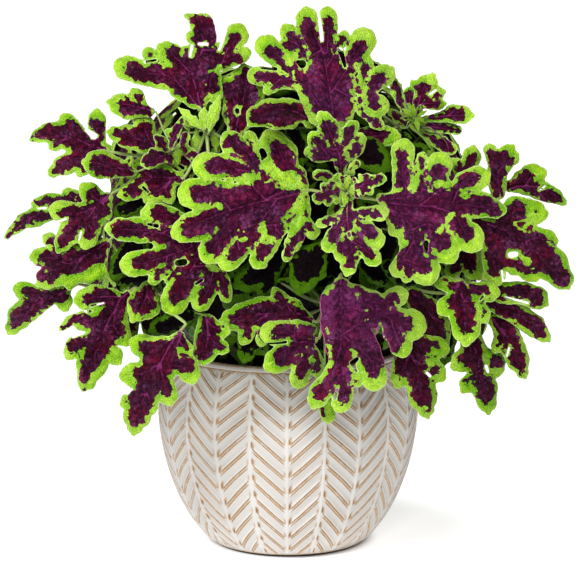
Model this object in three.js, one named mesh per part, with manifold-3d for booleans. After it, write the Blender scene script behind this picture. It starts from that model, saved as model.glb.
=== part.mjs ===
// A coleus growing in a bowl-shaped ceramic planter.
//
// Frame: millimetres, +Z up, origin at the centre of the pot's flat base. The plant's best side
// faces -Y. Every full leaf of that side is a solid of its own (blade and stalk); every shoot is
// one solid, its stem with the young leaves grown together with it.
//
// Leaf blades are written as skeletons: chains of circles [u, v, radius], the first chain along
// the midrib and one chain per lobe. u and v are drawing units on an upright drafting plane
// through the pot's axis, tipped back by DRAFT_TILT. Front blades are lifted from that plane
// along rays through the drafting centre to the depth
//   w = w0 + A s + B s^2 + C q + D q^2   (mm behind the plane),
// where s runs from 0 at the leaf base to 1 at its tip and q is the same measure sideways.
// Blades of the far side are laid out in a frame of their own (O, e1, e2, e3).

import * as THREE from 'three';
import { mergeVertices } from 'three/addons/utils/BufferGeometryUtils.js';
import Module from 'manifold-3d';

// ---- driving dimensions (mm) -------------------------------------------------------------
const POT_HEIGHT = 155;
const POT_PROFILE = [[58, 0], [61.6, 2.6], [67, 8], [73.4, 16], [79.7, 26], [86.6, 40], [93.7, 60], [98.2, 80], [100.6, 100], [99.6, 120], [95.6, 140], [92, 155]];
const POT_RIM = POT_PROFILE[POT_PROFILE.length - 1][0];
const POT_WALL = 6;
const POT_FLOOR = 9;
const RIM_ROUND = 1.5;
const SOIL_TOP = 139;          // soil surface at the wall
const SOIL_CROWN = 3;          // how much the surface rises in the middle
const GAP = 0.35;              // clearance between neighbouring solids
const LEAF_THICKNESS = 1.5;
const YOUNG_LEAF_THICKNESS = 1.3;
const STALK_RADIUS = 1.5;
const STEM_RADIUS = 3.4;
const STEM_STEPS = 5;
const INNER_AT = 0.3;           // along the midrib: where the stalk runs into the blade
const STEM_FOOT = 0.8;         // stems end this far above the soil surface, clear of its facets
const POT_SEGMENTS = 24;
const LEAF_POINTS = 18;        // most corners in an outline: full leaves, young ones, far side
const YOUNG_POINTS = 8;
const FAR_POINTS = 10;
const SMOOTHING = 0.12;        // facets flatter than this are merged

// ---- drafting plane ----------------------------------------------------------------------
const DRAFT_DISTANCE = 2000;   // from the drafting centre to the plane
const DRAFT_TILT = 10 * Math.PI / 180;
const DRAFT_UNITS = 2577;      // drawing units per unit slope: one unit is 0.776 mm on the plane
const UNIT = DRAFT_DISTANCE / DRAFT_UNITS;
const DRAFT_TARGET = new THREE.Vector3(0, 0, 199.1);
const AX_R = new THREE.Vector3(1, 0, 0);
const AX_U = new THREE.Vector3(0, Math.sin(DRAFT_TILT), Math.cos(DRAFT_TILT));
const AX_F = new THREE.Vector3(0, Math.cos(DRAFT_TILT), -Math.sin(DRAFT_TILT));
const DRAFT_CENTRE = DRAFT_TARGET.clone().addScaledVector(AX_F, -DRAFT_DISTANCE);

function lift(u, v, w) {
  const dir = AX_F.clone().addScaledVector(AX_R, u / DRAFT_UNITS).addScaledVector(AX_U, v / DRAFT_UNITS);
  return DRAFT_CENTRE.clone().addScaledVector(dir, DRAFT_DISTANCE + w);
}

// ---- plant data ---------------------------------------------------------------------------
// Stems: points from the soil to the shoot's tip.
const STEMS = {
  T1: [[14.0, -22.0, 136.0], [24.0, -52.0, 215.0], [38.9, -99.2, 281.3], [42.4, -135.6, 293.7]],
  T2: [[-32.0, -10.0, 136.0], [-62.0, -38.0, 230.0], [-78.9, -67.9, 306.9], [-85.9, -104.4, 318.8]],
  T3: [[28.0, 8.0, 136.0], [56.0, -26.0, 255.0], [84.0, -37.4, 328.1], [91.6, -73.9, 339.6]],
  T4: [[-12.0, 10.0, 136.0], [-38.0, -20.0, 250.0], [-54.5, -76.3, 325.0], [-59.3, -112.8, 336.6]],
  T5: [[44.0, -8.0, 136.0], [96.0, -34.0, 215.0], [144.6, -53.3, 272.5], [157.5, -89.7, 285.2]],
  T6: [[-36.0, -34.0, 136.0], [-66.0, -66.0, 185.0], [-91.3, -105.6, 211.0], [-99.4, -141.8, 224.8]],
  T7: [[6.0, 14.0, 136.0], [12.0, -30.0, 260.0], [22.5, -86.2, 330.6], [24.5, -122.7, 342.0]],
  T8: [[38.0, -36.0, 136.0], [84.0, -64.0, 190.0], [119.9, -92.0, 207.8], [130.6, -128.1, 221.7]],
  T9: [[2.0, -48.0, 136.0], [22.0, -74.0, 172.0], [25.1, -107.1, 198.6], [27.4, -143.2, 212.7]],
  B1: [[2.0, 46.0, 136.0], [0.7, 82.8, 224.5], [0.0, 128.7, 279.5], [0.0, 146.7, 306.9]],
  B2: [[28.0, 34.0, 136.0], [55.6, 75.1, 191.4], [78.9, 121.0, 236.4], [99.0, 139.0, 249.7]],
  B3: [[-28.0, 34.0, 136.0], [-55.2, 74.6, 194.0], [-78.3, 120.2, 239.7], [-98.3, 137.9, 254.1]],
  B4: [[52.0, 10.0, 136.0], [82.3, 6.4, 195.5], [112.2, 5.4, 242.2], [138.8, 6.1, 256.9]],
  B5: [[-52.0, 10.0, 136.0], [-81.6, 6.3, 198.0], [-111.1, 5.3, 245.4], [-137.3, 6.1, 261.1]],
  B6: [[0.0, 56.0, 136.0], [0.0, 106.2, 167.6], [0.0, 161.9, 206.9], [0.0, 189.5, 208.8]],
  B7: [[40.0, 30.0, 136.0], [67.5, 62.5, 157.1], [93.2, 100.1, 192.8], [115.9, 114.4, 190.6]],
  B8: [[-40.0, 30.0, 136.0], [-67.5, 62.5, 157.1], [-93.2, 100.1, 192.8], [-115.9, 114.4, 190.6]],
  B9: [[-4.0, 22.0, 136.0], [-1.4, 45.0, 232.1], [0.0, 71.4, 287.8], [0.0, 82.0, 319.7]],
  B10: [[38.0, 14.0, 136.0], [45.3, -9.3, 222.7], [53.6, -27.2, 274.0], [68.6, -31.6, 303.2]],
  B11: [[-38.0, 14.0, 136.0], [-45.3, -9.3, 222.7], [-53.6, -27.2, 274.0], [-68.6, -31.6, 303.2]],
};

// Front leaves: name, shoot, kind, midrib, lobe chains, depth coefficients, where the stalk leaves the stem.
const LEAVES = [
  { n: "tipR", s: "T1", k: "tip", m: [[61, 98], [70, 101], [82, 106], [94, 109]], c: [[[63, 98, 3.5], [70, 101, 5], [79, 105, 5], [86, 107, 6], [92, 109, 6]], [[69, 102, 2.5], [67, 108, 2.6]], [[74, 104, 3], [78, 111, 4]], [[76, 101, 3], [81, 97, 4.2]], [[67, 97, 2.5], [69, 92, 2.4]], [[73, 108, 2], [72, 112, 2]], [[73, 98, 2.5], [75, 94, 2.2]]], w: [-167.19, -22.63, 8.64, 2.11, 12.15], a: [42.4, -135.6, 293.7] },
  { n: "tipL", s: "T1", k: "tip", m: [[56, 98], [46, 96], [36, 93], [25, 89]], c: [[[54, 98, 3.5], [45, 96, 5.5], [37, 93, 5.5], [30, 90, 6.2]], [[43, 99, 3], [36, 101, 4.5]], [[44, 92, 3], [40, 86, 4.3]], [[50, 93, 2.5], [49, 87, 3.4]], [[48, 100, 3], [44, 105, 4]]], w: [-163.98, -33.07, 8.02, -1.97, 11.27], a: [42.4, -135.6, 293.7] },
  { n: "tipU", s: "T1", k: "tip", m: [[57, 102], [53, 108], [49, 112]], c: [[[57, 103, 3], [53, 108, 3], [50, 113, 2.6]], [[55, 102, 2], [58, 111, 2.4]], [[53, 104, 2.4], [47, 110, 2.6]]], w: [-158.73, -9.39, 3.18, 3.09, 4.47], a: [42.4, -135.6, 293.7] },
  { n: "tipD", s: "T1", k: "tip", m: [[59, 95], [57, 90], [55, 84]], c: [[[59, 95, 3], [57, 90, 2.6], [54, 84, 2.6]], [[60, 94, 2.5], [62, 90, 3]], [[62, 96, 2], [65, 92, 2]]], w: [-160.36, -10.63, 2.91, -3.67, 4.09], a: [42.4, -135.6, 293.7] },
  { n: "tipA", s: "T1", k: "tip", m: [[52, 108], [42, 111], [25, 113]], c: [[[46, 110, 2.6], [39, 113, 4.6], [30, 113, 5.4]], [[41, 110, 2], [38, 107, 3.2]]], w: [-151.96, -28.13, 6.82, 6.62, 9.59], a: [41.8, -126.8, 291.9] },
  { n: "tipB", s: "T1", k: "tip", m: [[58, 112], [63, 119], [72, 125]], c: [[[59, 114, 1.8], [63, 120, 3], [68, 124, 4.6]], [[62, 118, 2], [64, 115, 2.7]]], w: [-156.84, -19.57, 4.74, -6.03, 6.67], a: [42.4, -135.6, 293.7] },
  { n: "rosU", s: "T1", k: "leaf", m: [[55, 106], [53, 118], [51, 133], [44, 150], [34, 176]], c: [[[54, 114, 3], [52.5, 125, 7.2], [50, 136, 5.5], [46, 146, 7], [41, 160, 11], [35.5, 170, 8.4]], [[54, 136, 4], [58, 146, 6.5], [61, 155, 8.4], [65, 162, 6.4]], [[49, 131, 4], [42, 134, 6], [33, 141, 10.3], [27, 149, 8.2]], [[41, 130, 4], [28, 132, 6.5], [21, 136, 5.5]], [[55, 128, 4], [62, 131, 4.5], [69, 140, 7.5], [71.5, 149, 7.5]], [[57, 137, 2.6], [60, 141, 4.4]], [[64, 142, 2.6], [68, 145, 3.6]]], w: [-148.72, -60.51, 18.15, -6.89, 25.52], a: [41.6, -122.5, 291.4] },
  { n: "frontC", s: "T1", k: "leaf", m: [[60, 88], [59, 73], [61, 56], [64, 38], [62, 18]], c: [[[60, 84, 4.5], [59, 74, 9], [60, 60, 11], [62, 45, 9], [63, 30, 9], [60, 20, 8.5]], [[56, 68, 6], [46, 54, 7.5], [41, 44, 8.8]], [[58, 54, 6], [55, 42, 8], [55, 34, 9.4]], [[52, 71, 4], [39, 67, 5.5], [32, 64, 4.8]], [[66, 74, 5], [80, 75, 6.5], [92, 75, 8.6]], [[69, 66, 5], [80, 58, 8.8], [86, 49, 11.5]], [[69, 48, 6], [80, 36, 8], [85, 30, 9.4]]], w: [-160.0, -71.73, 17.39, -15.59, 24.45], a: [42.4, -135.6, 293.7] },
  { n: "topC", s: "T7", k: "leaf", m: [[45, 162], [44, 183], [40, 208], [35, 233], [21, 268]], c: [[[44, 167, 9], [42, 183, 26], [38, 203, 30], [37, 222, 19], [29, 240, 10], [21, 256, 12], [19, 270, 12]], [[38, 234, 7], [40, 254, 9.6], [39, 271, 10.6]], [[45, 228, 4], [51, 241, 5.6], [56, 251, 6.6]], [[56, 214, 9], [67, 231, 12], [75, 247, 14.2]], [[70, 198, 5], [76, 216, 6], [78, 225, 8.6]], [[74, 186, 7], [82, 198, 8], [89, 208, 10], [96, 213, 12]], [[76, 176, 7], [83, 182, 9], [90, 182, 12]], [[78, 174, 4], [88, 166, 7], [92, 163, 6]], [[12, 212, 9], [-6, 228, 11], [-21, 241, 13]], [[12, 222, 5], [2, 230, 5.5], [0, 246, 8.4]], [[17, 230, 5], [8, 246, 7], [0, 256, 9]], [[14, 204, 7], [-13, 209, 9], [-32, 212, 9.6]], [[-4, 206, 5], [-19, 199, 6.4]]], w: [-149.69, 6.52, 26.99, -12.74, 37.95], a: [24.3, -118.3, 341.0] },
  { n: "rightC", s: "T1", k: "leaf", m: [[84, 89], [110, 84], [142, 82], [174, 83], [218, 78]], c: [[[94, 89, 6], [110, 83, 15], [132, 78, 23], [157, 80, 20], [174, 83, 13], [194, 83, 13.5], [207, 79, 9.5], [212, 78, 7]], [[116, 92, 12], [114, 116, 9.5], [115, 137, 13]], [[134, 96, 8], [130, 117, 6], [134, 130, 6]], [[152, 94, 8], [149, 114, 12], [152, 124, 13]], [[152, 98, 4], [158, 103, 6.6]], [[164, 92, 7], [175, 106, 10], [190, 110, 13]], [[166, 74, 10], [175, 59, 12], [182, 50, 15.4]], [[142, 64, 14], [153, 48, 14], [158, 39, 15.6]], [[120, 66, 14], [127, 44, 15.5], [133, 27, 17], [137, 18, 16]], [[118, 34, 8], [110, 19, 9]], [[110, 68, 14], [108, 60, 9]], [[122, 26, 8], [119, 12, 7]]], w: [-159.28, -16.66, 33.39, 11.79, 46.95], a: [42.4, -135.6, 293.7] },
  { n: "leftUp", s: "T7", k: "minor", m: [[24, 165], [8, 176], [-16, 178], [-41, 164]], c: [[[18, 175, 8], [2, 176, 14], [-18, 175, 15], [-31, 172, 11], [-36, 167, 7]], [[12, 180, 7], [22, 166, 7]], [[-13, 166, 8], [4, 164, 6]]], w: [-141.53, -66.59, 16.14, -23.87, 22.7], a: [24.1, -109.9, 340.4] },
  { n: "bigL", s: "T1", k: "leaf", m: [[22, 98], [-4, 91], [-33, 85], [-62, 76], [-116, 55]], c: [[[14, 97, 5], [2, 90, 13], [-26, 82, 28], [-50, 78, 26], [-74, 68, 18], [-96, 61, 15], [-105, 57, 13]], [[-52, 90, 14], [-76, 96, 14], [-95, 94, 16]], [[-30, 110, 12], [-56, 122, 12], [-81, 122, 15]], [[-26, 116, 9], [-41, 136, 9], [-56, 145, 12], [-58, 149, 9]], [[8, 104, 7], [0, 118, 12], [-7, 133, 17], [-15, 146, 14]], [[16, 102, 5], [12, 116, 6]], [[-56, 62, 14], [-74, 41, 13], [-77, 37, 13.4]], [[-32, 60, 12], [-48, 40, 11], [-59, 28, 11.6]], [[-12, 62, 12], [-22, 42, 11], [-29, 28, 10]], [[4, 66, 10], [10, 56, 8], [5, 44, 9]], [[2, 42, 5], [-1, 32, 5.8]], [[12, 72, 8], [21, 62, 6], [25, 56, 7.6]], [[10, 86, 12], [14, 76, 9.5]], [[-20, 120, 8], [-34, 142, 5], [-38, 151, 6.6]]], w: [-161.05, -61.72, 35.89, -9.54, 50.47], a: [42.4, -135.6, 293.7] },
  { n: "shelfC", s: "T9", k: "leaf", m: [[53, 14], [53, -12], [54, -34], [52, -57], [46, -84]], c: [[[53, 2, 9], [54, -15, 22], [58, -34, 26], [57, -57, 20], [50, -78, 10], [42, -94, 11], [33, -103, 11.5], [29, -111, 11]], [[76, -12, 12], [96, -16, 10], [110, -8, 10.6]], [[87, -27, 14], [107, -33, 13], [123, -37, 16.4]], [[96, -37, 10], [108, -48, 9], [113, -58, 12]], [[74, -52, 14], [83, -72, 13], [86, -90, 13.6]], [[64, -70, 6], [67, -90, 6], [69, -94, 6]], [[52, -86, 8], [56, -102, 10], [53, -115, 10.4]], [[68, -2, 6], [86, -8, 5]]], w: [-164.75, -40.62, 24.4, 6.28, 34.31], a: [27.4, -143.2, 212.7] },
  { n: "shelfL", s: "T9", k: "leaf", m: [[31, -50], [18, -53], [2, -59], [-20, -78]], c: [[[26, -52, 4], [16, -53, 9], [4, -61, 12], [-6, -70, 13], [-13, -74, 13]], [[16, -48, 10], [-2, -44, 12], [-16, -45, 12.6]], [[18, -62, 6], [15, -78, 9.5], [11, -90, 10.6]], [[25, -60, 4], [30, -72, 6], [30, -83, 6.8]], [[22, -42, 7], [8, -36, 5]]], w: [-158.49, -39.28, 14.45, 7.72, 20.32], a: [27.4, -143.2, 212.7] },
  { n: "midL", s: "T4", k: "leaf", m: [[-70, 48], [-88, 40], [-108, 48], [-138, 57], [-185, 59]], c: [[[-82, 44, 9], [-98, 42, 18], [-116, 52, 14], [-148, 58, 13], [-168, 59, 11.5], [-176, 59, 8]], [[-108, 66, 10], [-128, 75, 10.5], [-138, 75, 10]], [[-106, 38, 12], [-136, 27, 12], [-155, 24, 13.4]], [[-90, 26, 14], [-105, 4, 14], [-114, -13, 14.6]], [[-76, 20, 9], [-80, -2, 10], [-87, -14, 10.4]], [[-72, 26, 8], [-65, 8, 6.5], [-62, -8, 7]], [[-112, 30, 5], [-124, 18, 5], [-134, 9, 6.6]], [[-98, 26, 6], [-112, 16, 5], [-120, 8, 4]]], w: [-163.35, -27.97, 28.69, -0.96, 40.34], a: [-59.3, -112.8, 336.6] },
  { n: "shield", s: "T8", k: "leaf", m: [[169, 12], [174, -8], [177, -30], [178, -59]], c: [[[171, 4, 6], [175, -10, 14], [178, -28, 17], [178, -43, 16]], [[166, -12, 9], [158, -19, 10.6]], [[188, -16, 9], [194, -27, 9.6]], [[186, -2, 8], [201, -4, 11.5]], [[168, 0, 7], [158, 4, 8], [152, 4, 6]]], w: [-134.09, -34.22, 17.77, 16.18, 24.99], a: [129.4, -123.5, 220.0] },
  { n: "rightB", s: "T5", k: "leaf", m: [[186, 66], [212, 60], [234, 48], [252, 32], [280, 0]], c: [[[190, 64, 8], [210, 52, 20], [230, 42, 22], [248, 36, 19], [264, 23, 17], [274, 10, 12], [278, 4, 7]], [[212, 62, 10], [228, 78, 14], [246, 75, 14.4]], [[248, 50, 12], [259, 48, 11.5]], [[232, 28, 11], [243, 16, 11.6]], [[216, 32, 12], [227, 21, 10]], [[204, 32, 11], [208, 13, 11.4]]], w: [-135.12, 2.68, 28.52, -14.41, 40.11], a: [157.5, -89.7, 285.2] },
  { n: "lowL1", s: "T6", k: "leaf", m: [[-102, -36], [-116, -54], [-130, -80], [-144, -110], [-153, -147]], c: [[[-108, -48, 5], [-120, -62, 14], [-130, -78, 20], [-138, -94, 18], [-145, -112, 15], [-151, -128, 14], [-153, -138, 10]], [[-128, -58, 10], [-140, -60, 12], [-147, -57, 13]], [[-142, -84, 10], [-156, -87, 13]], [[-148, -107, 8], [-160, -114, 9]], [[-116, -74, 10], [-101, -78, 12], [-98, -85, 12]], [[-124, -96, 10], [-120, -107, 11.4]], [[-138, -112, 8], [-136, -120, 7]], [[-108, -54, 7], [-101, -62, 8]]], w: [-155.12, 7.68, 30.33, -8.5, 42.66], a: [-98.5, -137.3, 223.2] },
  { n: "nearL", s: "T6", k: "minor", m: [[-142, 4], [-141, -6], [-146, -18], [-153, -34]], c: [[[-140, -2, 9], [-144, -15, 17], [-150, -24, 12.6]], [[-138, -14, 8], [-133, -22, 6]]], w: [-148.07, -26.71, 9.82, 7.55, 13.81], a: [-98.5, -137.3, 223.2] },
  { n: "lowL2", s: "T6", k: "leaf", m: [[-154, 0], [-168, -12], [-180, -34], [-191, -60], [-204, -104]], c: [[[-161, -7, 5], [-171, -20, 13], [-180, -38, 21], [-189, -57, 17], [-196, -76, 16], [-201, -92, 10], [-204, -100, 4.6]], [[-200, -54, 9], [-213, -58, 10], [-217, -64, 9]], [[-190, -34, 9], [-206, -34, 10]], [[-206, -28, 5], [-218, -33, 5.6], [-227, -41, 3]], [[-182, -56, 9], [-174, -68, 10.6]], [[-174, -38, 11], [-166, -49, 11]], [[-174, -10, 9], [-192, -9, 13], [-203, -11, 12]]], w: [-132.35, -32.78, 28.65, 20.81, 40.3], a: [-96.4, -123.9, 218.7] },
  { n: "leftM", s: "T2", k: "leaf", m: [[-174, 96], [-190, 82], [-204, 66], [-220, 48], [-230, 33]], c: [[[-180, 91, 5], [-190, 80, 13], [-203, 69, 17], [-216, 57, 13.5], [-225, 46, 9], [-229, 38, 4.5]], [[-212, 74, 11], [-228, 77, 12]], [[-196, 66, 11], [-201, 50, 12]], [[-190, 88, 10], [-200, 97, 10.6]], [[-184, 82, 8], [-181, 74, 6]]], w: [-127.7, -28.85, 20.93, -21.68, 29.43], a: [-85.9, -104.4, 318.8] },
  { n: "leftT", s: "T2", k: "minor", m: [[-152, 116], [-170, 120], [-188, 124], [-206, 128]], c: [[[-156, 116, 5], [-172, 120, 11], [-188, 124, 15], [-194, 125, 13.4]], [[-160, 122, 5], [-158, 128, 4]]], w: [-133.02, -17.32, 13.74, -5.08, 19.32], a: [-85.9, -104.4, 318.8] },
  { n: "t2a", s: "T2", k: "tip", m: [[-118, 138], [-114, 152], [-104, 171]], c: [[[-117, 141, 2.6], [-114, 154, 6], [-109, 163, 4.6], [-105, 170, 2.4]], [[-115, 148, 4], [-120, 156, 3.6]]], w: [-145.43, -22.47, 8.9, 7.51, 12.52], a: [-85.9, -104.4, 318.8] },
  { n: "t2b", s: "T2", k: "tip", m: [[-120, 136], [-125, 143], [-132, 153]], c: [[[-121, 138, 3], [-126, 145, 6], [-131, 151, 4]], [[-124, 142, 4], [-130, 140, 3.6]]], w: [-140.49, -15.26, 5.17, -6.52, 7.27], a: [-85.9, -104.4, 318.8] },
  { n: "t2c", s: "T2", k: "tip", m: [[-118, 134], [-128, 131], [-146, 123]], c: [[[-121, 133, 3.6], [-130, 131, 8], [-139, 127, 8.4]], [[-128, 135, 5], [-136, 136, 4]], [[-120, 130, 5], [-116, 128, 4.6]]], w: [-134.46, -30.81, 7.47, -9.49, 10.51], a: [-85.9, -104.4, 318.8] },
  { n: "t2d", s: "T2", k: "tip", m: [[-116, 138], [-105, 142], [-92, 130]], c: [[[-114, 138, 3], [-105, 140, 5], [-97, 134, 6], [-92, 128, 5]], [[-104, 144, 4], [-102, 152, 4.4]]], w: [-125.55, -25.91, 6.28, -6.31, 8.83], a: [-84.4, -95.1, 317.3] },
  { n: "upL1", s: "T4", k: "leaf", m: [[-86, 176], [-91, 196], [-96, 220], [-85, 243], [-92, 274]], c: [[[-87, 182, 5], [-92, 195, 16], [-99, 209, 24], [-95, 222, 22], [-83, 234, 10], [-83, 250, 12], [-86, 263, 12], [-94, 269, 6], [-101, 272, 3]], [[-78, 226, 14], [-60, 240, 10], [-51, 253, 12.4]], [[-64, 226, 8], [-46, 234, 9]], [[-85, 240, 5], [-96, 250, 6.6]], [[-116, 210, 13], [-146, 215, 12.6], [-162, 220, 13]], [[-106, 222, 11], [-116, 234, 11], [-122, 237, 10.6]], [[-132, 222, 6], [-139, 235, 7.4]], [[-78, 208, 12], [-74, 194, 9]]], w: [-138.97, 21.33, 24.38, 12.16, 34.29], a: [-58.8, -108.4, 335.6] },
  { n: "t3a", s: "T3", k: "minor", m: [[128, 174], [132, 190], [142, 216]], c: [[[130, 180, 5.6], [134, 193, 8.6], [140, 204, 13]], [[140, 192, 7], [151, 195, 7]], [[133, 195, 4], [126.5, 203, 5.6]], [[136, 184, 5], [152, 184, 6.6]]], w: [-121.69, -14.44, 10.99, -4.75, 15.46], a: [91.6, -73.9, 339.6] },
  { n: "t3b", s: "T3", k: "tip", m: [[123, 178], [121, 194], [121, 200]], c: [[[122, 182, 3], [121, 193, 6.8], [122, 195, 6.4]]], w: [-119.51, -8.49, 5.49, -4.61, 7.71], a: [91.6, -73.9, 339.6] },
  { n: "t3c", s: "T3", k: "tip", m: [[116, 174], [112, 190], [105, 210]], c: [[[115, 178, 3], [112, 189, 5.6], [108, 200, 6.4], [106, 205, 5]]], w: [-119.2, -7.89, 9.35, -22.16, 13.14], a: [91.6, -73.9, 339.6] },
  { n: "t3d", s: "T3", k: "minor", m: [[132, 170], [158, 172], [188, 173]], c: [[[136, 169, 3], [152, 171, 5], [164, 174, 9], [176, 173, 10.8]], [[164, 176, 6], [167, 179, 5]]], w: [-103.84, -39.18, 13.93, 33.51, 19.58], a: [91.6, -73.9, 339.6] },
  { n: "t3e", s: "T3", k: "tip", m: [[128, 164], [152, 160], [175, 156]], c: [[[131, 162, 3.6], [147, 161, 5.4], [161, 160, 6], [169, 158, 5]]], w: [-101.83, -37.74, 11.84, 28.96, 16.65], a: [90.8, -69.2, 338.6] },
  { n: "t3f", s: "T3", k: "tip", m: [[130, 158], [146, 150], [169, 134]], c: [[[136, 154, 2.6], [146, 149, 5.8], [155, 144, 8], [163, 139, 6]]], w: [-104.13, -41.91, 11.37, 12.46, 15.99], a: [90.8, -69.2, 338.6] },
  { n: "t3g", s: "T3", k: "tip", m: [[126, 168], [116, 160], [104, 172]], c: [[[124, 167, 3], [116, 164, 4.6], [108, 172, 5], [104, 176, 4]]], w: [-99.22, -22.9, 5.55, -5.63, 7.81], a: [90.2, -64.2, 338.2] },
  { n: "leftB", s: "T2", k: "leaf", m: [[-178, 48], [-200, 34], [-224, 21], [-248, 4]], c: [[[-182, 44, 6], [-194, 32, 14], [-210, 25, 20], [-228, 19, 17], [-242, 9, 12.6]], [[-228, 28, 10], [-242, 31, 10], [-249, 31, 10]], [[-204, 16, 8], [-196, 10, 8], [-188, 16, 8]], [[-218, 12, 8], [-218, 4, 7]], [[-230, 44, 6], [-239, 49, 7.6]]], w: [-132.84, -6.67, 20.53, -12.93, 28.87], a: [-85.9, -104.4, 318.8] },
  { n: "farL", s: "T2", k: "leaf", m: [[-202, 84], [-230, 80], [-258, 70], [-284, 47]], c: [[[-216, 80, 7], [-234, 77, 9], [-250, 73, 9.4], [-264, 67, 8], [-276, 57, 5], [-281, 51, 2.6]], [[-218, 86, 7], [-240, 87, 8.4], [-252, 85, 5]], [[-206, 90, 6], [-220, 94, 7]], [[-250, 66, 5], [-258, 63, 4]]], w: [-121.93, 19.46, 22.34, -22.35, 31.41], a: [-85.1, -99.7, 317.7] },
  { n: "farL2", s: "T6", k: "leaf", m: [[-210, 4], [-232, -8], [-254, -18], [-279, -48]], c: [[[-222, -2, 6], [-238, -9, 9], [-254, -16, 12], [-268, -28, 13], [-276, -40, 8.6]], [[-250, -6, 8], [-266, -2, 10]], [[-226, -6, 6], [-224, -14, 10]], [[-248, -18, 6], [-250, -23, 5]]], w: [-113.11, 18.77, 21.45, -15.57, 30.17], a: [-94.5, -114.9, 215.3] },
  { n: "upL3", s: "T2", k: "minor", m: [[-132, 176], [-146, 180], [-164, 184], [-181, 186]], c: [[[-138, 176, 5], [-148, 179, 9], [-160, 181, 13], [-170, 184, 12]], [[-148, 186, 6], [-152, 193, 8]]], w: [-114.44, -17.39, 12.42, -29.04, 17.46], a: [-83.0, -85.7, 316.9] },
  { n: "upL4", s: "T2", k: "leaf", m: [[-124, 136], [-140, 146], [-160, 151], [-182, 156]], c: [[[-130, 139, 5], [-144, 148, 13], [-162, 152, 12], [-174, 155, 8]], [[-142, 156, 10], [-145, 165, 11]]], w: [-128.69, -17.88, 15.23, -28.11, 21.42], a: [-85.1, -99.7, 317.7] },
  { n: "midUL", s: "T4", k: "leaf", m: [[-104, 110], [-122, 110], [-140, 108], [-170, 92]], c: [[[-110, 110, 7], [-126, 109, 15], [-140, 107, 14], [-154, 98, 10], [-162, 95, 9.6]], [[-138, 116, 9], [-150, 120, 10]], [[-128, 98, 12], [-136, 92, 11]], [[-122, 98, 10], [-120, 92, 9]]], w: [-139.03, -9.6, 16.99, -33.52, 23.89], a: [-58.8, -108.4, 335.6] },
  { n: "midUL2", s: "T4", k: "leaf", m: [[-76, 150], [-88, 138], [-98, 122], [-122, 112]], c: [[[-80, 145, 6], [-90, 138, 10], [-99, 126, 10], [-104, 115, 10], [-116, 115, 9.6]], [[-86, 144, 8], [-76, 140, 9]], [[-98, 144, 5], [-106, 136, 5]]], w: [-123.17, -19.45, 14.82, -25.08, 20.84], a: [-57.2, -91.4, 334.0] },
  { n: "farL3", s: "T2", k: "leaf", m: [[-176, 136], [-196, 142], [-222, 152], [-259, 148]], c: [[[-184, 138, 8], [-204, 145, 14], [-224, 154, 14.6], [-240, 155, 10], [-250, 152, 7], [-256, 149, 4]], [[-190, 148, 8], [-191, 164, 9.4], [-191, 170, 9.4]], [[-212, 158, 8], [-221, 167, 9]], [[-224, 148, 6], [-234, 142, 6]], [[-196, 134, 9], [-212, 128, 12], [-226, 122, 10], [-235, 116, 6]], [[-200, 120, 6], [-208, 115, 5]]], w: [-119.66, 18.22, 20.82, -15.43, 29.28], a: [-84.4, -95.1, 317.3] },
  { n: "rightU", s: "T5", k: "leaf", m: [[212, 92], [210, 112], [214, 130], [222, 145]], c: [[[210, 96, 8], [209, 112, 10], [212, 127, 12.6], [220, 136, 9.6]], [[214, 122, 8], [225, 130, 7.4]], [[206, 126, 6], [202, 138, 7.4]]], w: [-107.29, -23.02, 13.39, -18.5, 18.83], a: [156.1, -85.0, 283.9] },
  { n: "rightU2", s: "T5", k: "leaf", m: [[216, 98], [236, 102], [258, 98], [280, 82]], c: [[[222, 102, 6], [238, 104, 11], [255, 97, 10], [267, 92, 8], [275, 86, 4.6]], [[234, 108, 10], [245, 112, 14.4]]], w: [-104.0, -9.6, 16.38, -6.24, 23.04], a: [155.1, -80.2, 283.1] },
  { n: "rightU3", s: "T5", k: "minor", m: [[180, 92], [180, 108], [184, 142]], c: [[[180, 100, 7], [181, 116, 8], [184, 133, 10.6]], [[176, 112, 7], [168, 124, 7.4]]], w: [-120.63, -14.35, 12.46, -24.53, 17.52], a: [157.5, -89.7, 285.2] },
  { n: "rightM1", s: "T8", k: "leaf", m: [[186, 2], [212, -4], [236, -4], [260, -17]], c: [[[196, 0, 7], [216, -5, 11], [234, -5, 11.6], [249, -10, 11.6], [255, -14, 6.4]]], w: [-109.65, -19.68, 18.97, 4.58, 26.68], a: [125.8, -104.9, 213.3] },
  { n: "rightM2", s: "T8", k: "leaf", m: [[186, -8], [212, -18], [236, -30], [264, -56]], c: [[[196, -12, 6], [212, -18, 10], [230, -26, 11], [246, -38, 11.6], [257, -49, 7]], [[224, -26, 7], [229, -31, 7]]], w: [-108.45, -12.08, 22.74, 7.28, 31.98], a: [124.4, -100.4, 211.5] },
  { n: "rightL1", s: "T8", k: "leaf", m: [[198, -24], [214, -40], [224, -60], [236, -93]], c: [[[204, -30, 6], [217, -40, 13], [223, -55, 13], [230, -72, 11.6], [235, -85, 7]], [[216, -50, 9], [210, -58, 8]]], w: [-107.58, -18.03, 19.56, 23.94, 27.51], a: [124.4, -100.4, 211.5] },
  { n: "lowR2", s: "T8", k: "leaf", m: [[178, -32], [186, -56], [192, -82], [199, -128]], c: [[[182, -46, 10], [186, -64, 14], [192, -82, 12], [197, -102, 13], [199, -116, 11]], [[182, -68, 12], [173, -74, 12]], [[188, -88, 9], [180, -97, 10]], [[198, -68, 8], [207, -74, 10.6], [208, -80, 9.6]], [[202, -98, 7], [205, -104, 5]]], w: [-116.19, -29.3, 24.4, 59.85, 34.32], a: [125.8, -104.9, 213.3] },
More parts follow.
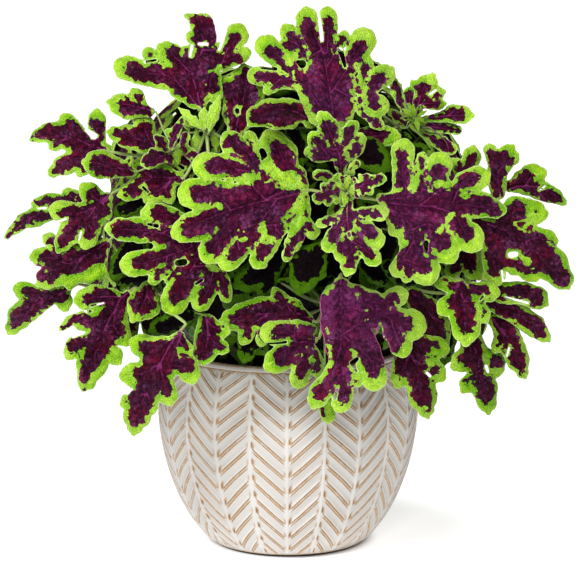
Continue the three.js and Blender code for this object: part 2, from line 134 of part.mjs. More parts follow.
  { n: "lowR1", s: "T8", k: "leaf", m: [[116, -46], [124, -68], [130, -90], [138, -130]], c: [[[120, -58, 11], [126, -74, 17], [132, -92, 15], [135, -109, 14.6], [138, -122, 9.6]], [[116, -76, 12], [112, -90, 11]], [[136, -74, 12], [148, -85, 11.6]], [[132, -58, 12], [150, -60, 12]]], w: [-144.92, -11.79, 21.56, 10.15, 30.32], a: [128.5, -118.9, 218.3] },
  { n: "lowL3", s: "T6", k: "minor", m: [[-82, -28], [-80, -46], [-82, -60], [-85, -78]], c: [[[-82, -34, 9], [-80, -48, 14], [-83, -63, 12.6], [-84, -71, 8]], [[-74, -54, 6], [-65, -60, 7.4]], [[-76, -38, 8], [-66, -42, 9]]], w: [-143.65, -16.33, 12.44, -22.13, 17.49], a: [-96.4, -123.9, 218.7] },
  { n: "midC", s: "T9", k: "leaf", m: [[28, -34], [4, -24], [-26, -26], [-69, -33]], c: [[[20, -32, 6], [2, -23, 14], [-26, -26, 18], [-46, -30, 15], [-58, -32, 12]], [[-38, -38, 8], [-43, -49, 8.6]], [[-24, -40, 6], [-26, -52, 7]], [[-6, -12, 8], [-12, -4, 6]]], w: [-147.41, -21.87, 24.09, 9.7, 33.87], a: [26.8, -134.1, 209.4] },
  { n: "lowTip", s: "T9", k: "minor", m: [[38, -100], [39, -116], [40, -138]], c: [[[38, -106, 5], [38, -118, 8], [40, -128, 8.6]]], w: [-140.34, -25.25, 9.45, 1.48, 13.29], a: [26.0, -120.4, 204.8] },
  { n: "inR1", s: "T1", k: "minor", m: [[64, 142], [78, 134], [106, 122]], c: [[[68, 140, 9], [80, 134, 16], [92, 126, 15]], [[82, 142, 10], [90, 138, 8]]], w: [-146.87, -15.16, 11.55, 21.54, 16.24], a: [41.6, -122.5, 291.4] },
  { n: "upM", s: "T4", k: "leaf", m: [[-54, 148], [-50, 170], [-44, 192], [-40, 222]], c: [[[-52, 158, 9], [-48, 176, 18], [-44, 193, 20], [-42, 208, 15], [-44, 218, 8]], [[-56, 192, 10], [-62, 204, 9]]], w: [-141.14, 5.87, 18.7, 7.94, 26.3], a: [-58.8, -108.4, 335.6] },
  { n: "inR2", s: "T3", k: "minor", m: [[64, 150], [88, 152], [112, 156]], c: [[[70, 150, 8], [88, 152, 13], [102, 152, 11]]], w: [-130.16, -15.77, 12.01, 22.07, 16.89], a: [91.6, -73.9, 339.6] },
  { n: "inC1", s: "T1", k: "minor", m: [[34, 40], [24, 26], [12, -6]], c: [[[30, 36, 10], [20, 24, 19], [15, 8, 16]], [[24, 16, 8], [32, 14, 7]]], w: [-163.24, -34.42, 12.66, -16.03, 17.81], a: [42.4, -135.6, 293.7] },
  { n: "inR3", s: "T8", k: "leaf", m: [[120, 0], [138, -20], [160, -64]], c: [[[124, -6, 8], [138, -24, 16], [148, -46, 15], [154, -62, 9]], [[144, -34, 10], [156, -34, 8]]], w: [-141.99, -3.77, 18.74, 7.08, 26.35], a: [129.4, -123.5, 220.0] },
  { n: "inR4", s: "T8", k: "minor", m: [[158, 50], [176, 36], [190, 6]], c: [[[164, 44, 8], [178, 32, 15], [186, 18, 12]], [[170, 26, 8], [164, 16, 9]]], w: [-106.18, -14.1, 13.51, 9.71, 19.0], a: [124.4, -100.4, 211.5] },
];

// Far-side leaves: shoot, the blade whose outline it shares, frame, scale, depth coefficients, stalk foot.
const FAR_LEAVES = [
  { s: "B1", shape: "bigL", O: [-0.35, 139.06, 313.33], e1: [-0.0349, -0.7651, 0.643], e2: [0.9994, -0.0267, 0.0225], e3: [0.0, 0.6433, 0.7656], sc: 0.9272, w: [0, -18.72, 41.6, 0.0, 43.68], a: [0.0, 145.4, 304.4] },
  { s: "B1", shape: "frontC", O: [-4.45, 153.17, 295.59], e1: [-0.342, 0.7194, -0.6045], e2: [0.9397, 0.2618, -0.22], e3: [0.0, 0.6433, 0.7656], sc: 1.2881, w: [0, -12.6, 29.4, 0.0, 29.4], a: [0.0, 142.5, 300.9] },
  { s: "B1", shape: "rightC", O: [-15.76, 143.05, 298.22], e1: [-0.9848, 0.1329, -0.1117], e2: [-0.1736, -0.7539, 0.6336], e3: [0.0, 0.6433, 0.7656], sc: 0.9585, w: [0, -18.0, 42.0, 0.0, 42.0], a: [0.0, 139.6, 297.5] },
  { s: "B1", shape: "midL", O: [18.93, 136.76, 297.63], e1: [0.9962, -0.0667, 0.0561], e2: [-0.0872, -0.7627, 0.6409], e3: [0.0, 0.6433, 0.7656], sc: 1.1155, w: [0, -18.0, 42.0, 0.0, 42.0], a: [0.0, 136.7, 294.0] },
  { s: "B1", shape: "lowL2", O: [-17.68, 118.7, 301.04], e1: [-0.7071, -0.5413, 0.4549], e2: [-0.7071, 0.5413, -0.4549], e3: [0.0, 0.6433, 0.7656], sc: 0.9827, w: [0, -15.84, 36.96, 0.0, 36.96], a: [0.0, 131.0, 287.1] },
  { s: "B2", shape: "rightC", O: [94.24, 146.35, 244.83], e1: [-0.4793, 0.733, -0.4827], e2: [-0.5014, 0.2227, 0.8361], e3: [0.7203, 0.6428, 0.2607], sc: 0.9968, w: [0, -18.72, 41.6, 0.0, 43.68], a: [97.6, 137.7, 248.1] },
  { s: "B2", shape: "lowL1", O: [99.79, 136.67, 236.12], e1: [0.3072, 0.0414, -0.9507], e2: [0.6219, -0.765, 0.1676], e3: [0.7203, 0.6428, 0.2607], sc: 1.0549, w: [0, -18.0, 42.0, 0.0, 42.0], a: [94.4, 134.8, 247.0] },
  { s: "B2", shape: "topC", O: [84.53, 136.8, 260.68], e1: [-0.5014, 0.2227, 0.8361], e2: [0.4793, -0.733, 0.4827], e3: [0.7203, 0.6428, 0.2607], sc: 1.0908, w: [0, -16.56, 38.64, 0.0, 38.64], a: [91.1, 132.0, 245.8] },
  { s: "B2", shape: "rosU", O: [102.46, 118.15, 239.86], e1: [0.6922, -0.6418, -0.3302], e2: [0.0449, -0.4183, 0.9072], e3: [0.7203, 0.6428, 0.2607], sc: 1.1285, w: [0, -11.52, 26.88, 0.0, 26.88], a: [87.9, 129.1, 244.6] },
  { s: "B2", shape: "frontC", O: [70.9, 142.96, 248.65], e1: [-0.6894, 0.7047, 0.1676], e2: [-0.076, -0.3005, 0.9507], e3: [0.7203, 0.6428, 0.2607], sc: 1.2145, w: [0, -11.88, 27.72, 0.0, 27.72], a: [84.6, 126.2, 243.4] },
  { s: "B3", shape: "bigL", O: [-92.78, 145.62, 250.86], e1: [0.5486, 0.7699, -0.3261], e2: [-0.4395, -0.0663, -0.8958], e3: [-0.7113, 0.6347, 0.302], sc: 0.9272, w: [0, -18.72, 41.6, 0.0, 43.68], a: [-96.8, 136.7, 252.5] },
  { s: "B3", shape: "lowL2", O: [-99.45, 135.96, 240.55], e1: [-0.3375, 0.0684, -0.9388], e2: [0.6165, 0.7697, -0.1655], e3: [-0.7113, 0.6347, 0.302], sc: 1.1167, w: [0, -18.0, 42.0, 0.0, 42.0], a: [-93.6, 133.8, 251.2] },
  { s: "B3", shape: "upL1", O: [-84.83, 133.27, 265.73], e1: [0.4395, 0.0663, 0.8958], e2: [0.5486, 0.7699, -0.3261], e3: [-0.7113, 0.6347, 0.302], sc: 1.26, w: [0, -17.28, 40.32, 0.0, 40.32], a: [-90.4, 130.9, 249.8] },
  { s: "B3", shape: "frontC", O: [-101.76, 118.99, 240.99], e1: [-0.6892, -0.5457, -0.4767], e2: [0.1377, 0.5472, -0.8256], e3: [-0.7113, 0.6347, 0.302], sc: 1.2513, w: [0, -12.24, 28.56, 0.0, 28.56], a: [-87.2, 128.1, 248.4] },
  { s: "B3", shape: "rosU", O: [-85.11, 136.27, 228.97], e1: [0.016, 0.4441, -0.8958], e2: [-0.7027, -0.6324, -0.3261], e3: [-0.7113, 0.6347, 0.302], sc: 1.058, w: [0, -10.8, 25.2, 0.0, 25.2], a: [-84.0, 125.2, 247.1] },
  { s: "B4", shape: "lowL1", O: [141.71, 8.79, 247.74], e1: [0.2927, 0.2671, -0.9181], e2: [-0.1075, 0.9633, 0.246], e3: [0.9502, 0.0267, 0.3106], sc: 1.0127, w: [0, -17.28, 38.4, 0.0, 40.32], a: [136.9, 6.1, 255.3] },
  { s: "B4", shape: "topC", O: [130.47, 8.15, 267.69], e1: [-0.3107, 0.165, 0.9361], e2: [0.0263, 0.9859, -0.1651], e3: [0.9502, 0.0267, 0.3106], sc: 1.0908, w: [0, -16.56, 38.64, 0.0, 38.64], a: [132.6, 5.9, 253.9] },
  { s: "B4", shape: "midL", O: [131.54, -9.85, 251.48], e1: [0.0815, -0.9829, -0.1651], e2: [0.3009, 0.1822, -0.9361], e3: [0.9502, 0.0267, 0.3106], sc: 1.0932, w: [0, -17.64, 41.16, 0.0, 41.16], a: [128.3, 5.8, 252.5] },
  { s: "B4", shape: "frontC", O: [126.46, 24.49, 249.59], e1: [0.0263, 0.9859, -0.1651], e2: [0.3107, -0.165, -0.9361], e3: [0.9502, 0.0267, 0.3106], sc: 1.2881, w: [0, -12.6, 29.4, 0.0, 29.4], a: [124.1, 5.7, 251.1] },
  { s: "B5", shape: "lowL2", O: [-140.61, 8.74, 252.05], e1: [-0.328, 0.2681, -0.9058], e2: [-0.1169, -0.963, -0.2427], e3: [-0.9374, 0.0263, 0.3472], sc: 1.0721, w: [0, -17.28, 38.4, 0.0, 40.32], a: [-135.5, 6.0, 259.4] },
  { s: "B5", shape: "bigL", O: [-128.84, 2.45, 271.32], e1: [0.328, -0.2681, 0.9058], e2: [-0.1169, -0.963, -0.2427], e3: [-0.9374, 0.0263, 0.3472], sc: 0.8737, w: [0, -17.64, 41.16, 0.0, 41.16], a: [-131.2, 5.9, 257.8] },
  { s: "B5", shape: "rightC", O: [-129.82, -10.1, 256.67], e1: [-0.0582, -0.995, -0.0817], e2: [0.3433, -0.0968, 0.9342], e3: [-0.9374, 0.0263, 0.3472], sc: 0.9201, w: [0, -17.28, 40.32, 0.0, 40.32], a: [-127.0, 5.8, 256.3] },
  { s: "B5", shape: "rosU", O: [-127.51, 22.24, 247.51], e1: [-0.1493, 0.8706, -0.4689], e2: [0.3146, 0.4914, 0.8121], e3: [-0.9374, 0.0263, 0.3472], sc: 1.1285, w: [0, -11.52, 26.88, 0.0, 26.88], a: [-122.8, 5.6, 254.7] },
  { s: "B6", shape: "shelfC", O: [0.0, 188.07, 198.91], e1: [-0.0, -0.1474, -0.9891], e2: [-1.0, 0.0, 0.0], e3: [0.0, 0.9891, -0.1474], sc: 1.1018, w: [0, -15.12, 33.6, 0.0, 35.28], a: [0.0, 187.6, 208.1] },
  { s: "B6", shape: "midL", O: [-12.56, 184.6, 206.13], e1: [-0.9659, -0.0382, -0.256], e2: [0.2588, -0.1424, -0.9554], e3: [0.0, 0.9891, -0.1474], sc: 1.0709, w: [0, -17.28, 40.32, 0.0, 40.32], a: [0.0, 183.1, 208.8] },
  { s: "B6", shape: "rightC", O: [15.65, 180.16, 206.83], e1: [0.9781, -0.0307, -0.2056], e2: [-0.2079, -0.1442, -0.9675], e3: [0.0, 0.9891, -0.1474], sc: 0.9393, w: [0, -17.64, 41.16, 0.0, 41.16], a: [0.0, 178.7, 209.4] },
  { s: "B6", shape: "lowL1", O: [-12.21, 174.05, 196.39], e1: [-0.6428, -0.1129, -0.7577], e2: [0.766, -0.0948, -0.6358], e3: [0.0, 0.9891, -0.1474], sc: 0.9494, w: [0, -16.2, 37.8, 0.0, 37.8], a: [0.0, 174.2, 210.1] },
  { s: "B7", shape: "lowL2", O: [113.41, 112.82, 181.06], e1: [-0.2473, -0.1553, -0.9564], e2: [-0.5316, 0.847, 0.0], e3: [0.81, 0.5085, -0.292], sc: 1.0944, w: [0, -17.64, 39.2, 0.0, 41.16], a: [114.3, 113.4, 190.2] },
  { s: "B7", shape: "frontC", O: [104.88, 119.22, 183.94], e1: [-0.5662, 0.549, -0.6148], e2: [0.1523, -0.6634, -0.7327], e3: [0.81, 0.5085, -0.292], sc: 1.2881, w: [0, -12.6, 29.4, 0.0, 29.4], a: [110.6, 111.1, 191.5] },
  { s: "B7", shape: "bigL", O: [115.24, 96.21, 188.02], e1: [0.415, -0.849, -0.3271], e2: [-0.4143, 0.1438, -0.8987], e3: [0.81, 0.5085, -0.292], sc: 0.8202, w: [0, -16.56, 38.64, 0.0, 38.64], a: [107.0, 108.8, 192.8] },
  { s: "B8", shape: "lowL1", O: [-113.41, 112.82, 181.06], e1: [0.2473, -0.1553, -0.9564], e2: [-0.5316, -0.847, 0.0], e3: [-0.81, 0.5085, -0.292], sc: 1.0338, w: [0, -17.64, 39.2, 0.0, 41.16], a: [-114.3, 113.4, 190.2] },
  { s: "B8", shape: "frontC", O: [-104.88, 119.22, 183.94], e1: [0.5662, 0.549, -0.6148], e2: [0.1523, 0.6634, 0.7327], e3: [-0.81, 0.5085, -0.292], sc: 1.2881, w: [0, -12.6, 29.4, 0.0, 29.4], a: [-110.6, 111.1, 191.5] },
  { s: "B8", shape: "midL", O: [-115.24, 96.21, 188.02], e1: [-0.415, -0.849, -0.3271], e2: [-0.4143, -0.1438, 0.8987], e3: [-0.81, 0.5085, -0.292], sc: 1.0262, w: [0, -16.56, 38.64, 0.0, 38.64], a: [-107.0, 108.8, 192.8] },
  { s: "B9", shape: "bigL", O: [0.0, 72.72, 323.5], e1: [-0.0, -0.9262, 0.3771], e2: [1.0, -0.0, 0.0], e3: [0.0, 0.3771, 0.9262], sc: 0.8202, w: [0, -16.56, 36.8, 0.0, 38.64], a: [0.0, 81.2, 316.9] },
  { s: "B9", shape: "rightC", O: [-13.0, 80.28, 315.56], e1: [-1.0, 0.0, -0.0], e2: [0.0, 0.9262, -0.3771], e3: [0.0, 0.3771, 0.9262], sc: 0.8818, w: [0, -16.56, 38.64, 0.0, 38.64], a: [0.0, 79.5, 312.7] },
  { s: "B9", shape: "midL", O: [0.0, 93.4, 305.36], e1: [0.0, 0.9262, -0.3771], e2: [-1.0, 0.0, -0.0], e3: [0.0, 0.3771, 0.9262], sc: 0.9816, w: [0, -15.84, 36.96, 0.0, 36.96], a: [0.0, 77.8, 308.5] },
  { s: "B10", shape: "topC", O: [67.02, -22.1, 306.02], e1: [-0.1554, 0.9477, 0.2787], e2: [0.8305, 0.2781, -0.4827], e3: [0.535, -0.1564, 0.8303], sc: 0.996, w: [0, -15.12, 33.6, 0.0, 35.28], a: [67.5, -31.3, 300.6] },
  { s: "B10", shape: "rightC", O: [76.45, -25.18, 293.95], e1: [0.7909, 0.4384, -0.427], e2: [-0.2972, 0.885, 0.3583], e3: [0.535, -0.1564, 0.8303], sc: 0.8243, w: [0, -15.48, 36.12, 0.0, 36.12], a: [65.1, -30.6, 296.8] },
  { s: "B10", shape: "frontC", O: [72.56, -41.08, 288.04], e1: [0.5498, -0.6817, -0.4827], e2: [-0.6415, -0.7147, 0.2787], e3: [0.535, -0.1564, 0.8303], sc: 1.1041, w: [0, -10.8, 25.2, 0.0, 25.2], a: [62.7, -29.9, 293.1] },
  { s: "B11", shape: "bigL", O: [-68.49, -21.77, 305.14], e1: [0.0088, 0.9816, 0.1906], e2: [0.8448, -0.1093, 0.5238], e3: [-0.535, -0.1564, 0.8303], sc: 0.7489, w: [0, -15.12, 33.6, 0.0, 35.28], a: [-67.5, -31.3, 300.6] },
  { s: "B11", shape: "midL", O: [-76.96, -27.26, 293.22], e1: [-0.8305, 0.2781, -0.4827], e2: [-0.1554, -0.9477, -0.2787], e3: [-0.535, -0.1564, 0.8303], sc: 0.9593, w: [0, -15.48, 36.12, 0.0, 36.12], a: [-65.1, -30.6, 296.8] },
  { s: "B11", shape: "frontC", O: [-72.56, -41.08, 288.04], e1: [-0.5498, -0.6817, -0.4827], e2: [-0.6415, 0.7147, -0.2787], e3: [-0.535, -0.1564, 0.8303], sc: 1.1041, w: [0, -10.8, 25.2, 0.0, 25.2], a: [-62.7, -29.9, 293.1] },
];

// ---- outline of a blade -------------------------------------------------------------------
function chainDistance(x, y, chain) {
  let best = Infinity;
  for (let i = 0; i + 1 < chain.length; i++) {
    const [ax, ay, ar] = chain[i], [bx, by, br] = chain[i + 1];
    const dx = bx - ax, dy = by - ay, l2 = dx * dx + dy * dy;
    const t = l2 ? Math.min(1, Math.max(0, ((x - ax) * dx + (y - ay) * dy) / l2)) : 0;
    best = Math.min(best, Math.hypot(x - ax - t * dx, y - ay - t * dy) - (ar + (br - ar) * t));
  }
  return best;
}

function bladeDistance(x, y, chains) {
  let d = Infinity;
  for (const chain of chains) {
    const e = chainDistance(x, y, chain);
    const h = Number.isFinite(d) ? Math.max(2 - Math.abs(d - e), 0) / 2 : 0;
    d = Math.min(d, e) - h * h * 0.5;
  }
  return d;
}

// Largest closed loop of the zero line, by marching squares, counter-clockwise.
function outline(chains, step) {
  let x0 = Infinity, y0 = Infinity, x1 = -Infinity, y1 = -Infinity;
  for (const chain of chains) for (const [x, y, r] of chain) {
    x0 = Math.min(x0, x - r); y0 = Math.min(y0, y - r); x1 = Math.max(x1, x + r); y1 = Math.max(y1, y + r);
  }
  x0 -= 2 * step; y0 -= 2 * step;
  const nx = Math.ceil((x1 + 2 * step - x0) / step) + 1, ny = Math.ceil((y1 + 2 * step - y0) / step) + 1;
  const f = [];
  for (let j = 0; j < ny; j++) for (let i = 0; i < nx; i++) {
    const v = bladeDistance(x0 + i * step, y0 + j * step, chains);
    f.push(Math.abs(v) < 1e-6 ? 1e-6 : v);
  }
  const at = (i, j) => f[j * nx + i];
  const pts = new Map(), next = new Map();
  const cut = (i, j, k, l) => {          // point on the grid edge (i,j)-(k,l)
    const key = (i < k || (i === k && j < l)) ? `${i},${j},${k},${l}` : `${k},${l},${i},${j}`;
    if (!pts.has(key)) {
      const a = at(i, j), b = at(k, l), t = a / (a - b);
      pts.set(key, [x0 + (i + (k - i) * t) * step, y0 + (j + (l - j) * t) * step]);
    }
    return key;
  };
  for (let j = 0; j + 1 < ny; j++) for (let i = 0; i + 1 < nx; i++) {
    const c = [[i, j], [i + 1, j], [i + 1, j + 1], [i, j + 1]];
    const inside = c.map(([a, b]) => at(a, b) < 0);
    const edges = [];
    for (let e = 0; e < 4; e++) {
      const n = (e + 1) % 4;
      if (inside[e] !== inside[n]) edges.push([e, inside[e]]);
    }
    // walk with the inside on the left: enter where inside -> outside
    if (edges.length === 2) {
      const from = edges.find((e) => e[1]), to = edges.find((e) => !e[1]);
      next.set(cut(...c[from[0]], ...c[(from[0] + 1) % 4]), cut(...c[to[0]], ...c[(to[0] + 1) % 4]));
    } else if (edges.length === 4) {
      for (const from of edges.filter((e) => e[1])) {
        const t = (from[0] + 1) % 4;
        next.set(cut(...c[from[0]], ...c[(from[0] + 1) % 4]), cut(...c[t], ...c[(t + 1) % 4]));
      }
    }
  }
  let best = null, bestArea = 0;
  const seen = new Set();
  for (const start of next.keys()) {
    if (seen.has(start)) continue;
    const loop = [];
    let k = start;
    while (k !== undefined && !seen.has(k)) { seen.add(k); loop.push(pts.get(k)); k = next.get(k); }
    const area = Math.abs(THREE.ShapeUtils.area(loop.map((p) => new THREE.Vector2(...p))));
    if (area > bestArea) { bestArea = area; best = loop; }
  }
  const signed = THREE.ShapeUtils.area(best.map((p) => new THREE.Vector2(...p)));
  return signed < 0 ? best.reverse() : best;
}

// Douglas-Peucker on a closed loop.
function simplify(loop, tol) {
  const dp = (a, b) => {
    let worst = 0, at = -1;
    const [ax, ay] = loop[a % loop.length], [bx, by] = loop[b % loop.length];
    const l = Math.hypot(bx - ax, by - ay) || 1e-9;
    for (let i = a + 1; i < b; i++) {
      const [x, y] = loop[i % loop.length];
      const d = Math.abs((bx - ax) * (y - ay) - (by - ay) * (x - ax)) / l;
      if (d > worst) { worst = d; at = i; }
    }
    return worst > tol ? [...dp(a, at), ...dp(at, b)] : [a];
  };
  let far = 0, fd = 0;
  loop.forEach(([x, y], i) => { const d = Math.hypot(x - loop[0][0], y - loop[0][1]); if (d > fd) { fd = d; far = i; } });
  return [...dp(0, far), ...dp(far, loop.length)].map((i) => loop[i % loop.length]);
}

// ---- solids -------------------------------------------------------------------------------
const wasm = await Module();
wasm.setup();

function solidOf(geometry) {
  const g = geometry.clone();
  for (const name of Object.keys(g.attributes)) if (name !== 'position') g.deleteAttribute(name);
  const m = mergeVertices(g, 1e-4);
  return new wasm.Manifold(new wasm.Mesh({
    numProp: 3,
    vertProperties: Float32Array.from(m.attributes.position.array),
    triVerts: Uint32Array.from(m.index.array),
  }));
}

function geometryOf(solid) {
  const mesh = solid.getMesh();
  const n = mesh.vertProperties.length / mesh.numProp;
  const pos = new Float32Array(n * 3);
  for (let i = 0; i < n; i++) for (let k = 0; k < 3; k++) pos[3 * i + k] = mesh.vertProperties[i * mesh.numProp + k];
  const g = new THREE.BufferGeometry();
  g.setAttribute('position', new THREE.BufferAttribute(pos, 3));
  g.setIndex(Array.from(mesh.triVerts));
  g.computeVertexNormals();
  return g;
}

// A sheet of even thickness over a polygon; place(x, y, h) puts a point of the polygon in space,
// h mm above the middle of the sheet. grow widens and thickens it.
function bladeSolid(poly, inner, place, thickness, grow = 0) {
  const n = poly.length;
  let ring = poly;
  if (grow) {
    ring = poly.map(([x, y], i) => {
      const [px, py] = poly[(i + n - 1) % n], [qx, qy] = poly[(i + 1) % n];
      const l1 = Math.hypot(x - px, y - py), l2 = Math.hypot(qx - x, qy - y);
      let nx = (y - py) / l1 + (qy - y) / l2, ny = -(x - px) / l1 - (qx - x) / l2;
      const l = Math.hypot(nx, ny) || 1; nx /= l; ny /= l;
      const g = (grow + 0.15) / UNIT;
      return [x + nx * g, y + ny * g];
    });
  }
  const contour = ring.map((p) => new THREE.Vector2(...p));
  const steiner = inner.map((p) => new THREE.Vector2(...p));
  const tris = THREE.ShapeUtils.triangulateShape(contour, steiner.map((p) => [p]));
  const all = [...ring, ...inner];
  const pos = [];
  for (const side of [1, -1]) for (const [x, y] of all) {
    const p = place(x, y, side * (thickness / 2 + grow));
    pos.push(p.x, p.y, p.z);
  }
  const N = all.length, idx = [];
  for (const [a, b, c] of tris) { idx.push(a, b, c); idx.push(N + a, N + c, N + b); }
  for (let i = 0; i < n; i++) {
    const j = (i + 1) % n;
    idx.push(i, N + i, N + j); idx.push(i, N + j, j);
  }
  const g = new THREE.BufferGeometry();
  g.setAttribute('position', new THREE.Float32BufferAttribute(pos, 3));
  g.setIndex(idx);
  let s = solidOf(g);
  if (s.volume() < 0) {
    for (let i = 0; i < idx.length; i += 3) [idx[i + 1], idx[i + 2]] = [idx[i + 2], idx[i + 1]];
    g.setIndex(idx);
    s = solidOf(g);
  }
  return s;
}

function rodSolid(points, radius, sides, steps) {
  const shape = new THREE.Shape(Array.from({ length: sides }, (_, i) => {
    const a = 2 * Math.PI * i / sides;
    return new THREE.Vector2(radius * Math.cos(a), radius * Math.sin(a));
  }));
  const path = new THREE.CatmullRomCurve3(points.map((p) => new THREE.Vector3(...p)));
  return solidOf(new THREE.ExtrudeGeometry(shape, { steps, bevelEnabled: false, extrudePath: path }));
}

// nearest point to p on the straight pieces that a rod of that many steps is made of
function onRod(points, steps, p) {
  const path = new THREE.CatmullRomCurve3(points.map((q) => new THREE.Vector3(...q))).getSpacedPoints(steps);
  const line = new THREE.Line3(), out = new THREE.Vector3();
  let best = null, dist = Infinity;
  for (let i = 0; i + 1 < path.length; i++) {
    line.set(path[i], path[i + 1]).closestPointToPoint(p, true, out);
    if (out.distanceTo(p) < dist) { dist = out.distanceTo(p); best = out.clone(); }
  }
  return best;
}

const largest = (solid) => {
  const parts = solid.decompose();
  return parts.sort((a, b) => b.volume() - a.volume())[0];
};

const boxOf = (solid) => {
  const b = solid.boundingBox();
  return new THREE.Box3(new THREE.Vector3(...b.min), new THREE.Vector3(...b.max));
};

// ---- pot and soil -------------------------------------------------------------------------
function innerRadius(z) {
  for (let i = 0; i + 1 < POT_PROFILE.length; i++) {
    const [r0, z0] = POT_PROFILE[i], [r1, z1] = POT_PROFILE[i + 1];
    if (z <= z1) return r0 + (r1 - r0) * (z - z0) / (z1 - z0) - POT_WALL;
  }
  return POT_PROFILE[POT_PROFILE.length - 1][0] - POT_WALL;
}
const v2 = (r, z) => new THREE.Vector2(r, z);
const innerLevels = [140, 100, 60, 40, 20];
const potProfile = [
  v2(0, 0),
  ...POT_PROFILE.slice(0, -1).map(([r, z]) => v2(r, z)),
  v2(POT_RIM, POT_HEIGHT - RIM_ROUND), v2(POT_RIM - RIM_ROUND, POT_HEIGHT),
  v2(POT_RIM - POT_WALL + RIM_ROUND, POT_HEIGHT), v2(POT_RIM - POT_WALL, POT_HEIGHT - RIM_ROUND),
  ...innerLevels.map((z) => v2(innerRadius(z), z)),
  v2(innerRadius(POT_FLOOR) - 2, POT_FLOOR),
  v2(0, POT_FLOOR),
];
const turned = (profile) => solidOf(new THREE.LatheGeometry(profile, POT_SEGMENTS).rotateX(Math.PI / 2));
const potSolid = turned(potProfile);
const soilLevels = [POT_FLOOR + 1, 20, 40, 60, 100];
const soilShrink = 0.55;
const soilProfile = [
  v2(0, POT_FLOOR + GAP), v2(innerRadius(POT_FLOOR) - 4, POT_FLOOR + GAP),
  ...soilLevels.slice(1).map((z) => v2(innerRadius(z) - soilShrink, z)),
  v2(innerRadius(SOIL_TOP) - soilShrink, SOIL_TOP),
  v2(innerRadius(SOIL_TOP) * 0.6, SOIL_TOP + SOIL_CROWN), v2(0, SOIL_TOP + SOIL_CROWN + 1),
];
const soilSolid = turned(soilProfile);

// height of the soil surface at a radius
function soilHeight(r) {
  const edge = innerRadius(SOIL_TOP) - soilShrink, mid = innerRadius(SOIL_TOP) * 0.6;
  if (r < mid) return SOIL_TOP + SOIL_CROWN + 1 - r / mid;
  return SOIL_TOP + SOIL_CROWN * (edge - r) / (edge - mid);
}

// ---- leaves -------------------------------------------------------------------------------
function depthAt(leaf, x, y) {
  const [bx, by] = leaf.m[0], [tx, ty] = leaf.m[leaf.m.length - 1];
  const l = Math.hypot(tx - bx, ty - by), ux = (tx - bx) / l, uy = (ty - by) / l;
  const s = ((x - bx) * ux + (y - by) * uy) / l, q = (-(x - bx) * uy + (y - by) * ux) / l;
  return { s, q, l };
}
function surface(leaf, coef, x, y) {
  const { s, q } = depthAt(leaf, x, y);
  return coef[0] + coef[1] * s + coef[2] * s * s + coef[3] * q + coef[4] * q * q;
}

const placed = [];       // {wide, box, node}: what later pieces keep clear of
const keep = (wide, node) => placed.push({ wide, box: boxOf(wide), node });
keep(potSolid, 'pot');
keep(soilSolid, 'soil');

const outlines = {};
function outlineOf(leaf, most, step) {
  const key = `${leaf.n},${most}`;
  if (!outlines[key]) {
    const loop = outline(leaf.c, step);
    let tol = 1.2, poly = simplify(loop, tol);
    while (poly.length > most) { tol *= 1.04; poly = simplify(loop, tol); }
    outlines[key] = poly;
  }
  return outlines[key];
}
function pointInside(poly, x, y) {
  let c = false;
  for (let i = 0, j = poly.length - 1; i < poly.length; j = i++) {
    if ((poly[i][1] > y) !== (poly[j][1] > y) && x < (poly[j][0] - poly[i][0]) * (y - poly[i][1]) / (poly[j][1] - poly[i][1]) + poly[i][0]) c = !c;
  }
  return c;
}
// a few points along the midrib carry the blade's curve
function innerPoints(leaf, poly, count) {
  const curve = new THREE.CatmullRomCurve3(leaf.m.map(([x, y]) => new THREE.Vector3(x, y, 0)));
  const out = [];
  for (let i = 1; i <= count; i++) {
    const p = curve.getPointAt(INNER_AT + 0.3 * (i - 1));
    const clear = Math.min(...poly.map(([x, y]) => Math.hypot(x - p.x, y - p.y)));
    if (pointInside(poly, p.x, p.y) && clear > 2) out.push([p.x, p.y]);
  }
  return out;
}

function makeBlade(shape, place, most, step, thickness, count) {
  const poly = outlineOf(shape, most, step), inner = innerPoints(shape, poly, count);
  return { solid: bladeSolid(poly, inner, place, thickness), wide: bladeSolid(poly, inner, place, thickness, GAP) };
}

// the stalk: from the stem to the middle of the blade, where it is the midrib
function makeStalk(shape, place, foot, radius, sides, steps, most, step) {
  const c = new THREE.CatmullRomCurve3(shape.m.map(([x, y]) => new THREE.Vector3(x, y, 0)));
  const [inner] = innerPoints(shape, outlineOf(shape, most, step), 1), b = c.getPointAt(0);
  const a = inner ? { x: inner[0], y: inner[1] } : c.getPointAt(INNER_AT);
  const A = place(a.x, a.y, 0), B = place(b.x, b.y, -3), F = new THREE.Vector3(...foot);
  const pts = (steps > 1 ? [F, B, A] : [F, A]).map((p) => p.toArray());
  return { solid: rodSolid(pts, radius, sides, steps), wide: rodSolid(pts, radius + GAP, sides, steps) };
}

function clearOf(solid, own) {
  const box = boxOf(solid);
  for (const p of placed) if (p.node !== own && box.intersectsBox(p.box)) solid = solid.subtract(p.wide);
  return solid;
}

const byName = Object.fromEntries(LEAVES.map((l) => [l.n, l]));
function frontPlace(leaf) {
  return (x, y, h) => lift(x, y, surface(leaf, leaf.w, x, y) - h);
}
function farPlace(leaf) {
  const shape = byName[leaf.shape];
  const O = new THREE.Vector3(...leaf.O), e1 = new THREE.Vector3(...leaf.e1), e2 = new THREE.Vector3(...leaf.e2), e3 = new THREE.Vector3(...leaf.e3);
  return (x, y, h) => {
    const { s, q, l } = depthAt(shape, x, y);
    const w = leaf.w[0] + leaf.w[1] * s + leaf.w[2] * s * s + leaf.w[3] * q + leaf.w[4] * q * q;
    const k = l * UNIT * leaf.sc;
    return O.clone().addScaledVector(e1, s * k).addScaledVector(e2, q * k).addScaledVector(e3, h - w);
  };
}

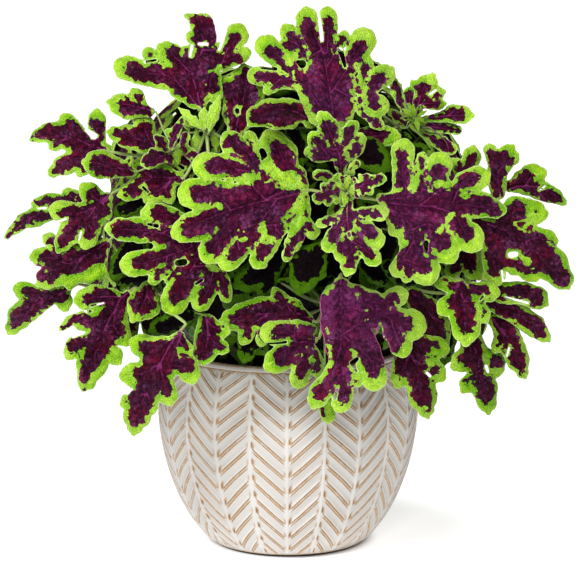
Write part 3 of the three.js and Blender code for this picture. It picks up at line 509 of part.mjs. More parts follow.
// ---- shoots: stem and the stalks of the leaves grown together with it ----------------------
const shoots = {};
for (const [name, pts] of Object.entries(STEMS)) {
  const ground = soilHeight(Math.hypot(pts[0][0], pts[0][1]) + STEM_RADIUS) + STEM_FOOT;
  const rooted = [[pts[0][0], pts[0][1], ground], [pts[0][0], pts[0][1], ground + 8], ...pts.slice(1)];
  let solid = rodSolid(rooted, STEM_RADIUS, 5, STEM_STEPS);
  const wide = [rodSolid(rooted, STEM_RADIUS + GAP + 0.1, 5, STEM_STEPS)];
  const foot = (l) => onRod(rooted, STEM_STEPS, new THREE.Vector3(...l.a)).toArray();
  const joined = [
    ...LEAVES.filter((l) => l.s === name && l.k !== 'leaf').map((l) => makeStalk(l, frontPlace(l), foot(l), STALK_RADIUS * 0.8, 3, 1, YOUNG_POINTS, 2.4)),
    ...FAR_LEAVES.filter((l) => l.s === name).map((l) => makeStalk(byName[l.shape], farPlace(l), foot(l), STALK_RADIUS, 3, 1, FAR_POINTS, 3.2)),
  ];
  for (const j of joined) { solid = solid.add(j.solid); wide.push(j.wide); }
  solid = largest(clearOf(solid, name));
  for (const w of wide) keep(w, name);
  shoots[name] = solid;
}

// ---- blades, from the front of the plant to the back ---------------------------------------
const nodes = {};        // separate leaves
for (const leaf of LEAVES) {
  const young = leaf.k !== 'leaf', place = frontPlace(leaf);
  const blade = makeBlade(leaf, place, young ? YOUNG_POINTS : LEAF_POINTS, young ? 2.4 : 3, young ? YOUNG_LEAF_THICKNESS : LEAF_THICKNESS, 1);
  if (young) {
    shoots[leaf.s] = shoots[leaf.s].add(clearOf(blade.solid, leaf.s));
    keep(blade.wide, leaf.s);
  } else {
    const name = `leaf_${leaf.n}`, stalk = makeStalk(leaf, place, leaf.a, STALK_RADIUS, 3, 2, LEAF_POINTS, 3);
    nodes[name] = largest(largest(clearOf(blade.solid.add(stalk.solid), name)).simplify(SMOOTHING));
    keep(blade.wide, name);
    keep(stalk.wide, name);
  }
}
for (const leaf of FAR_LEAVES) {
  const blade = makeBlade(byName[leaf.shape], farPlace(leaf), FAR_POINTS, 3.2, LEAF_THICKNESS, 1);
  shoots[leaf.s] = shoots[leaf.s].add(clearOf(blade.solid, leaf.s));
  keep(blade.wide, leaf.s);
}

// ---- the object ---------------------------------------------------------------------------
const ceramic = new THREE.MeshStandardMaterial({ color: 0xe8e3da, roughness: 0.45, metalness: 0 });
const soilLook = new THREE.MeshStandardMaterial({ color: 0x2a1d14, roughness: 1, metalness: 0 });
const stemLook = new THREE.MeshStandardMaterial({ color: 0x9fc35a, roughness: 0.6, metalness: 0 });
const leafLook = new THREE.MeshStandardMaterial({ color: 0x4d1433, roughness: 0.55, metalness: 0, side: THREE.DoubleSide });

const coleus = new THREE.Group();
function addMesh(name, solid, material) {
  const mesh = new THREE.Mesh(geometryOf(solid), material);
  mesh.name = name;
  coleus.add(mesh);
}
const pieces = [['pot', potSolid, ceramic], ['potting_soil', soilSolid, soilLook]];
for (const [name, s] of Object.entries(nodes)) pieces.push([name, s, leafLook]);
for (const [name, s] of Object.entries(shoots)) pieces.push([`shoot_${name}`, largest(largest(s).simplify(SMOOTHING)), stemLook]);
// Last clearance pass: a piece that still meets an earlier one is cut back from it by GAP.
const shifts = [[1, 0, 0], [-1, 0, 0], [0, 1, 0], [0, -1, 0], [0, 0, 1], [0, 0, -1]];
pieces.forEach((piece, j) => {
  for (let i = 0; i < j; i++) {
    const other = pieces[i][1];
    if (!boxOf(piece[1]).intersectsBox(boxOf(other))) continue;
    if (piece[1].intersect(other).volume() < 1e-5) continue;
    let s = piece[1];
    for (const d of shifts) s = s.subtract(other.translate(d.map((c) => c * GAP)));
    piece[1] = largest(s.subtract(other));
  }
});
for (const [name, s, look] of pieces) addMesh(name, s, look);

export default coleus;
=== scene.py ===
# A coleus in a bowl-shaped ceramic planter: looks, camera and light.
import math
import bpy
import numpy as np
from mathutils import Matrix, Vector
from mathutils.geometry import delaunay_2d_cdt


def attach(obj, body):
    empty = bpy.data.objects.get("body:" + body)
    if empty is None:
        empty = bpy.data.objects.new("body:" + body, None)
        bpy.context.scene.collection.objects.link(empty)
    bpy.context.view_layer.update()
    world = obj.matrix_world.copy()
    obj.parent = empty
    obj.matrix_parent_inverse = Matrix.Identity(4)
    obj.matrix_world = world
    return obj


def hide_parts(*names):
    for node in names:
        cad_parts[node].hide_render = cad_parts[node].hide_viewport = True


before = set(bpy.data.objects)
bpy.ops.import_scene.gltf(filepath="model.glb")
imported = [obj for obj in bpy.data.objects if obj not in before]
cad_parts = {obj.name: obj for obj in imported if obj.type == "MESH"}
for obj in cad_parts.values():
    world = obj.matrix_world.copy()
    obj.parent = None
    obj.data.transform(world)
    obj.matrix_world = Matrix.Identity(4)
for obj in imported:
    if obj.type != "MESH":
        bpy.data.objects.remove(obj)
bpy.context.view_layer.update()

MM = 0.001
# ---- drafting plane shared with the solid model (mm) --------------------------------------
DIST, SCALE = 2000.0, 2577.0
UNIT = DIST / SCALE
TILT = math.radians(10)
TARGET = np.array([0.0, 0.0, 199.1])
AXR = np.array([1.0, 0.0, 0.0])
AXU = np.array([0.0, math.sin(TILT), math.cos(TILT)])
AXF = np.array([0.0, math.cos(TILT), -math.sin(TILT)])
EYE = TARGET - DIST * AXF

STEMS = {
    "T1": [[14, -22, 136], [24, -52, 215], [38.9, -99.2, 281.3], [42.4, -135.6, 293.7]],
    "T2": [[-32, -10, 136], [-62, -38, 230], [-78.9, -67.9, 306.9], [-85.9, -104.4, 318.8]],
    "T3": [[28, 8, 136], [56, -26, 255], [84, -37.4, 328.1], [91.6, -73.9, 339.6]],
    "T4": [[-12, 10, 136], [-38, -20, 250], [-54.5, -76.3, 325], [-59.3, -112.8, 336.6]],
    "T5": [[44, -8, 136], [96, -34, 215], [144.6, -53.3, 272.5], [157.5, -89.7, 285.2]],
    "T6": [[-36, -34, 136], [-66, -66, 185], [-91.3, -105.6, 211], [-99.4, -141.8, 224.8]],
    "T7": [[6, 14, 136], [12, -30, 260], [22.5, -86.2, 330.6], [24.5, -122.7, 342]],
    "T8": [[38, -36, 136], [84, -64, 190], [119.9, -92, 207.8], [130.6, -128.1, 221.7]],
    "T9": [[2, -48, 136], [22, -74, 172], [25.1, -107.1, 198.6], [27.4, -143.2, 212.7]],
    "B1": [[2, 46, 136], [0.7, 82.8, 224.5], [0, 128.7, 279.5], [0, 146.7, 306.9]],
    "B2": [[28, 34, 136], [55.6, 75.1, 191.4], [78.9, 121, 236.4], [99, 139, 249.7]],
    "B3": [[-28, 34, 136], [-55.2, 74.6, 194], [-78.3, 120.2, 239.7], [-98.3, 137.9, 254.1]],
    "B4": [[52, 10, 136], [82.3, 6.4, 195.5], [112.2, 5.4, 242.2], [138.8, 6.1, 256.9]],
    "B5": [[-52, 10, 136], [-81.6, 6.3, 198], [-111.1, 5.3, 245.4], [-137.3, 6.1, 261.1]],
    "B6": [[0, 56, 136], [0, 106.2, 167.6], [0, 161.9, 206.9], [0, 189.5, 208.8]],
    "B7": [[40, 30, 136], [67.5, 62.5, 157.1], [93.2, 100.1, 192.8], [115.9, 114.4, 190.6]],
    "B8": [[-40, 30, 136], [-67.5, 62.5, 157.1], [-93.2, 100.1, 192.8], [-115.9, 114.4, 190.6]],
    "B9": [[-4, 22, 136], [-1.4, 45, 232.1], [0, 71.4, 287.8], [0, 82, 319.7]],
    "B10": [[38, 14, 136], [45.3, -9.3, 222.7], [53.6, -27.2, 274], [68.6, -31.6, 303.2]],
    "B11": [[-38, 14, 136], [-45.3, -9.3, 222.7], [-53.6, -27.2, 274], [-68.6, -31.6, 303.2]],
}

LEAVES = [
    {"n": "tipR", "s": "T1", "k": "tip", "m": [[61, 98], [70, 101], [82, 106], [94, 109]], "c": [[[63, 98, 3.5], [70, 101, 5], [79, 105, 5], [86, 107, 6], [92, 109, 6]], [[69, 102, 2.5], [67, 108, 2.6]], [[74, 104, 3], [78, 111, 4]], [[76, 101, 3], [81, 97, 4.2]], [[67, 97, 2.5], [69, 92, 2.4]], [[73, 108, 2], [72, 112, 2]], [[73, 98, 2.5], [75, 94, 2.2]]], "x": [], "w": [-167.19, -22.63, 8.64, 2.11, 12.15], "a": [42.4, -135.6, 293.7]},
    {"n": "tipL", "s": "T1", "k": "tip", "m": [[56, 98], [46, 96], [36, 93], [25, 89]], "c": [[[54, 98, 3.5], [45, 96, 5.5], [37, 93, 5.5], [30, 90, 6.2]], [[43, 99, 3], [36, 101, 4.5]], [[44, 92, 3], [40, 86, 4.3]], [[50, 93, 2.5], [49, 87, 3.4]], [[48, 100, 3], [44, 105, 4]]], "x": [], "w": [-163.98, -33.07, 8.02, -1.97, 11.27], "a": [42.4, -135.6, 293.7]},
    {"n": "tipU", "s": "T1", "k": "tip", "m": [[57, 102], [53, 108], [49, 112]], "c": [[[57, 103, 3], [53, 108, 3], [50, 113, 2.6]], [[55, 102, 2], [58, 111, 2.4]], [[53, 104, 2.4], [47, 110, 2.6]]], "x": [], "w": [-158.73, -9.39, 3.18, 3.09, 4.47], "a": [42.4, -135.6, 293.7]},
    {"n": "tipD", "s": "T1", "k": "tip", "m": [[59, 95], [57, 90], [55, 84]], "c": [[[59, 95, 3], [57, 90, 2.6], [54, 84, 2.6]], [[60, 94, 2.5], [62, 90, 3]], [[62, 96, 2], [65, 92, 2]]], "x": [], "w": [-160.36, -10.63, 2.91, -3.67, 4.09], "a": [42.4, -135.6, 293.7]},
    {"n": "tipA", "s": "T1", "k": "tip", "m": [[52, 108], [42, 111], [25, 113]], "c": [[[46, 110, 2.6], [39, 113, 4.6], [30, 113, 5.4]], [[41, 110, 2], [38, 107, 3.2]]], "x": [], "w": [-151.96, -28.13, 6.82, 6.62, 9.59], "a": [41.8, -126.8, 291.9]},
    {"n": "tipB", "s": "T1", "k": "tip", "m": [[58, 112], [63, 119], [72, 125]], "c": [[[59, 114, 1.8], [63, 120, 3], [68, 124, 4.6]], [[62, 118, 2], [64, 115, 2.7]]], "x": [], "w": [-156.84, -19.57, 4.74, -6.03, 6.67], "a": [42.4, -135.6, 293.7]},
    {"n": "rosU", "s": "T1", "k": "leaf", "m": [[55, 106], [53, 118], [51, 133], [44, 150], [34, 176]], "c": [[[54, 114, 3], [52.5, 125, 7.2], [50, 136, 5.5], [46, 146, 7], [41, 160, 11], [35.5, 170, 8.4]], [[54, 136, 4], [58, 146, 6.5], [61, 155, 8.4], [65, 162, 6.4]], [[49, 131, 4], [42, 134, 6], [33, 141, 10.3], [27, 149, 8.2]], [[41, 130, 4], [28, 132, 6.5], [21, 136, 5.5]], [[55, 128, 4], [62, 131, 4.5], [69, 140, 7.5], [71.5, 149, 7.5]], [[57, 137, 2.6], [60, 141, 4.4]], [[64, 142, 2.6], [68, 145, 3.6]]], "x": [], "w": [-148.72, -60.51, 18.15, -6.89, 25.52], "a": [41.6, -122.5, 291.4]},
    {"n": "frontC", "s": "T1", "k": "leaf", "m": [[60, 88], [59, 73], [61, 56], [64, 38], [62, 18]], "c": [[[60, 84, 4.5], [59, 74, 9], [60, 60, 11], [62, 45, 9], [63, 30, 9], [60, 20, 8.5]], [[56, 68, 6], [46, 54, 7.5], [41, 44, 8.8]], [[58, 54, 6], [55, 42, 8], [55, 34, 9.4]], [[52, 71, 4], [39, 67, 5.5], [32, 64, 4.8]], [[66, 74, 5], [80, 75, 6.5], [92, 75, 8.6]], [[69, 66, 5], [80, 58, 8.8], [86, 49, 11.5]], [[69, 48, 6], [80, 36, 8], [85, 30, 9.4]]], "x": [[[61, 55, 1.5], [61.5, 52, 1.3]]], "w": [-160, -71.73, 17.39, -15.59, 24.45], "a": [42.4, -135.6, 293.7]},
    {"n": "topC", "s": "T7", "k": "leaf", "m": [[45, 162], [44, 183], [40, 208], [35, 233], [21, 268]], "c": [[[44, 167, 9], [42, 183, 26], [38, 203, 30], [37, 222, 19], [29, 240, 10], [21, 256, 12], [19, 270, 12]], [[38, 234, 7], [40, 254, 9.6], [39, 271, 10.6]], [[45, 228, 4], [51, 241, 5.6], [56, 251, 6.6]], [[56, 214, 9], [67, 231, 12], [75, 247, 14.2]], [[70, 198, 5], [76, 216, 6], [78, 225, 8.6]], [[74, 186, 7], [82, 198, 8], [89, 208, 10], [96, 213, 12]], [[76, 176, 7], [83, 182, 9], [90, 182, 12]], [[78, 174, 4], [88, 166, 7], [92, 163, 6]], [[12, 212, 9], [-6, 228, 11], [-21, 241, 13]], [[12, 222, 5], [2, 230, 5.5], [0, 246, 8.4]], [[17, 230, 5], [8, 246, 7], [0, 256, 9]], [[14, 204, 7], [-13, 209, 9], [-32, 212, 9.6]], [[-4, 206, 5], [-19, 199, 6.4]]], "x": [[[29, 283, 0.8], [32, 264, 1.5], [34, 248, 1.6]], [[14, 224, 4.2], [10, 226, 2]], [[57, 222, 1.5], [54, 233, 2.4], [52, 238, 2.5]], [[-12, 219, 1.6], [-26, 221, 2]]], "w": [-149.69, 6.52, 26.99, -12.74, 37.95], "a": [24.3, -118.3, 341]},
    {"n": "rightC", "s": "T1", "k": "leaf", "m": [[84, 89], [110, 84], [142, 82], [174, 83], [218, 78]], "c": [[[94, 89, 6], [110, 83, 15], [132, 78, 23], [157, 80, 20], [174, 83, 13], [194, 83, 13.5], [207, 79, 9.5], [212, 78, 7]], [[116, 92, 12], [114, 116, 9.5], [115, 137, 13]], [[134, 96, 8], [130, 117, 6], [134, 130, 6]], [[152, 94, 8], [149, 114, 12], [152, 124, 13]], [[152, 98, 4], [158, 103, 6.6]], [[164, 92, 7], [175, 106, 10], [190, 110, 13]], [[166, 74, 10], [175, 59, 12], [182, 50, 15.4]], [[142, 64, 14], [153, 48, 14], [158, 39, 15.6]], [[120, 66, 14], [127, 44, 15.5], [133, 27, 17], [137, 18, 16]], [[118, 34, 8], [110, 19, 9]], [[110, 68, 14], [108, 60, 9]], [[122, 26, 8], [119, 12, 7]]], "x": [[[138, 45, 2.6], [138, 36, 1.6]]], "w": [-159.28, -16.66, 33.39, 11.79, 46.95], "a": [42.4, -135.6, 293.7]},
    {"n": "leftUp", "s": "T7", "k": "minor", "m": [[24, 165], [8, 176], [-16, 178], [-41, 164]], "c": [[[18, 175, 8], [2, 176, 14], [-18, 175, 15], [-31, 172, 11], [-36, 167, 7]], [[12, 180, 7], [22, 166, 7]], [[-13, 166, 8], [4, 164, 6]]], "x": [], "w": [-141.53, -66.59, 16.14, -23.87, 22.7], "a": [24.1, -109.9, 340.4]},
    {"n": "bigL", "s": "T1", "k": "leaf", "m": [[22, 98], [-4, 91], [-33, 85], [-62, 76], [-116, 55]], "c": [[[14, 97, 5], [2, 90, 13], [-26, 82, 28], [-50, 78, 26], [-74, 68, 18], [-96, 61, 15], [-105, 57, 13]], [[-52, 90, 14], [-76, 96, 14], [-95, 94, 16]], [[-30, 110, 12], [-56, 122, 12], [-81, 122, 15]], [[-26, 116, 9], [-41, 136, 9], [-56, 145, 12], [-58, 149, 9]], [[8, 104, 7], [0, 118, 12], [-7, 133, 17], [-15, 146, 14]], [[16, 102, 5], [12, 116, 6]], [[-56, 62, 14], [-74, 41, 13], [-77, 37, 13.4]], [[-32, 60, 12], [-48, 40, 11], [-59, 28, 11.6]], [[-12, 62, 12], [-22, 42, 11], [-29, 28, 10]], [[4, 66, 10], [10, 56, 8], [5, 44, 9]], [[2, 42, 5], [-1, 32, 5.8]], [[12, 72, 8], [21, 62, 6], [25, 56, 7.6]], [[10, 86, 12], [14, 76, 9.5]], [[-20, 120, 8], [-34, 142, 5], [-38, 151, 6.6]], [[-20, 111, 3.5], [-7, 108, 3.5]], [[-60, 108, 2.5], [-57, 108, 2.5]]], "x": [[[-26, 128, 0.8], [-24, 133, 3.3], [-26, 137, 3]]], "w": [-161.05, -61.72, 35.89, -9.54, 50.47], "a": [42.4, -135.6, 293.7]},
    {"n": "shelfC", "s": "T9", "k": "leaf", "m": [[53, 14], [53, -12], [54, -34], [52, -57], [46, -84]], "c": [[[53, 2, 9], [54, -15, 22], [58, -34, 26], [57, -57, 20], [50, -78, 10], [42, -94, 11], [33, -103, 11.5], [29, -111, 11]], [[76, -12, 12], [96, -16, 10], [110, -8, 10.6]], [[87, -27, 14], [107, -33, 13], [123, -37, 16.4]], [[96, -37, 10], [108, -48, 9], [113, -58, 12]], [[74, -52, 14], [83, -72, 13], [86, -90, 13.6]], [[64, -70, 6], [67, -90, 6], [69, -94, 6]], [[52, -86, 8], [56, -102, 10], [53, -115, 10.4]], [[68, -2, 6], [86, -8, 5]]], "x": [[[97, -62, 0.8], [93, -52, 2.2], [92, -40, 2]], [[69, -84, 0.7], [64, -75, 2.4], [69, -71, 2]], [[47, -111, 1], [49, -101, 1.5]]], "w": [-164.75, -40.62, 24.4, 6.28, 34.31], "a": [27.4, -143.2, 212.7]},
    {"n": "shelfL", "s": "T9", "k": "leaf", "m": [[31, -50], [18, -53], [2, -59], [-20, -78]], "c": [[[26, -52, 4], [16, -53, 9], [4, -61, 12], [-6, -70, 13], [-13, -74, 13]], [[16, -48, 10], [-2, -44, 12], [-16, -45, 12.6]], [[18, -62, 6], [15, -78, 9.5], [11, -90, 10.6]], [[25, -60, 4], [30, -72, 6], [30, -83, 6.8]], [[22, -42, 7], [8, -36, 5]]], "x": [[[-26, -56, 0.7], [-8, -55, 0.9], [-2, -54, 1.4]]], "w": [-158.49, -39.28, 14.45, 7.72, 20.32], "a": [27.4, -143.2, 212.7]},
    {"n": "midL", "s": "T4", "k": "leaf", "m": [[-70, 48], [-88, 40], [-108, 48], [-138, 57], [-185, 59]], "c": [[[-82, 44, 9], [-98, 42, 18], [-116, 52, 14], [-148, 58, 13], [-168, 59, 11.5], [-176, 59, 8]], [[-108, 66, 10], [-128, 75, 10.5], [-138, 75, 10]], [[-106, 38, 12], [-136, 27, 12], [-155, 24, 13.4]], [[-90, 26, 14], [-105, 4, 14], [-114, -13, 14.6]], [[-76, 20, 9], [-80, -2, 10], [-87, -14, 10.4]], [[-72, 26, 8], [-65, 8, 6.5], [-62, -8, 7]], [[-112, 30, 5], [-124, 18, 5], [-134, 9, 6.6]], [[-98, 26, 6], [-112, 16, 5], [-120, 8, 4]]], "x": [[[-140, 64, 1], [-131, 62, 2]], [[-156, 43, 0.8], [-138, 42, 3.2]], [[-110, 25, 3], [-104, 26, 3.4]], [[-92, 4, 1], [-86, 8, 1.4]]], "w": [-163.35, -27.97, 28.69, -0.96, 40.34], "a": [-59.3, -112.8, 336.6]},
    {"n": "shield", "s": "T8", "k": "leaf", "m": [[169, 12], [174, -8], [177, -30], [178, -59]], "c": [[[171, 4, 6], [175, -10, 14], [178, -28, 17], [178, -43, 16]], [[166, -12, 9], [158, -19, 10.6]], [[188, -16, 9], [194, -27, 9.6]], [[186, -2, 8], [201, -4, 11.5]], [[168, 0, 7], [158, 4, 8], [152, 4, 6]]], "x": [[[192, -12, 0.8], [195, -8, 1.2]]], "w": [-134.09, -34.22, 17.77, 16.18, 24.99], "a": [129.4, -123.5, 220]},
    {"n": "rightB", "s": "T5", "k": "leaf", "m": [[186, 66], [212, 60], [234, 48], [252, 32], [280, 0]], "c": [[[190, 64, 8], [210, 52, 20], [230, 42, 22], [248, 36, 19], [264, 23, 17], [274, 10, 12], [278, 4, 7]], [[212, 62, 10], [228, 78, 14], [246, 75, 14.4]], [[248, 50, 12], [259, 48, 11.5]], [[232, 28, 11], [243, 16, 11.6]], [[216, 32, 12], [227, 21, 10]], [[204, 32, 11], [208, 13, 11.4]]], "x": [[[223, 33, 3], [228, 34, 2.4]], [[215, 7, 0.6], [214, 17, 1]]], "w": [-135.12, 2.68, 28.52, -14.41, 40.11], "a": [157.5, -89.7, 285.2]},
    {"n": "lowL1", "s": "T6", "k": "leaf", "m": [[-102, -36], [-116, -54], [-130, -80], [-144, -110], [-153, -147]], "c": [[[-108, -48, 5], [-120, -62, 14], [-130, -78, 20], [-138, -94, 18], [-145, -112, 15], [-151, -128, 14], [-153, -138, 10]], [[-128, -58, 10], [-140, -60, 12], [-147, -57, 13]], [[-142, -84, 10], [-156, -87, 13]], [[-148, -107, 8], [-160, -114, 9]], [[-116, -74, 10], [-101, -78, 12], [-98, -85, 12]], [[-124, -96, 10], [-120, -107, 11.4]], [[-138, -112, 8], [-136, -120, 7]], [[-108, -54, 7], [-101, -62, 8]]], "x": [[[-161, -106, 0.8], [-156, -101, 1]], [[-108, -98, 0.7], [-110, -90, 1]]], "w": [-155.12, 7.68, 30.33, -8.5, 42.66], "a": [-98.5, -137.3, 223.2]},
    {"n": "nearL", "s": "T6", "k": "minor", "m": [[-142, 4], [-141, -6], [-146, -18], [-153, -34]], "c": [[[-140, -2, 9], [-144, -15, 17], [-150, -24, 12.6]], [[-138, -14, 8], [-133, -22, 6]]], "x": [], "w": [-148.07, -26.71, 9.82, 7.55, 13.81], "a": [-98.5, -137.3, 223.2]},
    {"n": "lowL2", "s": "T6", "k": "leaf", "m": [[-154, 0], [-168, -12], [-180, -34], [-191, -60], [-204, -104]], "c": [[[-161, -7, 5], [-171, -20, 13], [-180, -38, 21], [-189, -57, 17], [-196, -76, 16], [-201, -92, 10], [-204, -100, 4.6]], [[-200, -54, 9], [-213, -58, 10], [-217, -64, 9]], [[-190, -34, 9], [-206, -34, 10]], [[-206, -28, 5], [-218, -33, 5.6], [-227, -41, 3]], [[-182, -56, 9], [-174, -68, 10.6]], [[-174, -38, 11], [-166, -49, 11]], [[-174, -10, 9], [-192, -9, 13], [-203, -11, 12]]], "x": [[[-198, -18, 0.6], [-184, -15, 0.8]], [[-160, -61, 0.8], [-170, -58, 0.8]], [[-215, -49, 1], [-204, -45, 0.8]]], "w": [-132.35, -32.78, 28.65, 20.81, 40.3], "a": [-96.4, -123.9, 218.7]},
    {"n": "leftM", "s": "T2", "k": "leaf", "m": [[-174, 96], [-190, 82], [-204, 66], [-220, 48], [-230, 33]], "c": [[[-180, 91, 5], [-190, 80, 13], [-203, 69, 17], [-216, 57, 13.5], [-225, 46, 9], [-229, 38, 4.5]], [[-212, 74, 11], [-228, 77, 12]], [[-196, 66, 11], [-201, 50, 12]], [[-190, 88, 10], [-200, 97, 10.6]], [[-184, 82, 8], [-181, 74, 6]]], "x": [[[-232, 66, 0.8], [-222, 69, 0.9]], [[-209, 48, 0.8], [-207, 56, 1]]], "w": [-127.7, -28.85, 20.93, -21.68, 29.43], "a": [-85.9, -104.4, 318.8]},
    {"n": "leftT", "s": "T2", "k": "minor", "m": [[-152, 116], [-170, 120], [-188, 124], [-206, 128]], "c": [[[-156, 116, 5], [-172, 120, 11], [-188, 124, 15], [-194, 125, 13.4]], [[-160, 122, 5], [-158, 128, 4]]], "x": [], "w": [-133.02, -17.32, 13.74, -5.08, 19.32], "a": [-85.9, -104.4, 318.8]},
    {"n": "t2a", "s": "T2", "k": "tip", "m": [[-118, 138], [-114, 152], [-104, 171]], "c": [[[-117, 141, 2.6], [-114, 154, 6], [-109, 163, 4.6], [-105, 170, 2.4]], [[-115, 148, 4], [-120, 156, 3.6]]], "x": [], "w": [-145.43, -22.47, 8.9, 7.51, 12.52], "a": [-85.9, -104.4, 318.8]},
    {"n": "t2b", "s": "T2", "k": "tip", "m": [[-120, 136], [-125, 143], [-132, 153]], "c": [[[-121, 138, 3], [-126, 145, 6], [-131, 151, 4]], [[-124, 142, 4], [-130, 140, 3.6]]], "x": [], "w": [-140.49, -15.26, 5.17, -6.52, 7.27], "a": [-85.9, -104.4, 318.8]},
    {"n": "t2c", "s": "T2", "k": "tip", "m": [[-118, 134], [-128, 131], [-146, 123]], "c": [[[-121, 133, 3.6], [-130, 131, 8], [-139, 127, 8.4]], [[-128, 135, 5], [-136, 136, 4]], [[-120, 130, 5], [-116, 128, 4.6]]], "x": [], "w": [-134.46, -30.81, 7.47, -9.49, 10.51], "a": [-85.9, -104.4, 318.8]},
    {"n": "t2d", "s": "T2", "k": "tip", "m": [[-116, 138], [-105, 142], [-92, 130]], "c": [[[-114, 138, 3], [-105, 140, 5], [-97, 134, 6], [-92, 128, 5]], [[-104, 144, 4], [-102, 152, 4.4]]], "x": [], "w": [-125.55, -25.91, 6.28, -6.31, 8.83], "a": [-84.4, -95.1, 317.3]},
    {"n": "upL1", "s": "T4", "k": "leaf", "m": [[-86, 176], [-91, 196], [-96, 220], [-85, 243], [-92, 274]], "c": [[[-87, 182, 5], [-92, 195, 16], [-99, 209, 24], [-95, 222, 22], [-83, 234, 10], [-83, 250, 12], [-86, 263, 12], [-94, 269, 6], [-101, 272, 3]], [[-78, 226, 14], [-60, 240, 10], [-51, 253, 12.4]], [[-64, 226, 8], [-46, 234, 9]], [[-85, 240, 5], [-96, 250, 6.6]], [[-116, 210, 13], [-146, 215, 12.6], [-162, 220, 13]], [[-106, 222, 11], [-116, 234, 11], [-122, 237, 10.6]], [[-132, 222, 6], [-139, 235, 7.4]], [[-78, 208, 12], [-74, 194, 9]]], "x": [[[-96, 242, 1.4], [-98, 232, 1]], [[-81, 244, 1.5], [-89, 244, 1.4]], [[-62, 258, 1], [-66, 246, 1.4], [-69, 238, 1]], [[-132, 228, 1], [-143, 226, 1.4]]], "w": [-138.97, 21.33, 24.38, 12.16, 34.29], "a": [-58.8, -108.4, 335.6]},
    {"n": "upL2", "s": "T4", "k": "minor", "m": [[-112, 226], [-124, 226], [-140, 226]], "c": [[[-116, 227, 4.6], [-126, 226, 6], [-136, 226, 6]], [[-128, 222, 4], [-118, 218, 4]]], "x": [], "w": [-98.72, -9.13, 6.95, -12.49, 9.78], "a": [-56.5, -86.8, 332.4]},
    {"n": "t3a", "s": "T3", "k": "minor", "m": [[128, 174], [132, 190], [142, 216]], "c": [[[130, 180, 5.6], [134, 193, 8.6], [140, 204, 13]], [[140, 192, 7], [151, 195, 7]], [[133, 195, 4], [126.5, 203, 5.6]], [[136, 184, 5], [152, 184, 6.6]]], "x": [[[148, 198, 0.9], [142, 194, 1]]], "w": [-121.69, -14.44, 10.99, -4.75, 15.46], "a": [91.6, -73.9, 339.6]},
    {"n": "t3b", "s": "T3", "k": "tip", "m": [[123, 178], [121, 194], [121, 200]], "c": [[[122, 182, 3], [121, 193, 6.8], [122, 195, 6.4]]], "x": [], "w": [-119.51, -8.49, 5.49, -4.61, 7.71], "a": [91.6, -73.9, 339.6]},
    {"n": "t3c", "s": "T3", "k": "tip", "m": [[116, 174], [112, 190], [105, 210]], "c": [[[115, 178, 3], [112, 189, 5.6], [108, 200, 6.4], [106, 205, 5]]], "x": [], "w": [-119.2, -7.89, 9.35, -22.16, 13.14], "a": [91.6, -73.9, 339.6]},
    {"n": "t3d", "s": "T3", "k": "minor", "m": [[132, 170], [158, 172], [188, 173]], "c": [[[136, 169, 3], [152, 171, 5], [164, 174, 9], [176, 173, 10.8]], [[164, 176, 6], [167, 179, 5]]], "x": [], "w": [-103.84, -39.18, 13.93, 33.51, 19.58], "a": [91.6, -73.9, 339.6]},
    {"n": "t3e", "s": "T3", "k": "tip", "m": [[128, 164], [152, 160], [175, 156]], "c": [[[131, 162, 3.6], [147, 161, 5.4], [161, 160, 6], [169, 158, 5]]], "x": [], "w": [-101.83, -37.74, 11.84, 28.96, 16.65], "a": [90.8, -69.2, 338.6]},
    {"n": "t3f", "s": "T3", "k": "tip", "m": [[130, 158], [146, 150], [169, 134]], "c": [[[136, 154, 2.6], [146, 149, 5.8], [155, 144, 8], [163, 139, 6]]], "x": [], "w": [-104.13, -41.91, 11.37, 12.46, 15.99], "a": [90.8, -69.2, 338.6]},
    {"n": "t3g", "s": "T3", "k": "tip", "m": [[126, 168], [116, 160], [104, 172]], "c": [[[124, 167, 3], [116, 164, 4.6], [108, 172, 5], [104, 176, 4]]], "x": [], "w": [-99.22, -22.9, 5.55, -5.63, 7.81], "a": [90.2, -64.2, 338.2]},
    {"n": "leftB", "s": "T2", "k": "leaf", "m": [[-178, 48], [-200, 34], [-224, 21], [-248, 4]], "c": [[[-182, 44, 6], [-194, 32, 14], [-210, 25, 20], [-228, 19, 17], [-242, 9, 12.6]], [[-228, 28, 10], [-242, 31, 10], [-249, 31, 10]], [[-204, 16, 8], [-196, 10, 8], [-188, 16, 8]], [[-218, 12, 8], [-218, 4, 7]], [[-230, 44, 6], [-239, 49, 7.6]]], "x": [], "w": [-132.84, -6.67, 20.53, -12.93, 28.87], "a": [-85.9, -104.4, 318.8]},
    {"n": "farL", "s": "T2", "k": "leaf", "m": [[-202, 84], [-230, 80], [-258, 70], [-284, 47]], "c": [[[-216, 80, 7], [-234, 77, 9], [-250, 73, 9.4], [-264, 67, 8], [-276, 57, 5], [-281, 51, 2.6]], [[-218, 86, 7], [-240, 87, 8.4], [-252, 85, 5]], [[-206, 90, 6], [-220, 94, 7]], [[-250, 66, 5], [-258, 63, 4]]], "x": [[[-250, 79.4, 0.8], [-242, 80, 1]]], "w": [-121.93, 19.46, 22.34, -22.35, 31.41], "a": [-85.1, -99.7, 317.7]},
    {"n": "farL2", "s": "T6", "k": "leaf", "m": [[-210, 4], [-232, -8], [-254, -18], [-279, -48]], "c": [[[-222, -2, 6], [-238, -9, 9], [-254, -16, 12], [-268, -28, 13], [-276, -40, 8.6]], [[-250, -6, 8], [-266, -2, 10]], [[-226, -6, 6], [-224, -14, 10]], [[-248, -18, 6], [-250, -23, 5]]], "x": [], "w": [-113.11, 18.77, 21.45, -15.57, 30.17], "a": [-94.5, -114.9, 215.3]},
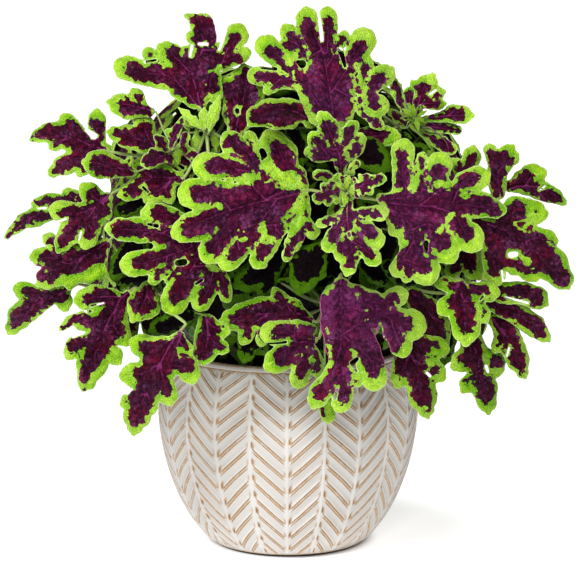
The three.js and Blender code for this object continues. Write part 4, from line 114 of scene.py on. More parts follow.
    {"n": "upL3", "s": "T2", "k": "minor", "m": [[-132, 176], [-146, 180], [-164, 184], [-181, 186]], "c": [[[-138, 176, 5], [-148, 179, 9], [-160, 181, 13], [-170, 184, 12]], [[-148, 186, 6], [-152, 193, 8]]], "x": [], "w": [-114.44, -17.39, 12.42, -29.04, 17.46], "a": [-83, -85.7, 316.9]},
    {"n": "upL4", "s": "T2", "k": "leaf", "m": [[-124, 136], [-140, 146], [-160, 151], [-182, 156]], "c": [[[-130, 139, 5], [-144, 148, 13], [-162, 152, 12], [-174, 155, 8]], [[-142, 156, 10], [-145, 165, 11]]], "x": [], "w": [-128.69, -17.88, 15.23, -28.11, 21.42], "a": [-85.1, -99.7, 317.7]},
    {"n": "midUL", "s": "T4", "k": "leaf", "m": [[-104, 110], [-122, 110], [-140, 108], [-170, 92]], "c": [[[-110, 110, 7], [-126, 109, 15], [-140, 107, 14], [-154, 98, 10], [-162, 95, 9.6]], [[-138, 116, 9], [-150, 120, 10]], [[-128, 98, 12], [-136, 92, 11]], [[-122, 98, 10], [-120, 92, 9]]], "x": [[[-145, 101, 1.2], [-140, 96, 1.4]]], "w": [-139.03, -9.6, 16.99, -33.52, 23.89], "a": [-58.8, -108.4, 335.6]},
    {"n": "midUL2", "s": "T4", "k": "leaf", "m": [[-76, 150], [-88, 138], [-98, 122], [-122, 112]], "c": [[[-80, 145, 6], [-90, 138, 10], [-99, 126, 10], [-104, 115, 10], [-116, 115, 9.6]], [[-86, 144, 8], [-76, 140, 9]], [[-98, 144, 5], [-106, 136, 5]]], "x": [[[-112, 125, 1], [-105, 120, 1.8]]], "w": [-123.17, -19.45, 14.82, -25.08, 20.84], "a": [-57.2, -91.4, 334]},
    {"n": "farL3", "s": "T2", "k": "leaf", "m": [[-176, 136], [-196, 142], [-222, 152], [-259, 148]], "c": [[[-184, 138, 8], [-204, 145, 14], [-224, 154, 14.6], [-240, 155, 10], [-250, 152, 7], [-256, 149, 4]], [[-190, 148, 8], [-191, 164, 9.4], [-191, 170, 9.4]], [[-212, 158, 8], [-221, 167, 9]], [[-224, 148, 6], [-234, 142, 6]], [[-196, 134, 9], [-212, 128, 12], [-226, 122, 10], [-235, 116, 6]], [[-200, 120, 6], [-208, 115, 5]]], "x": [[[-202, 158, 1.4], [-194, 152, 3.4]]], "w": [-119.66, 18.22, 20.82, -15.43, 29.28], "a": [-84.4, -95.1, 317.3]},
    {"n": "rightU", "s": "T5", "k": "leaf", "m": [[212, 92], [210, 112], [214, 130], [222, 145]], "c": [[[210, 96, 8], [209, 112, 10], [212, 127, 12.6], [220, 136, 9.6]], [[214, 122, 8], [225, 130, 7.4]], [[206, 126, 6], [202, 138, 7.4]]], "x": [], "w": [-107.29, -23.02, 13.39, -18.5, 18.83], "a": [156.1, -85, 283.9]},
    {"n": "rightU2", "s": "T5", "k": "leaf", "m": [[216, 98], [236, 102], [258, 98], [280, 82]], "c": [[[222, 102, 6], [238, 104, 11], [255, 97, 10], [267, 92, 8], [275, 86, 4.6]], [[234, 108, 10], [245, 112, 14.4]]], "x": [[[257, 102, 0.7], [252, 98, 0.7]]], "w": [-104, -9.6, 16.38, -6.24, 23.04], "a": [155.1, -80.2, 283.1]},
    {"n": "rightU3", "s": "T5", "k": "minor", "m": [[180, 92], [180, 108], [184, 142]], "c": [[[180, 100, 7], [181, 116, 8], [184, 133, 10.6]], [[176, 112, 7], [168, 124, 7.4]]], "x": [], "w": [-120.63, -14.35, 12.46, -24.53, 17.52], "a": [157.5, -89.7, 285.2]},
    {"n": "rightM1", "s": "T8", "k": "leaf", "m": [[186, 2], [212, -4], [236, -4], [260, -17]], "c": [[[196, 0, 7], [216, -5, 11], [234, -5, 11.6], [249, -10, 11.6], [255, -14, 6.4]]], "x": [[[217, -9, 0.7], [240, -15, 1.1]]], "w": [-109.65, -19.68, 18.97, 4.58, 26.68], "a": [125.8, -104.9, 213.3]},
    {"n": "rightM2", "s": "T8", "k": "leaf", "m": [[186, -8], [212, -18], [236, -30], [264, -56]], "c": [[[196, -12, 6], [212, -18, 10], [230, -26, 11], [246, -38, 11.6], [257, -49, 7]], [[224, -26, 7], [229, -31, 7]]], "x": [], "w": [-108.45, -12.08, 22.74, 7.28, 31.98], "a": [124.4, -100.4, 211.5]},
    {"n": "rightL1", "s": "T8", "k": "leaf", "m": [[198, -24], [214, -40], [224, -60], [236, -93]], "c": [[[204, -30, 6], [217, -40, 13], [223, -55, 13], [230, -72, 11.6], [235, -85, 7]], [[216, -50, 9], [210, -58, 8]]], "x": [[[219, -68, 0.8], [221, -60, 1]]], "w": [-107.58, -18.03, 19.56, 23.94, 27.51], "a": [124.4, -100.4, 211.5]},
    {"n": "lowR2", "s": "T8", "k": "leaf", "m": [[178, -32], [186, -56], [192, -82], [199, -128]], "c": [[[182, -46, 10], [186, -64, 14], [192, -82, 12], [197, -102, 13], [199, -116, 11]], [[182, -68, 12], [173, -74, 12]], [[188, -88, 9], [180, -97, 10]], [[198, -68, 8], [207, -74, 10.6], [208, -80, 9.6]], [[202, -98, 7], [205, -104, 5]]], "x": [[[198, -78, 1.5], [200, -84, 1.2]]], "w": [-116.19, -29.3, 24.4, 59.85, 34.32], "a": [125.8, -104.9, 213.3]},
    {"n": "lowR1", "s": "T8", "k": "leaf", "m": [[116, -46], [124, -68], [130, -90], [138, -130]], "c": [[[120, -58, 11], [126, -74, 17], [132, -92, 15], [135, -109, 14.6], [138, -122, 9.6]], [[116, -76, 12], [112, -90, 11]], [[136, -74, 12], [148, -85, 11.6]], [[132, -58, 12], [150, -60, 12]]], "x": [[[139, -85, 1.4], [142, -88, 1.4]]], "w": [-144.92, -11.79, 21.56, 10.15, 30.32], "a": [128.5, -118.9, 218.3]},
    {"n": "lowL3", "s": "T6", "k": "minor", "m": [[-82, -28], [-80, -46], [-82, -60], [-85, -78]], "c": [[[-82, -34, 9], [-80, -48, 14], [-83, -63, 12.6], [-84, -71, 8]], [[-74, -54, 6], [-65, -60, 7.4]], [[-76, -38, 8], [-66, -42, 9]]], "x": [], "w": [-143.65, -16.33, 12.44, -22.13, 17.49], "a": [-96.4, -123.9, 218.7]},
    {"n": "midC", "s": "T9", "k": "leaf", "m": [[28, -34], [4, -24], [-26, -26], [-69, -33]], "c": [[[20, -32, 6], [2, -23, 14], [-26, -26, 18], [-46, -30, 15], [-58, -32, 12]], [[-38, -38, 8], [-43, -49, 8.6]], [[-24, -40, 6], [-26, -52, 7]], [[-6, -12, 8], [-12, -4, 6]]], "x": [], "w": [-147.41, -21.87, 24.09, 9.7, 33.87], "a": [26.8, -134.1, 209.4]},
    {"n": "lowTip", "s": "T9", "k": "minor", "m": [[38, -100], [39, -116], [40, -138]], "c": [[[38, -106, 5], [38, -118, 8], [40, -128, 8.6]]], "x": [], "w": [-140.34, -25.25, 9.45, 1.48, 13.29], "a": [26, -120.4, 204.8]},
    {"n": "inR1", "s": "T1", "k": "minor", "m": [[64, 142], [78, 134], [106, 122]], "c": [[[68, 140, 9], [80, 134, 16], [92, 126, 15]], [[82, 142, 10], [90, 138, 8]]], "x": [], "w": [-146.87, -15.16, 11.55, 21.54, 16.24], "a": [41.6, -122.5, 291.4]},
    {"n": "upM", "s": "T4", "k": "leaf", "m": [[-54, 148], [-50, 170], [-44, 192], [-40, 222]], "c": [[[-52, 158, 9], [-48, 176, 18], [-44, 193, 20], [-42, 208, 15], [-44, 218, 8]], [[-56, 192, 10], [-62, 204, 9]]], "x": [[[-51, 178, 2], [-50, 176, 2]]], "w": [-141.14, 5.87, 18.7, 7.94, 26.3], "a": [-58.8, -108.4, 335.6]},
    {"n": "inR2", "s": "T3", "k": "minor", "m": [[64, 150], [88, 152], [112, 156]], "c": [[[70, 150, 8], [88, 152, 13], [102, 152, 11]]], "x": [], "w": [-130.16, -15.77, 12.01, 22.07, 16.89], "a": [91.6, -73.9, 339.6]},
    {"n": "inC1", "s": "T1", "k": "minor", "m": [[34, 40], [24, 26], [12, -6]], "c": [[[30, 36, 10], [20, 24, 19], [15, 8, 16]], [[24, 16, 8], [32, 14, 7]]], "x": [], "w": [-163.24, -34.42, 12.66, -16.03, 17.81], "a": [42.4, -135.6, 293.7]},
    {"n": "inC2", "s": "T9", "k": "minor", "m": [[-2, 40], [-22, 20], [-56, 2]], "c": [[[-8, 34, 10], [-24, 18, 17], [-42, 8, 15]], [[-18, 8, 8], [-24, -4, 8]]], "x": [], "w": [-143.89, -21.52, 16.4, 0.03, 23.06], "a": [27.1, -138.7, 211]},
    {"n": "inC3", "s": "T9", "k": "minor", "m": [[-4, 38], [-6, 24], [-12, 2]], "c": [[[-4, 34, 8], [-8, 20, 10], [-11, 8, 9]]], "x": [], "w": [-140.36, -12.02, 9.16, 8.47, 12.88], "a": [26.8, -134.1, 209.4]},
    {"n": "inL1", "s": "T6", "k": "minor", "m": [[-92, -24], [-112, -34], [-140, -42]], "c": [[[-98, -28, 6], [-114, -34, 11], [-130, -40, 11]]], "x": [], "w": [-138.8, -19.17, 12.73, 17.52, 17.9], "a": [-95.6, -119.4, 217.1]},
    {"n": "inL2", "s": "T2", "k": "minor", "m": [[-142, 42], [-158, 42], [-176, 20]], "c": [[[-144, 42, 6], [-158, 38, 10], [-168, 24, 10], [-172, 14, 8]]], "x": [], "w": [-129.19, -13.2, 10.06, -4.11, 14.14], "a": [-85.1, -99.7, 317.7]},
    {"n": "inL3", "s": "T6", "k": "minor", "m": [[-128, 6], [-148, 12], [-176, 4]], "c": [[[-136, 4, 7], [-152, 10, 9], [-168, 8, 7]]], "x": [], "w": [-126.34, -12.31, 11.93, 2.1, 16.78], "a": [-94.5, -114.9, 215.3]},
    {"n": "inL4", "s": "T2", "k": "minor", "m": [[-138, 88], [-154, 82], [-172, 72]], "c": [[[-140, 88, 7], [-156, 82, 9], [-168, 76, 8]]], "x": [], "w": [-130.37, -12.25, 9.33, -12.04, 13.12], "a": [-85.9, -104.4, 318.8]},
    {"n": "inR3", "s": "T8", "k": "leaf", "m": [[120, 0], [138, -20], [160, -64]], "c": [[[124, -6, 8], [138, -24, 16], [148, -46, 15], [154, -62, 9]], [[144, -34, 10], [156, -34, 8]]], "x": [], "w": [-141.99, -3.77, 18.74, 7.08, 26.35], "a": [129.4, -123.5, 220]},
    {"n": "inR4", "s": "T8", "k": "minor", "m": [[158, 50], [176, 36], [190, 6]], "c": [[[164, 44, 8], [178, 32, 15], [186, 18, 12]], [[170, 26, 8], [164, 16, 9]]], "x": [], "w": [-106.18, -14.1, 13.51, 9.71, 19], "a": [124.4, -100.4, 211.5]},
    {"n": "inR5", "s": "T8", "k": "minor", "m": [[96, 26], [116, 10], [142, 6]], "c": [[[100, 22, 7], [114, 12, 12], [130, 6, 9]]], "x": [], "w": [-136.26, -16.35, 12.46, -16.17, 17.52], "a": [128.5, -118.9, 218.3]},
    {"n": "inR6", "s": "T9", "k": "minor", "m": [[72, 26], [88, 16], [104, 4]], "c": [[[76, 24, 7], [88, 16, 12], [98, 8, 9]]], "x": [], "w": [-126.24, -12.66, 9.64, 3.43, 13.56], "a": [26.3, -125, 206.4]},
    {"n": "inR7", "s": "T8", "k": "minor", "m": [[152, -24], [158, -52], [156, -80]], "c": [[[154, -32, 7], [158, -50, 11], [156, -68, 10]]], "x": [], "w": [-122.7, -11.4, 13.94, 11.26, 19.61], "a": [125.8, -104.9, 213.3]},
    {"n": "inB1", "s": "T9", "k": "minor", "m": [[-26, -30], [-38, -52], [-46, -74]], "c": [[[-30, -36, 9], [-38, -52, 14], [-42, -66, 10]]], "x": [], "w": [-138.01, -15.75, 12, -4.88, 16.88], "a": [26.3, -125, 206.4]},
    {"n": "inB2", "s": "T9", "k": "minor", "m": [[2, -30], [-16, -56], [-12, -74]], "c": [[[-4, -38, 10], [-12, -54, 14], [-14, -66, 12]]], "x": [], "w": [-141.77, -15.05, 11.47, -14.58, 16.12], "a": [26.6, -129.6, 207.9]},
    {"n": "inR8", "s": "T1", "k": "minor", "m": [[106, 56], [98, 40], [100, 18]], "c": [[[104, 52, 7], [98, 38, 12], [100, 26, 9]]], "x": [], "w": [-121.06, -12.54, 9.55, -4.42, 13.43], "a": [37.6, -93.7, 275.7]},
    {"n": "inT1", "s": "T7", "k": "minor", "m": [[4, 160], [12, 146], [10, 126]], "c": [[[4, 158, 7], [10, 144, 12], [12, 130, 10]]], "x": [], "w": [-142.77, -17.28, 8.57, 1.2, 12.06], "a": [24.1, -109.9, 340.4]},
    {"n": "inT2", "s": "T7", "k": "minor", "m": [[12, 120], [18, 108], [12, 92]], "c": [[[14, 120, 8], [18, 108, 11], [14, 98, 8]]], "x": [], "w": [-147.8, -18.9, 6.95, 0.38, 9.78], "a": [24.3, -118.3, 341]},
    {"n": "inL5", "s": "T6", "k": "minor", "m": [[-106, 2], [-98, -18], [-110, -38]], "c": [[[-104, -4, 10], [-100, -20, 16], [-106, -32, 12]]], "x": [], "w": [-134.37, -13.1, 9.98, 6.87, 14.04], "a": [-95.6, -119.4, 217.1]},
    {"n": "inR9", "s": "T3", "k": "minor", "m": [[142, 160], [158, 146], [164, 122]], "c": [[[116, 148, 8], [108, 128, 10], [132, 138, 9]]], "x": [], "w": [-132.24, -29.64, 10.9, 12.18, 15.33], "a": [91.6, -73.9, 339.6]},
]

FAR = [
    {"n": "B1_0", "s": "B1", "shape": "bigL", "O": [-0.35, 139.06, 313.33], "e1": [-0.0349, -0.7651, 0.643], "e2": [0.9994, -0.0267, 0.0225], "e3": [0, 0.6433, 0.7656], "sc": 0.9272, "w": [0, -18.72, 41.6, 0, 43.68], "a": [0, 145.4, 304.4]},
    {"n": "B1_1", "s": "B1", "shape": "frontC", "O": [-4.45, 153.17, 295.59], "e1": [-0.342, 0.7194, -0.6045], "e2": [0.9397, 0.2618, -0.22], "e3": [0, 0.6433, 0.7656], "sc": 1.2881, "w": [0, -12.6, 29.4, 0, 29.4], "a": [0, 142.5, 300.9]},
    {"n": "B1_2", "s": "B1", "shape": "rightC", "O": [-15.76, 143.05, 298.22], "e1": [-0.9848, 0.1329, -0.1117], "e2": [-0.1736, -0.7539, 0.6336], "e3": [0, 0.6433, 0.7656], "sc": 0.9585, "w": [0, -18, 42, 0, 42], "a": [0, 139.6, 297.5]},
    {"n": "B1_3", "s": "B1", "shape": "midL", "O": [18.93, 136.76, 297.63], "e1": [0.9962, -0.0667, 0.0561], "e2": [-0.0872, -0.7627, 0.6409], "e3": [0, 0.6433, 0.7656], "sc": 1.1155, "w": [0, -18, 42, 0, 42], "a": [0, 136.7, 294]},
    {"n": "B1_4", "s": "B1", "shape": "rosU", "O": [14.14, 148.04, 282.27], "e1": [0.6428, 0.5865, -0.4928], "e2": [-0.766, 0.4921, -0.4135], "e3": [0, 0.6433, 0.7656], "sc": 1.0932, "w": [0, -11.16, 26.04, 0, 26.04], "a": [0, 133.8, 290.6], "d": 0.4},
    {"n": "B1_5", "s": "B1", "shape": "lowL2", "O": [-17.68, 118.7, 301.04], "e1": [-0.7071, -0.5413, 0.4549], "e2": [-0.7071, 0.5413, -0.4549], "e3": [0, 0.6433, 0.7656], "sc": 0.9827, "w": [0, -15.84, 36.96, 0, 36.96], "a": [0, 131, 287.1]},
    {"n": "B2_0", "s": "B2", "shape": "rightC", "O": [94.24, 146.35, 244.83], "e1": [-0.4793, 0.733, -0.4827], "e2": [-0.5014, 0.2227, 0.8361], "e3": [0.7203, 0.6428, 0.2607], "sc": 0.9968, "w": [0, -18.72, 41.6, 0, 43.68], "a": [97.6, 137.7, 248.1]},
    {"n": "B2_1", "s": "B2", "shape": "lowL1", "O": [99.79, 136.67, 236.12], "e1": [0.3072, 0.0414, -0.9507], "e2": [0.6219, -0.765, 0.1676], "e3": [0.7203, 0.6428, 0.2607], "sc": 1.0549, "w": [0, -18, 42, 0, 42], "a": [94.4, 134.8, 247]},
    {"n": "B2_2", "s": "B2", "shape": "topC", "O": [84.53, 136.8, 260.68], "e1": [-0.5014, 0.2227, 0.8361], "e2": [0.4793, -0.733, 0.4827], "e3": [0.7203, 0.6428, 0.2607], "sc": 1.0908, "w": [0, -16.56, 38.64, 0, 38.64], "a": [91.1, 132, 245.8]},
    {"n": "B2_3", "s": "B2", "shape": "rosU", "O": [102.46, 118.15, 239.86], "e1": [0.6922, -0.6418, -0.3302], "e2": [0.0449, -0.4183, 0.9072], "e3": [0.7203, 0.6428, 0.2607], "sc": 1.1285, "w": [0, -11.52, 26.88, 0, 26.88], "a": [87.9, 129.1, 244.6]},
    {"n": "B2_4", "s": "B2", "shape": "frontC", "O": [70.9, 142.96, 248.65], "e1": [-0.6894, 0.7047, 0.1676], "e2": [-0.076, -0.3005, 0.9507], "e3": [0.7203, 0.6428, 0.2607], "sc": 1.2145, "w": [0, -11.88, 27.72, 0, 27.72], "a": [84.6, 126.2, 243.4]},
    {"n": "B2_5", "s": "B2", "shape": "upL1", "O": [92.45, 107.48, 259.3], "e1": [0.385, -0.6832, 0.6206], "e2": [-0.577, 0.3466, 0.7396], "e3": [0.7203, 0.6428, 0.2607], "sc": 1.2075, "w": [0, -16.56, 38.64, 0, 38.64], "a": [81.4, 123.3, 242.3], "d": 0.4},
    {"n": "B3_0", "s": "B3", "shape": "bigL", "O": [-92.78, 145.62, 250.86], "e1": [0.5486, 0.7699, -0.3261], "e2": [-0.4395, -0.0663, -0.8958], "e3": [-0.7113, 0.6347, 0.302], "sc": 0.9272, "w": [0, -18.72, 41.6, 0, 43.68], "a": [-96.8, 136.7, 252.5]},
    {"n": "B3_1", "s": "B3", "shape": "lowL2", "O": [-99.45, 135.96, 240.55], "e1": [-0.3375, 0.0684, -0.9388], "e2": [0.6165, 0.7697, -0.1655], "e3": [-0.7113, 0.6347, 0.302], "sc": 1.1167, "w": [0, -18, 42, 0, 42], "a": [-93.6, 133.8, 251.2]},
    {"n": "B3_2", "s": "B3", "shape": "upL1", "O": [-84.83, 133.27, 265.73], "e1": [0.4395, 0.0663, 0.8958], "e2": [0.5486, 0.7699, -0.3261], "e3": [-0.7113, 0.6347, 0.302], "sc": 1.26, "w": [0, -17.28, 40.32, 0, 40.32], "a": [-90.4, 130.9, 249.8]},
    {"n": "B3_3", "s": "B3", "shape": "frontC", "O": [-101.76, 118.99, 240.99], "e1": [-0.6892, -0.5457, -0.4767], "e2": [0.1377, 0.5472, -0.8256], "e3": [-0.7113, 0.6347, 0.302], "sc": 1.2513, "w": [0, -12.24, 28.56, 0, 28.56], "a": [-87.2, 128.1, 248.4]},
    {"n": "B3_4", "s": "B3", "shape": "rosU", "O": [-85.11, 136.27, 228.97], "e1": [0.016, 0.4441, -0.8958], "e2": [-0.7027, -0.6324, -0.3261], "e3": [-0.7113, 0.6347, 0.302], "sc": 1.058, "w": [0, -10.8, 25.2, 0, 25.2], "a": [-84, 125.2, 247.1]},
    {"n": "B3_5", "s": "B3", "shape": "topC", "O": [-95.97, 104.4, 255.47], "e1": [-0.5486, -0.7699, 0.3261], "e2": [-0.4395, -0.0663, -0.8958], "e3": [-0.7113, 0.6347, 0.302], "sc": 1.0671, "w": [0, -16.2, 37.8, 0, 37.8], "a": [-80.8, 122.4, 245.7], "d": 0.4},
    {"n": "B4_0", "s": "B4", "shape": "lowL1", "O": [141.71, 8.79, 247.74], "e1": [0.2927, 0.2671, -0.9181], "e2": [-0.1075, 0.9633, 0.246], "e3": [0.9502, 0.0267, 0.3106], "sc": 1.0127, "w": [0, -17.28, 38.4, 0, 40.32], "a": [136.9, 6.1, 255.3]},
    {"n": "B4_1", "s": "B4", "shape": "topC", "O": [130.47, 8.15, 267.69], "e1": [-0.3107, 0.165, 0.9361], "e2": [0.0263, 0.9859, -0.1651], "e3": [0.9502, 0.0267, 0.3106], "sc": 1.0908, "w": [0, -16.56, 38.64, 0, 38.64], "a": [132.6, 5.9, 253.9]},
    {"n": "B4_2", "s": "B4", "shape": "midL", "O": [131.54, -9.85, 251.48], "e1": [0.0815, -0.9829, -0.1651], "e2": [0.3009, 0.1822, -0.9361], "e3": [0.9502, 0.0267, 0.3106], "sc": 1.0932, "w": [0, -17.64, 41.16, 0, 41.16], "a": [128.3, 5.8, 252.5]},
    {"n": "B4_3", "s": "B4", "shape": "frontC", "O": [126.46, 24.49, 249.59], "e1": [0.0263, 0.9859, -0.1651], "e2": [0.3107, -0.165, -0.9361], "e3": [0.9502, 0.0267, 0.3106], "sc": 1.2881, "w": [0, -12.6, 29.4, 0, 29.4], "a": [124.1, 5.7, 251.1]},
    {"n": "B4_4", "s": "B4", "shape": "rosU", "O": [116.85, -8.64, 267.35], "e1": [-0.2198, -0.6492, 0.7282], "e2": [0.2211, -0.7601, -0.611], "e3": [0.9502, 0.0267, 0.3106], "sc": 1.058, "w": [0, -10.8, 25.2, 0, 25.2], "a": [119.8, 5.6, 249.7], "d": 0.4},
    {"n": "B5_0", "s": "B5", "shape": "lowL2", "O": [-140.61, 8.74, 252.05], "e1": [-0.328, 0.2681, -0.9058], "e2": [-0.1169, -0.963, -0.2427], "e3": [-0.9374, 0.0263, 0.3472], "sc": 1.0721, "w": [0, -17.28, 38.4, 0, 40.32], "a": [-135.5, 6, 259.4]},
    {"n": "B5_1", "s": "B5", "shape": "bigL", "O": [-128.84, 2.45, 271.32], "e1": [0.328, -0.2681, 0.9058], "e2": [-0.1169, -0.963, -0.2427], "e3": [-0.9374, 0.0263, 0.3472], "sc": 0.8737, "w": [0, -17.64, 41.16, 0, 41.16], "a": [-131.2, 5.9, 257.8]},
    {"n": "B5_2", "s": "B5", "shape": "rightC", "O": [-129.82, -10.1, 256.67], "e1": [-0.0582, -0.995, -0.0817], "e2": [0.3433, -0.0968, 0.9342], "e3": [-0.9374, 0.0263, 0.3472], "sc": 0.9201, "w": [0, -17.28, 40.32, 0, 40.32], "a": [-127, 5.8, 256.3]},
    {"n": "B5_3", "s": "B5", "shape": "rosU", "O": [-127.51, 22.24, 247.51], "e1": [-0.1493, 0.8706, -0.4689], "e2": [0.3146, 0.4914, 0.8121], "e3": [-0.9374, 0.0263, 0.3472], "sc": 1.1285, "w": [0, -11.52, 26.88, 0, 26.88], "a": [-122.8, 5.6, 254.7]},
    {"n": "B5_4", "s": "B5", "shape": "frontC", "O": [-116.1, 24.52, 265.17], "e1": [0.1978, 0.8608, 0.4689], "e2": [-0.2866, 0.5082, -0.8121], "e3": [-0.9374, 0.0263, 0.3472], "sc": 1.2145, "w": [0, -11.88, 27.72, 0, 27.72], "a": [-118.6, 5.5, 253.2], "d": 0.4},
    {"n": "B6_0", "s": "B6", "shape": "shelfC", "O": [0, 188.07, 198.91], "e1": [0, -0.1474, -0.9891], "e2": [-1, 0, 0], "e3": [0, 0.9891, -0.1474], "sc": 1.1018, "w": [0, -15.12, 33.6, 0, 35.28], "a": [0, 187.6, 208.1]},
    {"n": "B6_1", "s": "B6", "shape": "midL", "O": [-12.56, 184.6, 206.13], "e1": [-0.9659, -0.0382, -0.256], "e2": [0.2588, -0.1424, -0.9554], "e3": [0, 0.9891, -0.1474], "sc": 1.0709, "w": [0, -17.28, 40.32, 0, 40.32], "a": [0, 183.1, 208.8]},
    {"n": "B6_2", "s": "B6", "shape": "rightC", "O": [15.65, 180.16, 206.83], "e1": [0.9781, -0.0307, -0.2056], "e2": [-0.2079, -0.1442, -0.9675], "e3": [0, 0.9891, -0.1474], "sc": 0.9393, "w": [0, -17.64, 41.16, 0, 41.16], "a": [0, 178.7, 209.4]},
    {"n": "B6_3", "s": "B6", "shape": "lowL1", "O": [-12.21, 174.05, 196.39], "e1": [-0.6428, -0.1129, -0.7577], "e2": [0.766, -0.0948, -0.6358], "e3": [0, 0.9891, -0.1474], "sc": 0.9494, "w": [0, -16.2, 37.8, 0, 37.8], "a": [0, 174.2, 210.1]},
    {"n": "B6_4", "s": "B6", "shape": "lowL2", "O": [13.54, 169.19, 194.3], "e1": [0.6157, -0.1162, -0.7794], "e2": [-0.788, -0.0908, -0.6089], "e3": [0, 0.9891, -0.1474], "sc": 1.0274, "w": [0, -16.56, 38.64, 0, 38.64], "a": [0, 169.8, 210.7], "d": 0.4},
    {"n": "B7_0", "s": "B7", "shape": "lowL2", "O": [113.41, 112.82, 181.06], "e1": [-0.2473, -0.1553, -0.9564], "e2": [-0.5316, 0.847, 0], "e3": [0.81, 0.5085, -0.292], "sc": 1.0944, "w": [0, -17.64, 39.2, 0, 41.16], "a": [114.3, 113.4, 190.2]},
    {"n": "B7_1", "s": "B7", "shape": "frontC", "O": [104.88, 119.22, 183.94], "e1": [-0.5662, 0.549, -0.6148], "e2": [0.1523, -0.6634, -0.7327], "e3": [0.81, 0.5085, -0.292], "sc": 1.2881, "w": [0, -12.6, 29.4, 0, 29.4], "a": [110.6, 111.1, 191.5]},
    {"n": "B7_2", "s": "B7", "shape": "bigL", "O": [115.24, 96.21, 188.02], "e1": [0.415, -0.849, -0.3271], "e2": [-0.4143, 0.1438, -0.8987], "e3": [0.81, 0.5085, -0.292], "sc": 0.8202, "w": [0, -16.56, 38.64, 0, 38.64], "a": [107, 108.8, 192.8]},
    {"n": "B8_0", "s": "B8", "shape": "lowL1", "O": [-113.41, 112.82, 181.06], "e1": [0.2473, -0.1553, -0.9564], "e2": [-0.5316, -0.847, 0], "e3": [-0.81, 0.5085, -0.292], "sc": 1.0338, "w": [0, -17.64, 39.2, 0, 41.16], "a": [-114.3, 113.4, 190.2]},
    {"n": "B8_1", "s": "B8", "shape": "frontC", "O": [-104.88, 119.22, 183.94], "e1": [0.5662, 0.549, -0.6148], "e2": [0.1523, 0.6634, 0.7327], "e3": [-0.81, 0.5085, -0.292], "sc": 1.2881, "w": [0, -12.6, 29.4, 0, 29.4], "a": [-110.6, 111.1, 191.5]},
    {"n": "B8_2", "s": "B8", "shape": "midL", "O": [-115.24, 96.21, 188.02], "e1": [-0.415, -0.849, -0.3271], "e2": [-0.4143, -0.1438, 0.8987], "e3": [-0.81, 0.5085, -0.292], "sc": 1.0262, "w": [0, -16.56, 38.64, 0, 38.64], "a": [-107, 108.8, 192.8]},
    {"n": "B9_0", "s": "B9", "shape": "bigL", "O": [0, 72.72, 323.5], "e1": [0, -0.9262, 0.3771], "e2": [1, 0, 0], "e3": [0, 0.3771, 0.9262], "sc": 0.8202, "w": [0, -16.56, 36.8, 0, 38.64], "a": [0, 81.2, 316.9]},
    {"n": "B9_1", "s": "B9", "shape": "rightC", "O": [-13, 80.28, 315.56], "e1": [-1, 0, 0], "e2": [0, 0.9262, -0.3771], "e3": [0, 0.3771, 0.9262], "sc": 0.8818, "w": [0, -16.56, 38.64, 0, 38.64], "a": [0, 79.5, 312.7]},
    {"n": "B9_2", "s": "B9", "shape": "midL", "O": [0, 93.4, 305.36], "e1": [0, 0.9262, -0.3771], "e2": [-1, 0, 0], "e3": [0, 0.3771, 0.9262], "sc": 0.9816, "w": [0, -15.84, 36.96, 0, 36.96], "a": [0, 77.8, 308.5]},
    {"n": "B9_3", "s": "B9", "shape": "lowL2", "O": [19, 76.89, 307.22], "e1": [1, 0, 0], "e2": [0, -0.9262, 0.3771], "e3": [0, 0.3771, 0.9262], "sc": 0.9827, "w": [0, -15.84, 36.96, 0, 36.96], "a": [0, 76.1, 304.4], "d": 0.4},
    {"n": "B9_4", "s": "B9", "shape": "frontC", "O": [-14.14, 90.8, 296.7], "e1": [-0.6428, 0.7095, -0.2888], "e2": [-0.766, -0.5953, 0.2424], "e3": [0, 0.3771, 0.9262], "sc": 1.1041, "w": [0, -10.8, 25.2, 0, 25.2], "a": [0, 74.4, 300.2], "d": 0.4},
    {"n": "B10_0", "s": "B10", "shape": "topC", "O": [67.02, -22.1, 306.02], "e1": [-0.1554, 0.9477, 0.2787], "e2": [0.8305, 0.2781, -0.4827], "e3": [0.535, -0.1564, 0.8303], "sc": 0.996, "w": [0, -15.12, 33.6, 0, 35.28], "a": [67.5, -31.3, 300.6]},
    {"n": "B10_1", "s": "B10", "shape": "rightC", "O": [76.45, -25.18, 293.95], "e1": [0.7909, 0.4384, -0.427], "e2": [-0.2972, 0.885, 0.3583], "e3": [0.535, -0.1564, 0.8303], "sc": 0.8243, "w": [0, -15.48, 36.12, 0, 36.12], "a": [65.1, -30.6, 296.8]},
    {"n": "B10_2", "s": "B10", "shape": "frontC", "O": [72.56, -41.08, 288.04], "e1": [0.5498, -0.6817, -0.4827], "e2": [-0.6415, -0.7147, 0.2787], "e3": [0.535, -0.1564, 0.8303], "sc": 1.1041, "w": [0, -10.8, 25.2, 0, 25.2], "a": [62.7, -29.9, 293.1]},
    {"n": "B10_3", "s": "B10", "shape": "lowL1", "O": [58.73, -48.2, 290.19], "e1": [-0.138, -0.9857, -0.0968], "e2": [0.8335, -0.0628, -0.5489], "e3": [0.535, -0.1564, 0.8303], "sc": 0.8861, "w": [0, -15.12, 35.28, 0, 35.28], "a": [60.3, -29.2, 289.4], "d": 0.4},
    {"n": "B11_0", "s": "B11", "shape": "bigL", "O": [-68.49, -21.77, 305.14], "e1": [0.0088, 0.9816, 0.1906], "e2": [0.8448, -0.1093, 0.5238], "e3": [-0.535, -0.1564, 0.8303], "sc": 0.7489, "w": [0, -15.12, 33.6, 0, 35.28], "a": [-67.5, -31.3, 300.6]},
